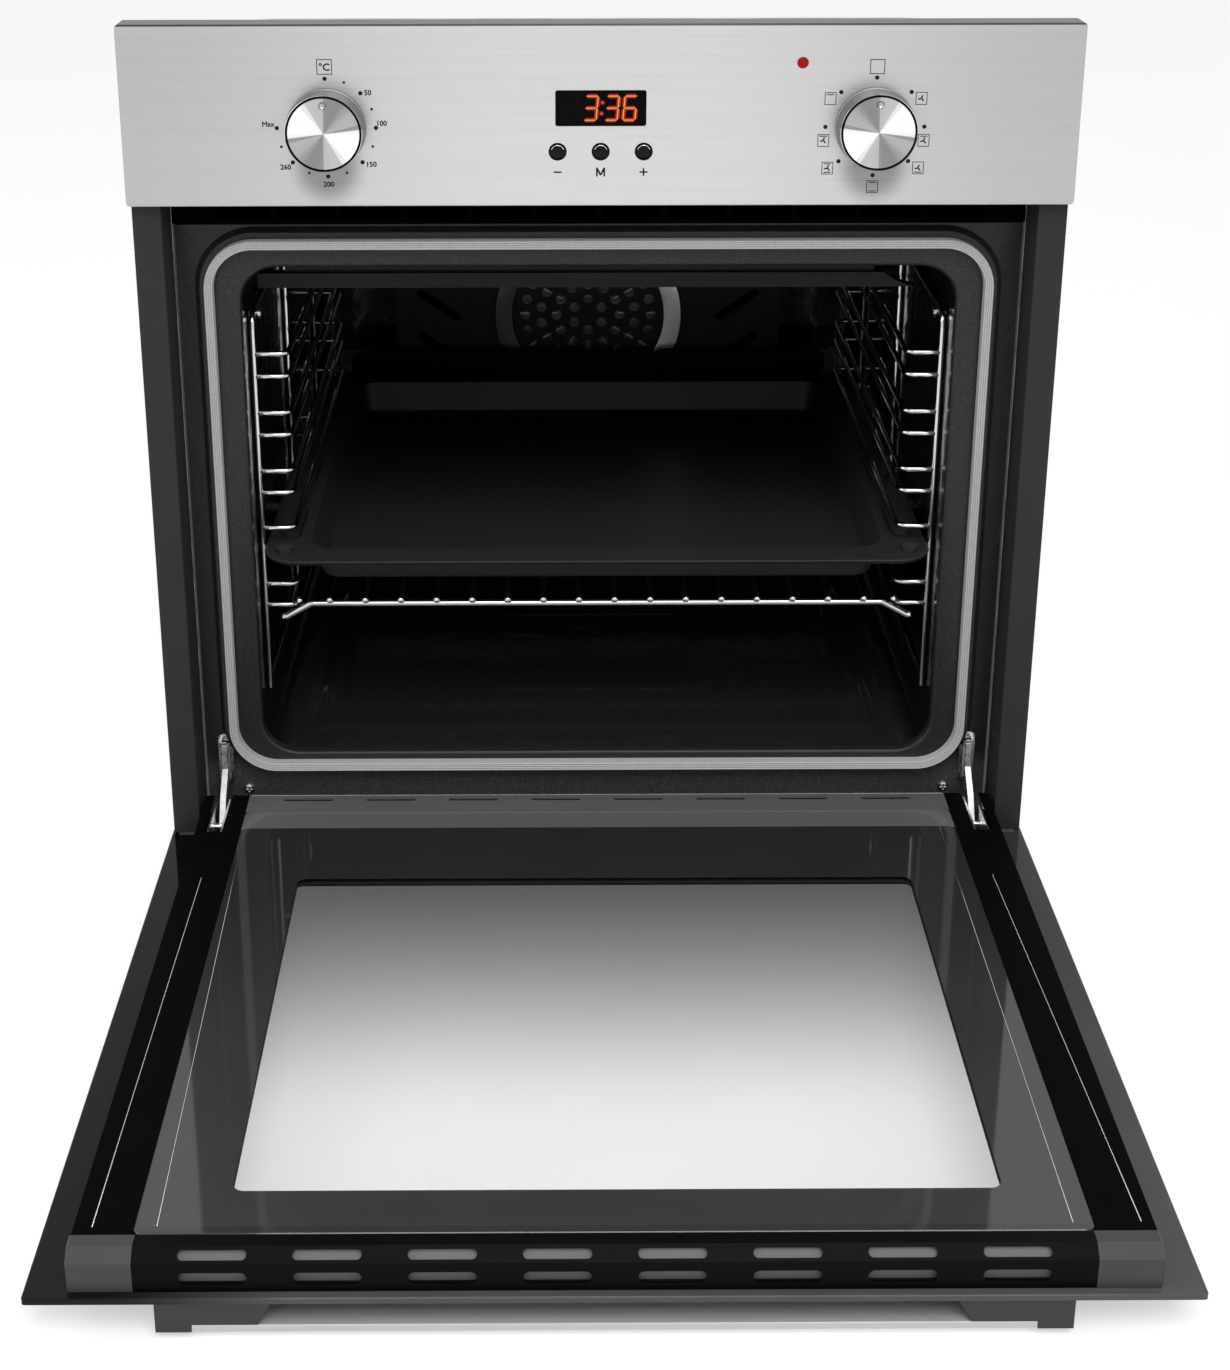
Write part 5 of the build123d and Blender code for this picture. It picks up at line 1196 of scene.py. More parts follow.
class Trade(Enum):
    """Every finish on the oven, by the name of what wears it."""

    # The panel's tone carries painted light: darker ends as a painted reflection, a painted shade along its
    # top edge and painted shadows below both knobs.
    PANEL = BrushedSteel("panel_steel", Grain.ALONG_X, 0.60, 0.34, 0.03, 0.24, painted_top_shade=(593.6, 594.2, 1.0, 0.1),
                         painted_shadows=((-170.0, 505.0, 10.0, 27.0, 0.5), (170.0, 505.0, 10.0, 27.0, 0.5)))
    HANDLE = BrushedSteel("handle_steel", Grain.ALONG_X, 0.62, 0.5, 0.03, 0.0, 300.0, 0.3)
    RAIL = SatinPaint("rail_black_steel", grey(0.003), 0.5, 0.01, 0.0, 0.01)
    BOTTOM_RAIL = SatinPaint("bottom_rail_steel", grey(0.13), 0.36, 0.01, 0.0, 0.4)
    WHEEL = BrushedSteel("wheel_steel", Grain.ALONG_Z, 0.26, 0.38, 0.03)
    # The ring is darker on its left: painted shade of its reflection.
    RING = BrightMetal("ring_steel", 0.6, 0.24, 0.03, painted_left_shade=(-60.0, 50.0, 0.12))
    PLATED = BrightMetal("zinc_plate", 0.66, 0.2, 0.12, 0.02)
    CHROME = BrightMetal("chromed_wire", 0.58, 0.08, 0.05)
    # The front enamel's bottom strip is painted about three times lighter, painted light against the door's
    # shadow.
    FRONT_ENAMEL = Enamel("flecked_front_enamel", 0.02, 0.3, 0.055, 0.12, 0.25, (57.0, 76.0, 3.2))
    # The cavity's floor is painted three times lighter than its walls: painted light on the floor.
    CAVITY_ENAMEL = Enamel("cavity_enamel", 0.006, 0.12, 0.004, 0.5, 0.4, (78.0, 84.0, 3.0))
    DEFLECTOR_ENAMEL = Enamel("deflector_enamel", 0.012, 0.3, 0.004, 0.3, 0.12)
    # The tray is painted lighter at its front and darker towards the back: painted light and shade.
    TRAY_ENAMEL = Enamel("tray_enamel", 0.017, 0.42, 0.003, 0.12, 0.2, deep=(60.0, 380.0, 1.9, 0.3))
    # A darker, duller copy of the tray's enamel for its raised back and rims: painted shade.
    LIP_ENAMEL = Enamel("lip_enamel", 0.0015, 0.4, 0.001, 0.12, 0.03)
    TRIM = SatinPaint("trim_paint", grey(0.034), 0.45, 0.012, 0.0, 0.12)
    # Near black with almost no shine: black plastic, with the outlet recess's shade painted in; on the duct
    # it is painted shade.
    OUTLET = SatinPaint("outlet_black", grey(0.001), 0.8, 0.002, 0.0, 0.02)
    ZINC = ZincSheet("zinc_sheet")
    SEAL = WovenSeal("door_seal", chip("cfcfd0"))
    WOOL = Fibre("mineral_wool")
    LENS = ClearGlass("lamp_lens", chip("d9dcd8"), 0.35)
    CERAMIC = SatinPaint("glazed_ceramic", chip("e4dfd2"), 0.25, 0.01)
    VENT_BLACK = SatinPaint("vent_black", grey(0.003), 0.35, 0.006, 0.0, 0.04)
    BAFFLE_GREY = SatinPaint("baffle_grey", grey(0.17), 0.5, 0.01)
    CAP_GREY = SatinPaint("cap_plastic", grey(0.06), 0.45, 0.012, 0.0, 0.25)
    DARK_PLASTIC = SatinPaint("dark_plastic", grey(0.012), 0.4, 0.012)
    GLOSS_BLACK = SatinPaint("gloss_black", grey(0.002), 0.18, 0.002, 0.0, 0.16)
    DISPLAY = SatinPaint("display_black", grey(0.002), 0.2, 0.001, 0.0, 0.04)
    RED_LAMP = Glow("red_lens", chip("cc1216"), 0.62, 0.004)
    HEATER = OxidisedTube("element_sheath")
    MOTOR = SatinPaint("motor_lacquer", chip("55565a"), 0.5, 0.03, 0.5)
    ALLOY = BrushedSteel("blower_alloy", Grain.ALONG_X, 0.58, 0.42, 0.03)
    INK = SatinPaint("dial_ink", grey(0.008), 0.5, 0.002, 0.0, 0.15)
    GROOVE = SatinPaint("groove_black", grey(0.003), 0.5, 0.002, 0.0, 0.05)
    # A darker copy of the knob's metal for its sides and skirt: painted shade.
    DIAL_SIDE = BrightMetal("dial_side", 0.24, 0.42, 0.05)
    # Bright metal for rods and arcs laid on as painted highlights.
    EDGE_GLINT = BrightMetal("painted_edge_glint", 0.85, 0.25, 0.02)
    SEGMENT_CORE = Glow("segment_core", chip("ffc45a"), 1.0)
    SEGMENT_BODY = Glow("segment_body", chip("e2300f"), 0.95, 0.004)
    SEGMENT_HALO = Glow("segment_halo", chip("7a0d0a"), 0.6)
    SEGMENT_OFF = SatinPaint("segment_off", chip("100809"), 0.4, 0.001, 0.0, 0.04)
    # The door glass carries painted light: painted shade towards the hinge and on the outer pane's left
    # margin, and print painted lighter towards the free edge.
    OUTER_GLASS = PrintedGlass(
        "outer_glass_print", (206.8, 152.0), (3.0, -225.2), 5.0,
        shade=0.5, tones=(0.05, 0.1), shine=0.12, painted_left_shade=(-262.0, -150.0, 0.08, 1.0),
    )
    INNER_GLASS = PrintedGlass(
        "inner_glass_print", (200.2, 148.1), (2.5, -256.1), 6.0, (250.0, 193.0), (0.0, -237.5),
    )

    @property
    def paint(self) -> bpy.types.Material:
        """The finish's material."""
        return self.value.material()


# ---------------------------------------------------------------- sub-assemblies
class SubAssembly:
    """Part of the oven that builds its new pieces and dresses its carried-over ones."""

    def fit(self, piece: bpy.types.Object, body: str, slot: str, *nodes: str) -> bpy.types.Object:
        """Hangs a new piece on its body.

        Args:
            piece: The piece.
            body: The body that carries it.
            slot: Name of a finish in the record; not used.
            nodes: The solids that it stands for.

        Returns:
            The piece.
        """
        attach(piece, body)
        if nodes:
            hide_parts(*nodes)
        LOG.info("%s: %d faces on %s", piece.name, len(piece.data.polygons), body)
        return piece

    def dress(self, finish: Trade, *nodes: str) -> None:
        """Gives carried-over pieces a finish.

        Args:
            finish: The finish.
            nodes: Names of the pieces.
        """
        for name in nodes:
            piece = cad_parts[name]
            if not piece.material_slots:
                piece.data.materials.append(finish.paint)
            for place in piece.material_slots:
                place.material = finish.paint
            LOG.info("%s: %s", name, finish.value.name)


@dataclass
class Casing(SubAssembly):
    """Sheet-metal body and what is bolted inside it."""

    def build(self) -> None:
        """Gives the sheets, ducts, motors and blocks their finishes."""
        self.dress(Trade.ZINC, "base_pan", "outer_casing", "rear_cover", "blower_housing")
        self.dress(Trade.WOOL, "insulation")
        self.dress(Trade.CERAMIC, "lamp_holder", "terminal_block")
        self.dress(Trade.MOTOR, "fan_motor", "blower_motor")
        self.dress(Trade.ALLOY, "blower_wheel")
        # Outlet and duct take painted shade: near black without shine, so the recess reads dark.
        self.dress(Trade.OUTLET, "air_outlet", "air_duct")
        self.dress(Trade.DARK_PLASTIC, "thermostat", "function_selector", "timer_module")
        self.dress(Trade.PLATED, "frame_screws", "thermostat_shaft", "selector_shaft")
        # The panel carrier takes the dark trim paint as a painted shade, the dark line above the panel; the
        # side trims are dark paint.
        self.dress(Trade.TRIM, "side_trims", "panel_carrier")


@dataclass
class FrontFrame(SubAssembly):
    """Enamelled front sheet with a stamped rim round the mouth."""

    half_width: float = 277.3
    low: float = 4.0
    high: float = 459.5
    face: float = 21.0
    back: float = 22.2
    flange_back: float = 36.0
    rim_face: float = 15.5
    rim_half: tuple = (261.7, 197.0)
    rim_radius: float = 37.5
    rim_middle: float = 258.45
    mouth_half: tuple = (234.5, 177.0)
    mouth_radius: float = 25.0
    mouth_middle: float = 254.5
    lip: float = 2.6
    slope: float = 3.0
    rim_bend: float = 1.5
    face_bend: float = 1.2
    edge_inset: tuple = (1.5, 0.5)
    edge_radii: tuple = (2.0, 2.5, 1.6)
    sheet: float = 1.0
    corner_steps: int = 14

    def rows(self) -> np.ndarray:
        """Rows of the frame's skin, from the mouth's rear edge round the rim to the side flange.

        Returns:
            Rows of half width, half height, corner radius, centre height and y.
        """
        mouth_w, mouth_h = self.mouth_half
        rim_w, rim_h = self.rim_half
        sheet_half = (self.high - self.low) / 2
        sheet_middle = (self.high + self.low) / 2
        rows = [(mouth_w, mouth_h, self.mouth_radius, self.mouth_middle, self.back)]
        for out, deep in arc((self.lip, self.rim_face + self.lip), self.lip, 180, 270, 6):
            rows.append((mouth_w + out, mouth_h + out, self.mouth_radius + out, self.mouth_middle, deep))
        crest = arc((-self.rim_bend, self.rim_face + self.rim_bend), self.rim_bend, 270, 350, 5)
        toe = arc((self.slope, self.face - self.face_bend), self.face_bend, 170, 90, 4)
        for out, deep in (*crest, *toe):
            rows.append((rim_w + out, rim_h + out, self.rim_radius + out, self.rim_middle, deep))
        (inset_x, inset_z), (near, outer, inner) = self.edge_inset, self.edge_radii
        inner_w, inner_h = self.half_width - self.sheet, sheet_half - self.sheet
        rows += [
            (self.half_width - inset_x, sheet_half - inset_z, near, sheet_middle, self.face),
            (self.half_width, sheet_half, outer, sheet_middle, self.face + self.face_bend),
            (self.half_width, sheet_half, outer, sheet_middle, self.flange_back),
            (inner_w, inner_h, inner, sheet_middle, self.flange_back),
            (inner_w, inner_h, inner, sheet_middle, self.back),
        ]
        return np.array(rows)

    def build(self) -> None:
        """Lofts the frame as one ring of skin through rounded rectangles."""
        rows = self.rows()
        flat = outline_rows(rows[:, 0], rows[:, 1], rows[:, 2], self.corner_steps)
        deep = np.broadcast_to(rows[:, 4:5], flat.shape[:2])
        grid = Facing.FRONT.place(flat[..., 0], flat[..., 1] + rows[:, 3:4], deep)
        piece = Shape("front_frame_sheet").loft(grid, True).build([Trade.FRONT_ENAMEL.paint])
        self.fit(piece, "housing", "enamel", "front_frame")


@dataclass
class DoorSeal(SubAssembly):
    """Seal round the mouth, with grooves along its face."""

    run: Frame = Frame(257.2, 192.45, 33.0, 258.45, Facing.FRONT, 20)
    band: float = 6.0
    front: float = 8.0
    back: float = 15.2
    groove: float = 0.8
    lobes: int = 4
    lobe_steps: int = 8
    margin: float = 0.15
    shoulder: float = 2.2
    crease: float = math.radians(60)

    def build(self) -> None:
        """Carries a section of four round lobes between two side walls round the mouth.

        Across the band each lobe's face is the front plus groove times one less the root of one
        less the squared distance from the lobe's middle.
        """
        across = np.linspace(0, 1, self.lobe_steps * self.lobes + 1)
        swing = 2 * np.mod(across * self.lobes, 1.0) - 1
        swing[-1] = 1.0
        face = self.front + self.groove * (1 - np.sqrt(np.clip(1 - swing ** 2, 0, 1)))
        lobes = np.stack([self.margin + across * (self.band - 2 * self.margin), face], -1)
        start = self.front + self.shoulder
        walls = np.array([[self.band, start], [self.band, self.back], [0, self.back], [0, start]])
        grid = self.run.carry(np.concatenate([lobes, walls]))
        piece = Shape("woven_seal").loft(grid, True).build([Trade.SEAL.paint], self.crease)
        self.fit(piece, "housing", "seal", "door_gasket")


@dataclass
class Cavity(SubAssembly):
    """Enamelled oven cavity with its stamped floor."""

    tube: Frame = Frame(234.5, 177.0, 25.0, 254.5, Facing.FRONT, 16)
    front: float = 22.5
    rear: float = 450.0
    sheet: float = 1.2
    flange: float = 12.0
    cove: float = 14.0
    floor: float = 77.5
    pad: tuple = (203.0, 181.5)
    pad_middle: float = 228.5
    bead: tuple = (183.0, 146.5)
    bead_middle: float = 231.5
    boss: tuple = (76.0, 67.5)
    boss_middle: float = 172.5
    rise: tuple = (1.2, 1.2, 0.9)
    lap: float = 0.2
    mouth_run: float = 60.0
    bends: tuple = (10, 16, 14)
    step: float = 5.0
    bead_edge: tuple = (0.5, 4.5)
    border: float = 2.0
    grid: tuple = (150, 140)
    above: float = 0.02
    below: float = 0.5

    def walls(self) -> Shape:
        """Carries the sheet's section round the mouth: wall, rear cove, and front flange.

        Returns:
            The shell without its stamped floor.
        """
        cove = arc((self.cove, self.rear - self.cove), self.cove, 180, 90, 8)
        outside = [
            [self.cove, self.rear + self.lap],
            [-self.sheet, self.rear + self.lap],
            [-self.sheet, self.front + self.sheet],
            [-self.flange, self.front + self.sheet],
            [-self.flange, self.front],
        ]
        section = np.concatenate([[[0, self.front], [0, self.front + self.mouth_run]], cove, outside])
        return Shape("cavity_shell").loft(self.tube.carry(section), True)

    def pressing(self, shape: Shape) -> None:
        """Adds the stamped floor as a height over x and y.

        The height is the pad's eased step, plus a rounded bead along the bead's outline, plus the
        boss's eased step.

        Args:
            shape: The shape that takes it.
        """
        half_x, half_y = self.pad[0] + self.border, self.pad[1] + self.border
        x = np.linspace(-half_x, half_x, self.grid[0])
        y = np.linspace(self.pad_middle - half_y, self.pad_middle + half_y, self.grid[1])
        across, along = np.meshgrid(x, y, indexing="ij")
        halves = (self.pad, self.bead, self.boss)
        middles = (self.pad_middle, self.bead_middle, self.boss_middle)
        outlines = zip(halves, middles, self.bends)
        pad, bead, boss = (inside_depth(across, along, *outline) for outline in outlines)
        pad, boss = smoothstep(pad, 0, self.step), smoothstep(boss, 0, self.step)
        bead = 1 - smoothstep(np.abs(bead), *self.bead_edge)
        height = self.floor + self.above + self.rise[0] * pad + self.rise[1] * bead + self.rise[2] * boss
        top = np.stack([across, along, height], -1)
        low = top.copy()
        low[..., 2] = self.floor - self.below
        count_x, count_y = across.shape
        size = count_x * count_y
        rim = np.concatenate([
            np.arange(count_y),
            np.arange(2 * count_y - 1, size, count_y),
            np.arange(size - 2, size - count_y - 1, -1),
            np.arange(size - 2 * count_y, 0, -count_y),
        ])
        follow = np.roll(rim, -1)
        wall = np.stack([rim, follow, follow + size, rim + size], -1)
        points = np.concatenate([top.reshape(-1, 3), low.reshape(-1, 3)])
        used = np.concatenate([np.arange(size), rim + size])
        renumber = np.zeros(2 * size, int)
        renumber[used] = np.arange(len(used))
        faces = [quads(count_x, count_y, False, False), renumber[wall], renumber[(rim + size)][None]]
        shape.add(points[used], faces)

    def build(self) -> None:
        """Builds the shell with its floor and dresses the rear wall."""
        shape = self.walls()
        self.pressing(shape)
        self.fit(shape.build([Trade.CAVITY_ENAMEL.paint]), "housing", "enamel", "cavity_liner")
        self.dress(Trade.CAVITY_ENAMEL, "cavity_back")
        self.dress(Trade.DEFLECTOR_ENAMEL, "top_deflector")


@dataclass
class HotAir(SubAssembly):
    """Perforated fan cover with its bright ring, the fan, elements and the lamp."""

    fan_z: float = 275.0
    ring: tuple = (64.5, 80.5)
    ring_y: tuple = (421.0, 423.7)
    ring_bend: float = 1.2
    grill_z: float = 416.5
    grill_r: float = 3.25
    grill_bend: float = 18.0
    grill_half: tuple = ((25, 472), (25, 150), (105, 150), (105, 385), (185, 385), (185, 78))
    lamp: tuple = (202.0, 392.0)
    lamp_r: float = 22.0
    lamp_y: tuple = (435.0, 449.7)
    dome_reach: tuple = (0.03, 0.86)
    dome_rise: float = 4.5
    ripple: tuple = (0.35, 22)
    collar: tuple = ((20.2, 8.5), (21.2, 7.8), (22.0, 6.8), (22.0, 0.0), (0.6, 0.0))

    def build_ring(self) -> None:
        """Turns the ring from a section with rounded front edges."""
        inner, outer = self.ring
        front, back = self.ring_y
        bend = self.ring_bend
        section = np.concatenate([
            [[inner, back]],
            arc((inner + bend, front + bend), bend, 180, 270, 6),
            arc((outer - bend, front + bend), bend, 270, 360, 6),
            [[outer, back]],
        ])
        grid = turned(section, (0.0, self.fan_z), 128)
        piece = Shape("fan_cover_ring").loft(grid, True).build([Trade.RING.paint])
        self.fit(piece, "housing", "brushed_steel", "fan_ring")

    def build_grill(self) -> None:
        """Bends the grill element from one tube, both ends through the rear wall."""
        path = bent(both_sides([(x, y, self.grill_z) for x, y in self.grill_half]), self.grill_bend, 10)
        piece = Shape("grill_tube").wire(path, self.grill_r, (0, 0, 1), 20).build([Trade.HEATER.paint])
        self.fit(piece, "housing", "heater_tube", "grill_element")

    def build_lamp(self) -> None:
        """Turns the lamp's glass cap: a collar and a domed front with three pressed rings.

        The dome's y is the front plus its rise times the square of the share of its radius, with
        a small cosine ripple.
        """
        front, back = self.lamp_y
        share = np.linspace(*self.dome_reach, 22)
        height, waves = self.ripple
        swell = self.dome_rise * share ** 2 + height * np.cos(share * waves)
        dome = np.stack([self.lamp_r * share, front + swell], -1)
        collar = np.array([[radius, back - ahead] for radius, ahead in self.collar])
        shape = Shape("lamp_cap").lathe(np.concatenate([dome, collar]), self.lamp, 72)
        piece = shape.build([Trade.LENS.paint])
        self.fit(piece, "housing", "lamp_glass", "lamp_glass")

    def build(self) -> None:
        """Builds the ring, grill and lamp, and dresses the fan group."""
        self.build_ring()
        self.build_grill()
        self.build_lamp()
        self.dress(Trade.DEFLECTOR_ENAMEL, "fan_baffle")
        self.dress(Trade.WHEEL, "fan_wheel")
        self.dress(Trade.HEATER, "bottom_element", "ring_element")


@dataclass
class SideRacks(SubAssembly):
    """Chromed racks that hang on both side walls."""

    wall: float = 232.2
    rung: float = 209.0
    front: float = 45.0
    rear: float = 392.0
    foot: float = 112.0
    top: float = 392.0
    wire: float = 2.0
    lowest: float = 178.0
    pitch: float = 42.25
    lift: float = 16.0
    levels: int = 5
    bar_rise: float = 6.0
    frame_bend: float = 12.0
    rung_bend: float = 7.0

    def build(self) -> None:
        """Bends the frame, its bars and a pair of rungs for each level, then adds the twin."""
        shape = Shape("rack_pair")
        front, rear, wall = self.front, self.rear, self.wall
        corners = [(front, self.foot), (front, self.top), (rear, self.top), (rear, self.foot)]
        frame_path = bent([(-wall, y, z) for y, z in corners], self.frame_bend, 8)
        bar, middle = self.foot + self.bar_rise, (front + rear) / 2
        cross = np.array([(-wall, front, bar), (-wall, rear, bar)])
        post = np.array([(-wall, middle, bar), (-wall, middle, self.top)])
        for path in (frame_path, cross, post):
            shape.wire(path, self.wire, (1, 0, 0))
        ends = [(wall, front), (self.rung, front), (self.rung, rear), (wall, rear)]
        for level in range(self.levels):
            for lift in (0, self.lift):
                z = self.lowest + level * self.pitch + lift
                shape.wire(bent([(-x, y, z) for x, y in ends], self.rung_bend), self.wire, (0, 0, 1))
        self.fit(shape.mirrored().build([Trade.CHROME.paint]), "housing", "chromed_wire", "side_racks")
        self.dress(Trade.PLATED, "rack_pegs")


@dataclass
class BakingTray(SubAssembly):
    """Enamelled tray: beaded flange with long slots, tapered well, raised back."""

    plan: Frame = Frame(229.5, 202.0, 24.0, 211.5, Facing.PLAN, 14)
    well: Frame = Frame(201.0, 180.5, 22.0, 217.0, Facing.PLAN, 14)
    low: float = 222.55
    sheet: float = 1.0
    bead: float = 1.6
    depth: float = 26.0
    taper: float = 18.0
    slot_x: float = 215.25
    slot_y: tuple = (83.5, 189.5)
    slot_half: tuple = (7.0, 28.0)
    hole_y: float = 29.5
    hole_r: float = 5.5
    lip_half: float = 203.0
    lip_high: float = 22.0
    lip_y: tuple = (410.3, 411.9)
    lip_sunk: float = 2.0
    lip_corner: float = 6.0
    mouth_bend: float = 3.0
    foot_bend: float = 5.0
    cut: tuple = (3.0, 6.0)
    slot_roll: float = 0.75
    hole_roll: float = 0.7

    def sheet_rows(self) -> np.ndarray:
        """Skin of the sheet: over the beaded edge, in to the well, down it and back underneath.

        Returns:
            Grid of points, its first row the middle of the well's top and its last row underneath.
        """
        top = self.low + self.sheet
        bead_z = self.low + self.bead
        over = arc((self.bead, bead_z), self.bead, 30, 270, 14)
        over[:, 0] = 2 * self.bead - over[:, 0]
        rim = self.plan.carry(over)
        slope = math.tan(math.radians(self.taper))
        floor_top = self.low - self.depth + 2 * self.sheet
        mouth = self.mouth_bend
        lip_in = arc((mouth, top - mouth), mouth, 90 + self.taper, 90, 6)[::-1]
        lip_in[:, 0] = 2 * mouth - lip_in[:, 0] - mouth
        reach = self.depth * slope
        bend = self.foot_bend
        foot = arc((reach + bend, floor_top + bend), bend, 180 + self.taper, 270, 7)
        above = self.well.carry(np.concatenate([lip_in, foot]))
        under_shift = np.array([-self.sheet, -self.sheet])
        under = self.well.carry((np.concatenate([lip_in, foot]) + under_shift)[::-1])
        return np.concatenate([above[::-1], rim, under[::-1]])

    def slot_outline(self) -> np.ndarray:
        """Outline of one slot about its own middle."""
        half_width, half_length = self.slot_half
        return rounded(half_width, half_length, half_width, 10)

    def build(self) -> None:
        """Builds the sheet, cuts its slots and holes, and adds the slots' rims and the raised back."""
        shape = Shape("tray_sheet").loft(self.sheet_rows())
        tray = shape.build([Trade.TRAY_ENAMEL.paint])
        cutter = Shape("tray_cutter")
        slot, hole = self.slot_outline(), rounded(self.hole_r, self.hole_r, self.hole_r, 8)
        low, high = self.low - self.cut[0], self.low + self.cut[1]
        for side in (-1, 1):
            for y in self.slot_y:
                cutter.prism(slot + (side * self.slot_x, y), low, high, Facing.PLAN)
            cutter.prism(hole + (side * self.slot_x, self.hole_y), low, high, Facing.PLAN)
        cut = cutter.build([Trade.TRAY_ENAMEL.paint])
        piece = carve(tray, cut, "baking_tray_sheet")
        self.fit(piece, "tray", "enamel", "baking_tray")
        self.build_edges()

    def roll(self, shape: Shape, flat: np.ndarray, radius: float) -> None:
        """Adds a rolled rim to the shape, along an outline on the flange's top."""
        level = np.full(len(flat), self.low + self.sheet)
        shape.wire(np.column_stack([flat, level]), radius, (0, 0, 1), 10, True)

    def build_edges(self) -> None:
        """Adds rolled rims round the slots and holes, and the raised lip along the back."""
        shape = Shape("tray_edges")
        top = self.low + self.sheet
        for side in (-1, 1):
            for y in self.slot_y:
                self.roll(shape, self.slot_outline() + (side * self.slot_x, y), self.slot_roll)
            hole = arc((side * self.slot_x, self.hole_y), self.hole_r, 0, 350, 36)
            self.roll(shape, hole, self.hole_roll)
        half_high, middle = (self.lip_high + self.lip_sunk) / 2, top + self.lip_high / 2
        lip = Frame(self.lip_half, half_high, self.lip_corner, middle, Facing.FRONT, 8)
        front, back = self.lip_y
        half = (back - front) / 2
        edge = arc((half, (front + back) / 2), half, 270, 90, 7)
        edge[:, 0] = half - np.abs(edge[:, 0] - half)
        shape.loft(lip.carry(edge))
        # The lip and rims wear the darker enamel, painted shade.
        self.fit(shape.build([Trade.LIP_ENAMEL.paint]), "tray", "enamel")


def carve(body: bpy.types.Object, cutter: bpy.types.Object, name: str) -> bpy.types.Object:
    """Cuts one closed shape out of another and keeps the result as a plain mesh.

    Args:
        body: The shape that is cut.
        cutter: The shape that cuts; it is removed.
        name: Name of the result.

    Returns:
        The cut piece.
    """
    change = body.modifiers.new("cut", "BOOLEAN")
    change.operation, change.solver, change.object = "DIFFERENCE", "EXACT", cutter
    settled = body.evaluated_get(bpy.context.evaluated_depsgraph_get())
    mesh = bpy.data.meshes.new_from_object(settled)
    mesh.name = name
    for old in (body, cutter):
        bpy.data.objects.remove(old)
    smooth(mesh, SHARP)
    return linked(name, mesh)


@dataclass
class WireShelf(SubAssembly):
    """Chromed shelf: bent front wire, side wires, raised back stop and sixteen cross rods."""

    z: float = 183.3
    wire: float = 3.0
    front_wire: float = 2.3
    front: float = 35.0
    rear: float = 400.0
    half: float = 208.0
    end_x: float = 217.0
    end_drop: float = 10.0
    end_run: float = 18.0
    stop_half: float = 198.0
    stop_high: float = 9.5
    rod: float = 1.8
    rods: int = 16
    pitch: float = 24.8
    stub: float = 4.0
    front_bend: float = 4.0
    side_bend: float = 6.0
    stop_extra: float = 0.6
    rod_sunk: float = 0.8
    ball_extra: float = 0.7

    def build(self) -> None:
        """Bends the outer wires and lays the rods, each with a ball at its front end."""
        shape = Shape("shelf_grid")
        low, start = self.z - self.end_drop, self.end_x - self.end_run
        reach = ((self.end_x + self.stub, low), (self.end_x, low), (start, self.z))
        ends = [(x, self.front, z) for x, z in reach]
        side = [(self.half, self.front + 2, self.z), (self.half, self.rear, self.z)]
        stop = [(self.stop_half, self.rear, self.z), (self.stop_half, self.rear, self.z + self.stop_high)]
        wires = (
            (ends, self.front_bend, self.front_wire, (0, 1, 0), 16),
            (side, self.side_bend, self.wire, (0, 0, 1), 16),
            (stop, self.side_bend, self.rod + self.stop_extra, (0, 1, 0), 14),
        )
        for points, bend, radius, normal, sides in wires:
            shape.wire(bent(both_sides(points), bend), radius, normal, sides)
        middle = (self.front + self.rear) / 2
        bar = np.array([(-self.half, middle, self.z), (self.half, middle, self.z)], float)
        shape.wire(bar, self.wire, (0, 0, 1), 14)
        rod_z = self.z + self.wire + self.rod - self.rod_sunk
        ball = self.rod + self.ball_extra
        turn = np.radians(np.linspace(8, 140, 9))
        head = np.column_stack([ball * np.sin(turn), self.front - self.wire - ball * np.cos(turn)])
        tail = [[self.rod, self.front + 1.5], [self.rod, self.rear + 1.0], [0.9, self.rear + 1.6]]
        profile = np.concatenate([head, tail])
        for k in range(self.rods):
            x = (k - (self.rods - 1) / 2) * self.pitch
            shape.lathe(profile, (x, rod_z), 14)
        self.fit(shape.build([Trade.CHROME.paint]), "shelf", "chromed_wire", "wire_shelf")


class Side(Enum):
    """Which of the two dials."""

    LEFT = -1
    RIGHT = 1


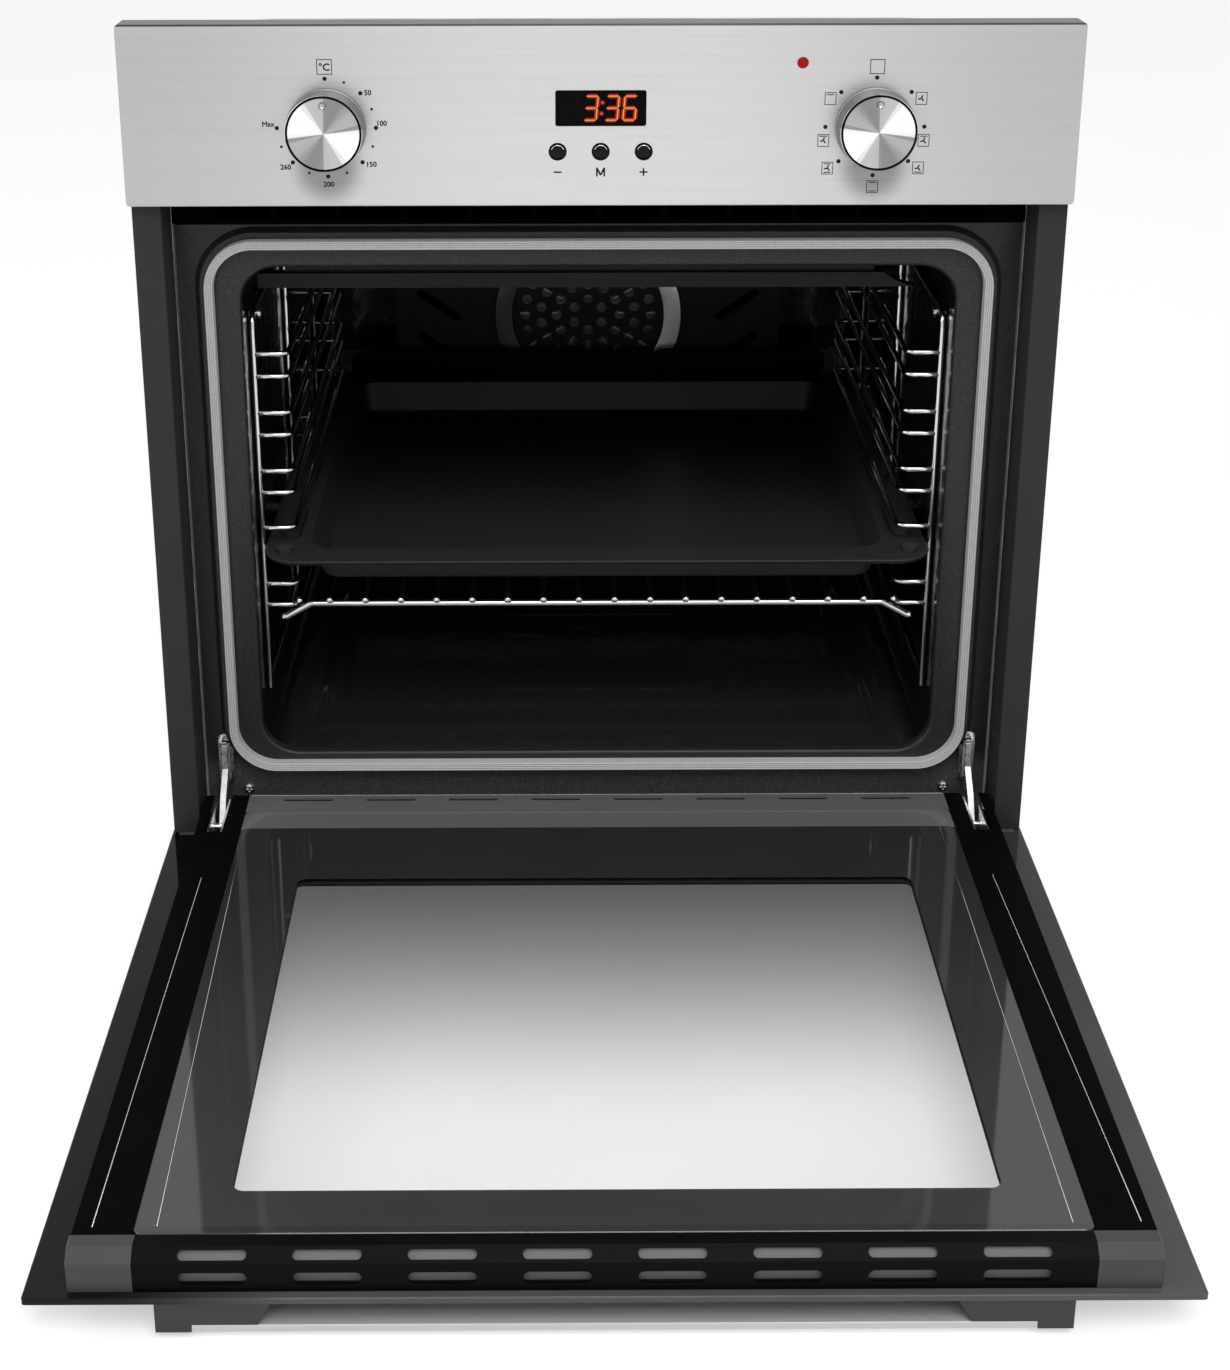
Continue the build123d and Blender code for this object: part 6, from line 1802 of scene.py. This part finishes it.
@dataclass
class Knob(SubAssembly):
    """Turned metal knob: spun face with a black ring, round mark, and a low skirt."""

    side: Side
    name: str
    node: str
    body: str
    x: float = 170.0
    z: float = 531.0
    radius: float = 23.8
    skirt: float = 24.8
    face: float = -39.0
    skirt_face: float = -22.8
    back: float = -20.4
    groove: tuple = (22.2, 23.4)
    groove_in: tuple = ((0.0, 0.1), (0.0, 0.9))
    groove_out: tuple = ((0.0, 0.9), (0.0, 0.15), (0.08, 0.02))
    brim: tuple = ((-0.2, 0.0), (-0.06, 0.14), (0.0, 0.5))
    flare: tuple = ((0.25, -1.0), (0.35, -0.1))
    skirt_edge: tuple = ((-0.3, 0.0), (0.0, 0.3))
    foot: tuple = ((0.0, -0.2), (-0.2, 0.0))
    bore: float = 0.5
    spun: tuple = ((0.4, 14.5, 10), (14.9, 19.8, 18), (20.4, 22.0, 3))
    steps: int = 360
    mark_r: float = 17.3
    mark_size: float = 2.4
    mark_deep: float = 1.5

    def build(self) -> None:
        """Turns the knob and presses the mark into its face.

        Each run of the profile is steps outwards and backwards from one radius and one y. Inside
        the mark the face sinks by the mark's depth times the root of one less the squared share
        of the distance from the mark's middle.
        """
        centre = (self.side.value * self.x, self.z)
        face_r = np.concatenate([np.linspace(*run) for run in self.spun])
        face = np.column_stack([face_r, np.full(len(face_r), self.face)])
        inner, outer = self.groove
        runs = (
            (self.groove_in, inner, self.face), (self.groove_out, outer, self.face),
            (self.brim, self.radius, self.face), (self.flare, self.radius, self.skirt_face),
            (self.skirt_edge, self.skirt, self.skirt_face), (self.foot, self.skirt, self.back),
        )
        rest = [[radius + out, y + deep] for run, radius, y in runs for out, deep in run]
        profile = np.concatenate([face, rest, [[self.bore, self.back]]])
        grid = turned(profile, centre, self.steps)
        across = grid[..., 0] - centre[0]
        up = grid[..., 2] - centre[1] - self.mark_r
        share = np.hypot(across, up) / self.mark_size
        on_face = (np.arange(len(profile)) < len(face))[:, None]
        sink = self.mark_deep * np.sqrt(np.clip(1 - share ** 2, 0, 1))
        grid[..., 1] += np.where(on_face, sink, 0)
        rows = np.zeros(len(profile) - 1, int)
        rows[len(face) - 1:len(face) + 3] = 1
        # The side and skirt rows take the darker metal, painted shade.
        rows[len(face) + 7:] = 2
        spun = SpunSteel(self.name + "_steel", centre, -self.side.value).material()
        finishes = [spun, Trade.GROOVE.paint, Trade.DIAL_SIDE.paint]
        piece = Shape(self.name).loft(grid, False, rows).build(finishes)
        self.fit(piece, self.body, "brushed_steel", self.node)


@dataclass
class Marks:
    """Flat ink marks on the face of the control panel, gathered into one piece."""

    shape: Shape
    face: float = -20.0
    proud: float = 0.05
    sunk: float = 0.02
    layer: float = 0.002

    def ink(self, flat: np.ndarray) -> None:
        """Adds one closed outline, given as x and z points."""
        self.shape.prism(flat, self.face - self.proud, self.face + self.sunk, Facing.FRONT)

    def dot(self, x: float, z: float, radius: float) -> None:
        """Adds a round dot."""
        self.ink(arc((x, z), radius, 0, 345, 24))

    def line(self, start: Sequence, stop: Sequence, width: float) -> None:
        """Adds a straight stroke: its corners lie half a width either side of both ends.

        Args:
            start: First end, as x and z.
            stop: Second end.
            width: Width of the stroke.
        """
        first, last = np.asarray(start, float), np.asarray(stop, float)
        along = (last - first) / np.linalg.norm(last - first)
        out = np.array([-along[1], along[0]]) * width / 2
        self.ink(np.array([first - out, last - out, last + out, first + out]))

    def box(self, x: float, z: float, width: float, height: float, stroke: float) -> None:
        """Adds a square frame of four strokes.

        Args:
            x: Centre across.
            z: Centre up.
            width: Outer width.
            height: Outer height.
            stroke: Width of its strokes.
        """
        w, h = (width - stroke) / 2, (height - stroke) / 2
        reach = w + stroke / 2
        for level in (-h, h):
            self.line((x - reach, z + level), (x + reach, z + level), stroke)
        for side in (-w, w):
            self.line((x + side, z - h), (x + side, z + h), stroke)

    def word(self, text: str, x: float, z: float, size: float, bold: float = 0.0, left: float = 0.5) -> None:
        """Adds generic lettering.

        Args:
            text: What it says.
            x: Place across.
            z: Middle of its height.
            size: Height of its capitals.
            bold: How far the glyphs are doubled to either side, as a share of the size.
            left: Share of its width that lies left of x.
        """
        curve = bpy.data.curves.new("word", "FONT")
        curve.body = text
        curve.size = size / CAPITAL
        curve.extrude = (self.proud + self.sunk) / 2
        curve.resolution_u = 3
        holder = bpy.data.objects.new("word", curve)
        mesh = bpy.data.meshes.new_from_object(holder)
        points = np.zeros(len(mesh.vertices) * 3)
        mesh.vertices.foreach_get("co", points)
        points = points.reshape(-1, 3)
        low, high = points.min(0), points.max(0)
        across = points[:, 0] - low[0] - left * (high[0] - low[0]) + x
        up = points[:, 1] - (low[1] + high[1]) / 2 + z
        deep = self.face + (self.sunk - self.proud) / 2 - points[:, 2]
        starts = np.zeros(len(mesh.polygons), int)
        totals = np.zeros(len(mesh.polygons), int)
        corners = np.zeros(len(mesh.loops), int)
        mesh.polygons.foreach_get("loop_start", starts)
        mesh.polygons.foreach_get("loop_total", totals)
        mesh.loops.foreach_get("vertex_index", corners)
        blocks = [corners[starts[totals == n][:, None] + np.arange(n)] for n in np.unique(totals)]
        for k, (right, above) in enumerate(((0, 0), (1, 0), (-1, 0), (0, 1), (0, -1))):
            shift = np.array([right * bold * size, -self.layer * k, above * bold * size])
            self.shape.add(np.column_stack([across, deep, up]) + shift, blocks)
        bpy.data.objects.remove(holder)
        bpy.data.curves.remove(curve)
        bpy.data.meshes.remove(mesh)


class Symbol(Enum):
    """What a function mark's box holds: fan, upper line, lower line, grill zigzag."""

    LIGHT = ()
    FAN = ("fan",)
    GRILL_FAN = ("grill", "fan")
    FAN_LOW = ("fan", "low")
    BOTH = ("top", "low")
    FAN_BOTH = ("fan", "top", "low")
    FAN_TOP = ("fan", "top")
    GRILL = ("grill",)


@dataclass
class ControlPanel(SubAssembly):
    """Brushed panel with its printed dials, keys, clock and power lamp."""

    dial_x: float = 170.0
    dial_z: float = 531.0
    mark_r: float = 30.7
    key_x: tuple = (-26.8, 0.0, 26.8)
    key_z: float = 515.7
    key_r: float = 4.5
    key_hole: float = 5.15
    glint_r: float = 4.1
    key_rise: float = 1.15
    key_curve: float = 0.93
    rim_out: float = 0.25
    rim_wire: float = 0.26
    glint_deep: float = 0.5
    glint_wire: float = 0.2
    face: float = -20.0
    big_dot: float = 1.35
    small_dot: float = 0.85
    dots: int = 13
    dot_step: float = 22.5
    numerals: tuple = (
        (45, "50", 2.5, 0.3, 0.0), (90, "100", 1.0, 2.9, 0.0), (135, "150", 2.9, -1.3, 0.0),
        (180, "200", 0.2, -4.9, 0.5), (225, "260", -1.3, -2.9, 1.0), (270, "Max", -1.5, 2.5, 1.0),
    )
    numeral: float = 3.3
    numeral_bold: float = 0.045
    unit: float = 4.6
    unit_bold: float = 0.04
    unit_rise: float = 7.3
    unit_box: float = 9.5
    label_drop: float = 13.0
    light_box: float = 9.2
    sign_box: tuple = (7.2, 8.0)
    sign_shifts: tuple = (
        (0, 6.8), (6.3, -4.0), (0, -8.6), (6.4, -4.4), (0, -7.3), (-6.8, -4.4), (-1.0, -8.6),
        (-6.5, -4.0),
    )
    sign_stroke: float = 0.45
    sign_bar: tuple = (2.3, 2.7, 0.6)
    zigzag: tuple = (1.1, 2.1, 0.8, 0.55)
    blade: tuple = (2.1, 0.4, 0.9)
    hub: float = 0.5
    minus: tuple = (2.5, 1.0)
    plus: tuple = (2.5, 0.95)
    posts: tuple = (2.3, 2.8, 1.05)
    slants: tuple = (2.4, 1.9, 1.1)
    box_stroke: float = 0.5
    display_z: float = 543.0
    lens: float = -19.7
    figure: tuple = (7.4, 15.0)
    figures: tuple = (("abgcd", -6.0), ("abgcd", 7.0), ("afgedc", 18.0))
    dark_figure: float = -18.5
    lean: float = 0.09
    colon: tuple = (0.75, 3.4)
    layers: tuple = ((2.9, 0.02, 0), (1.95, 0.05, 1), (0.42, 0.08, 2))
    bar_end: tuple = (0.45, 0.9)
    dark_bar: tuple = (0.5, 1.2, 0.015)
    sunk: float = 0.02

    def ring_place(self, x: float, degrees: float, radius: float) -> tuple:
        """Place on a dial, its angle measured clockwise from the top.

        Args:
            x: The dial's centre across.
            degrees: The angle.
            radius: Distance from the centre.

        Returns:
            The place, as x and z.
        """
        turn = math.radians(degrees)
        return x + radius * math.sin(turn), self.dial_z + radius * math.cos(turn)

    def temperature_marks(self) -> None:
        """Prints the temperature dial: large dots with numbers, small dots between."""
        marks = Marks(Shape("temperature_marks"))
        x = -self.dial_x
        for k in range(self.dots):
            size = self.small_dot if k % 2 else self.big_dot
            marks.dot(*self.ring_place(x, self.dot_step * k, self.mark_r), size)
        for degrees, text, across, up, left in self.numerals:
            px, pz = self.ring_place(x, degrees, self.mark_r)
            marks.word(text, px + across, pz + up, self.numeral, self.numeral_bold, left)
        box_z = self.dial_z + self.mark_r + self.unit_rise
        marks.box(x, box_z, self.unit_box, self.unit_box, self.box_stroke)
        marks.word("°C", x, box_z, self.unit, self.unit_bold)
        self.fit(marks.shape.build([Trade.INK.paint]), "housing", "black_gloss")

    def fan_symbol(self, marks: Marks, x: float, z: float) -> None:
        """Prints a small fan: a hub and three slanted blades.

        Args:
            marks: The marks it joins.
            x: Its centre across.
            z: Its centre up.
        """
        marks.dot(x, z, self.hub)
        reach, start, width = self.blade
        for k in range(3):
            turn = math.radians(80 + 120 * k)
            tip = (x + reach * math.cos(turn - 0.2), z + reach * math.sin(turn - 0.2))
            root = (x + start * math.cos(turn + 0.3), z + start * math.sin(turn + 0.3))
            marks.line(root, tip, width)

    def symbol(self, marks: Marks, kind: Symbol, x: float, z: float) -> None:
        """Prints one function's box.

        Args:
            marks: The marks it joins.
            kind: What the box holds.
            x: Its centre across.
            z: Its centre up.
        """
        if kind is Symbol.LIGHT:
            marks.box(x, z, self.light_box, self.light_box, self.box_stroke)
            return
        marks.box(x, z, *self.sign_box, self.sign_stroke)
        if "fan" in kind.value:
            self.fan_symbol(marks, x, z - (0.3 if "grill" in kind.value else 0))
        half, high, stroke = self.sign_bar
        for word, level in (("top", z + high), ("low", z - high)):
            if word in kind.value:
                marks.line((x - half, level), (x + half, level), stroke)
        if "grill" in kind.value:
            step, low, rise, stroke = self.zigzag
            for k in range(4):
                left, swing = x + (k - 2) * step, rise * (k % 2)
                marks.line((left, z + low + swing), (left + step, z + low + rise - swing), stroke)

    def function_marks(self) -> None:
        """Prints the function dial: a dot and a box every eighth of a turn."""
        marks = Marks(Shape("function_marks"))
        for k, (kind, (across, up)) in enumerate(zip(Symbol, self.sign_shifts)):
            x, z = self.ring_place(self.dial_x, 45 * k, self.mark_r)
            marks.dot(x, z, self.big_dot)
            self.symbol(marks, kind, x + across, z + up)
        self.fit(marks.shape.build([Trade.INK.paint]), "housing", "black_gloss")

    def key_marks(self) -> None:
        """Prints the labels under the three keys."""
        marks = Marks(Shape("key_marks"))
        z = self.key_z - self.label_drop
        left, middle, right = self.key_x
        half, stroke = self.minus
        marks.line((left - half, z), (left + half, z), stroke)
        (post, high, post_stroke), (slant, foot, slant_stroke) = self.posts, self.slants
        for side in (-1, 1):
            x = middle + post * side
            marks.line((x, z - high), (x, z + high), post_stroke)
            marks.line((middle + slant * side, z + high), (middle, z - foot), slant_stroke)
        half, stroke = self.plus
        marks.line((right - half, z), (right + half, z), stroke)
        marks.line((right, z - half), (right, z + half), stroke)
        self.fit(marks.shape.build([Trade.INK.paint]), "housing", "black_gloss")

    def keys(self) -> None:
        """Turns the three domed keys and near-black rims round their holes, a painted shade of the holes'
        walls.
        """
        rims = Shape("key_hole_shades")
        # Painted shade: a near-black ring round each key hole for the hole's dark wall.
        rim = arc((self.key_hole + self.rim_out, self.face - self.sunk), self.rim_wire, 0, 345, 12)
        for name, x in zip(("minus", "mode", "plus"), self.key_x):
            node = f"{name}_button"
            low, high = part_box(node)
            front, back = low.y / MM, high.y / MM
            share = np.linspace(0.04, 1.0, 14)
            swell = self.key_rise * (1 - np.sqrt(1 - (self.key_curve * share) ** 2))
            dome = np.column_stack([self.key_r * share, front + swell])
            skirt = [[self.key_r, front + 2.2], [self.key_r, back - 0.1]]
            profile = np.concatenate([dome, skirt, [[self.key_r - 0.1, back], [0.3, back]]])
            key = Shape(f"{name}_cap").lathe(profile, (x, self.key_z), 48)
            # A thin bright arc on each key's upper half: painted highlight.
            upper = arc((x, self.key_z), self.glint_r, 20, 160, 26)
            path = np.column_stack([upper[:, 0], np.full(len(upper), front + self.glint_deep), upper[:, 1]])
            key.wire(path, self.glint_wire, (0, 1, 0), 8, False, 1)
            piece = key.build([Trade.GLOSS_BLACK.paint, Trade.EDGE_GLINT.paint])
            self.fit(piece, f"{name}_key", "black_gloss", node)
            rims.loft(turned(rim, (x, self.key_z), 48), True)
        self.fit(rims.build([Trade.GROOVE.paint]), "housing", "black_gloss")

    def segment(self, along: bool, x: float, z: float, length: float, width: float) -> np.ndarray:
        """Outline of one lit bar with pointed ends.

        Args:
            along: Whether it lies flat.
            x: Its centre across.
            z: Its centre up.
            length: Length between the points.
            width: Width of the bar.

        Returns:
            Six points, as x and z, leaned over to the right.
        """
        half, thick = length / 2, width / 2
        points = np.array([[-half, 0], [thick - half, -thick], [half - thick, -thick], [half, 0],
                           [half - thick, thick], [thick - half, thick]])
        if not along:
            points = points[:, ::-1] * np.array([1, -1])
        points = points + np.array([x, z - self.display_z])
        points[:, 0] += self.lean * points[:, 1]
        return points + np.array([0, self.display_z])

    def clock(self) -> None:
        """Lays the clock's figures on its window: halo, body and core of each lit bar."""
        wide, high = self.figure
        bars = {
            "a": (True, 0, high / 2), "g": (True, 0, 0), "d": (True, 0, -high / 2),
            "f": (False, -wide / 2, high / 4), "b": (False, wide / 2, high / 4),
            "e": (False, -wide / 2, -high / 4), "c": (False, wide / 2, -high / 4),
        }
        back = self.lens + self.sunk
        grow, gap = self.bar_end
        short, dark_width, dark_proud = self.dark_bar
        shape = Shape("clock_figures")
        for width, proud, finish in self.layers:
            for lit, x in self.figures:
                for key in lit:
                    along, dx, dz = bars[key]
                    length = (wide if along else high / 2) + width * grow - gap
                    flat = self.segment(along, x + dx, self.display_z + dz, length, width)
                    shape.prism(flat, self.lens - proud, back, Facing.FRONT, finish)
            middle, rise = self.colon
            for dz in (-rise, rise):
                flat = arc((middle + self.lean * dz, self.display_z + dz), width / 2, 0, 330, 12)
                shape.prism(flat, self.lens - proud, back, Facing.FRONT, finish)
        for along, dx, dz in bars.values():
            length = (wide if along else high / 2) - short
            flat = self.segment(along, self.dark_figure + dx, self.display_z + dz, length, dark_width)
            shape.prism(flat, self.lens - dark_proud, back, Facing.FRONT, 3)
        finishes = [Trade.SEGMENT_HALO, Trade.SEGMENT_BODY, Trade.SEGMENT_CORE, Trade.SEGMENT_OFF]
        self.fit(shape.build([finish.paint for finish in finishes]), "housing", "red_lens")

    def build(self) -> None:
        """Prints the marks, makes keys and clock, and dresses the panel."""
        self.dress(Trade.PANEL, "control_panel")
        self.dress(Trade.DISPLAY, "display_window")
        self.dress(Trade.RED_LAMP, "power_lamp")
        self.temperature_marks()
        self.function_marks()
        self.key_marks()
        self.keys()
        self.clock()


@dataclass
class Door(SubAssembly):
    """Drop-down door with its two panes, rails, vented trim, handle and hinges."""

    edges: tuple = (
        ("door_rails", (-261.0, -105.0), (-265.0, -430.0), 0.35),
        ("inner_glass", (-241.6, -27.0), (-232.0, -430.0), 0.3),
        ("inner_glass", (233.0, -30.0), (233.0, -430.0), 0.3),
        ("door_rails", (257.0, -105.0), (268.0, -429.0), 0.35),
        ("door_bottom_rail", (-243.0, 0.2), (243.0, 0.2), 0.6),
    )
    sunk: float = 0.6

    def build_edges(self) -> None:
        """Lays thin bright rods along the rails' edges as painted highlights, half sunk in the tops that
        carry them.
        """
        shape = Shape("rail_edge_glints")
        for node, start, stop, width in self.edges:
            _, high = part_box(node)
            level = high.z / MM - self.sunk * width
            shape.wire(np.array([(*start, level), (*stop, level)]), width, (0, 0, 1), 8)
        self.fit(shape.build([Trade.EDGE_GLINT.paint]), "door", "brushed_steel")

    def build(self) -> None:
        """Adds the painted highlight rods along the rails' edges and dresses the door's pieces."""
        self.build_edges()
        self.dress(Trade.OUTER_GLASS, "outer_glass")
        self.dress(Trade.INNER_GLASS, "inner_glass")
        self.dress(Trade.RAIL, "door_rails")
        self.dress(Trade.BOTTOM_RAIL, "door_bottom_rail")
        self.dress(Trade.VENT_BLACK, "vent_trim")
        self.dress(Trade.BAFFLE_GREY, "vent_baffle")
        self.dress(Trade.CAP_GREY, "trim_caps")
        self.dress(Trade.HANDLE, "handle_bar")
        self.dress(Trade.DARK_PLASTIC, "handle_brackets")
        self.dress(Trade.PLATED, "door_screws", "handle_screws", "hinge_arms", "hinge_receivers",
                   "hinge_bodies", "hinge_pins", "hinge_springs")


# ---------------------------------------------------------------- studio
@dataclass
class Lamp:
    """One soft rectangular light."""

    name: str
    place: tuple
    target: tuple
    size: tuple
    power: float

    def hang(self) -> None:
        """Makes the light and points it."""
        data = bpy.data.lights.new(self.name, "AREA")
        data.shape, data.size, data.size_y = "RECTANGLE", *self.size
        data.energy = self.power
        lamp = linked(self.name, data)
        lamp.location = self.place
        aim = Vector(self.target) - Vector(self.place)
        lamp.rotation_mode = "QUATERNION"
        lamp.rotation_quaternion = aim.to_track_quat("-Z", "Y")


@dataclass
class Studio:
    """Pale floor, white surroundings, soft lights and the camera."""

    floor_half: float = 5.0
    floor_z: float = -0.0006
    ambient: float = 0.5
    lamps: tuple = (
        Lamp("key_light", (0.3, -1.9, 2.4), (0.0, 0.0, 0.25), (1.8, 1.2), 34.0),
        Lamp("left_light", (-2.2, -0.9, 1.5), (0.0, 0.0, 0.3), (1.2, 1.2), 9.0),
    )
    camera_place: tuple = (-0.0296, -1.2956, 0.7965)
    pitch: float = 18.739
    yaw: float = 0.248
    roll: float = -0.08
    lens: float = 54.83
    shift: tuple = (0.03847, -0.22044)
    sensor: float = 36.0
    clip: tuple = (0.05, 50.0)
    floor_tones: tuple = (0.78, 0.82)

    def seen(self, paint: Paint) -> Signal:
        """Tells the rays from the camera, off a shiny surface or through glass from the rest.

        Args:
            paint: The tree that it is made in.

        Returns:
            One for those rays, otherwise zero.
        """
        rays = ("Is Camera Ray", "Is Glossy Ray", "Is Transmission Ray")
        camera, glossy, through = (paint.node("ShaderNodeLightPath", output=ray) for ray in rays)
        return camera.higher(glossy).higher(through)

    def surround(self) -> None:
        """Makes the surroundings: white where they are seen, dimmer where they only light."""
        paint, white = Paint("surroundings", True), grey(1.0)
        dim = paint.node("ShaderNodeBackground", {}, {"Color": white, "Strength": self.ambient})
        bright = paint.node("ShaderNodeBackground", {}, {"Color": white})
        mixed = paint.node("ShaderNodeMixShader", {}, {0: self.seen(paint), 1: dim, 2: bright})
        bpy.context.scene.world = paint.close(mixed, "ShaderNodeOutputWorld")

    def lay_floor(self) -> None:
        """Lays the floor: matt white that keeps shadows, lifted to white where it is seen."""
        half = self.floor_half
        mesh = bpy.data.meshes.new("floor")
        corners = [(x * half, y * half, self.floor_z) for x, y in ((-1, -1), (1, -1), (1, 1), (-1, 1))]
        mesh.from_pydata(corners, [], [(0, 1, 2, 3)])
        floor = linked("floor", mesh)
        paint = Paint("floor_white")
        cloud = paint.noise(3.0, 2.0)
        dull, pale = (grey(tone) for tone in self.floor_tones)
        lit = paint.node("ShaderNodeBsdfDiffuse", {}, {"Color": paint.blend(cloud, dull, pale)})
        lift = paint.node("ShaderNodeEmission", {}, {"Color": grey(1.0), "Strength": 0.5})
        both = paint.node("ShaderNodeAddShader", {}, {0: lit, 1: lift})
        mixed = paint.node("ShaderNodeMixShader", {}, {0: self.seen(paint), 1: lit, 2: both})
        mesh.materials.append(paint.close(mixed))

    def set_camera(self) -> None:
        """Places the camera at the viewing angle.

        Its direction is (sin yaw cos pitch, cos yaw cos pitch, -sin pitch), and its right and up
        axes are turned about that direction by the roll.
        """
        data = bpy.data.cameras.new("camera")
        data.sensor_width = self.sensor
        data.lens = self.lens
        data.shift_x, data.shift_y = self.shift
        data.clip_start, data.clip_end = self.clip
        pitch, yaw, roll = (math.radians(v) for v in (self.pitch, self.yaw, self.roll))
        ahead = np.array([math.sin(yaw) * math.cos(pitch), math.cos(yaw) * math.cos(pitch), -math.sin(pitch)])
        right = np.array([math.cos(yaw), -math.sin(yaw), 0.0])
        up = np.cross(right, ahead)
        side = right * math.cos(roll) + up * math.sin(roll)
        top = -right * math.sin(roll) + up * math.cos(roll)
        turn = Matrix(np.column_stack([side, top, -ahead]).tolist())
        camera = linked("camera", data)
        camera.matrix_world = Matrix.Translation(self.camera_place) @ turn.to_4x4()
        bpy.context.scene.camera = camera

    def build(self) -> None:
        """Sets the stage."""
        self.surround()
        self.lay_floor()
        for lamp in self.lamps:
            lamp.hang()
        self.set_camera()
        bpy.context.scene.view_settings.view_transform = "Standard"


def main() -> None:
    """Builds the oven's sub-assemblies in order and sets the stage."""
    logging.basicConfig(level=logging.INFO, format="%(message)s")
    parts = (
        Casing(), FrontFrame(), DoorSeal(), Cavity(), HotAir(), SideRacks(), BakingTray(),
        WireShelf(), ControlPanel(),
        Knob(Side.LEFT, "temperature_dial", "temperature_knob", "temperature_control"),
        Knob(Side.RIGHT, "function_dial", "function_knob", "function_control"),
        Door(), Studio(),
    )
    for part in parts:
        part.build()


if __name__ == "__main__":
    main()
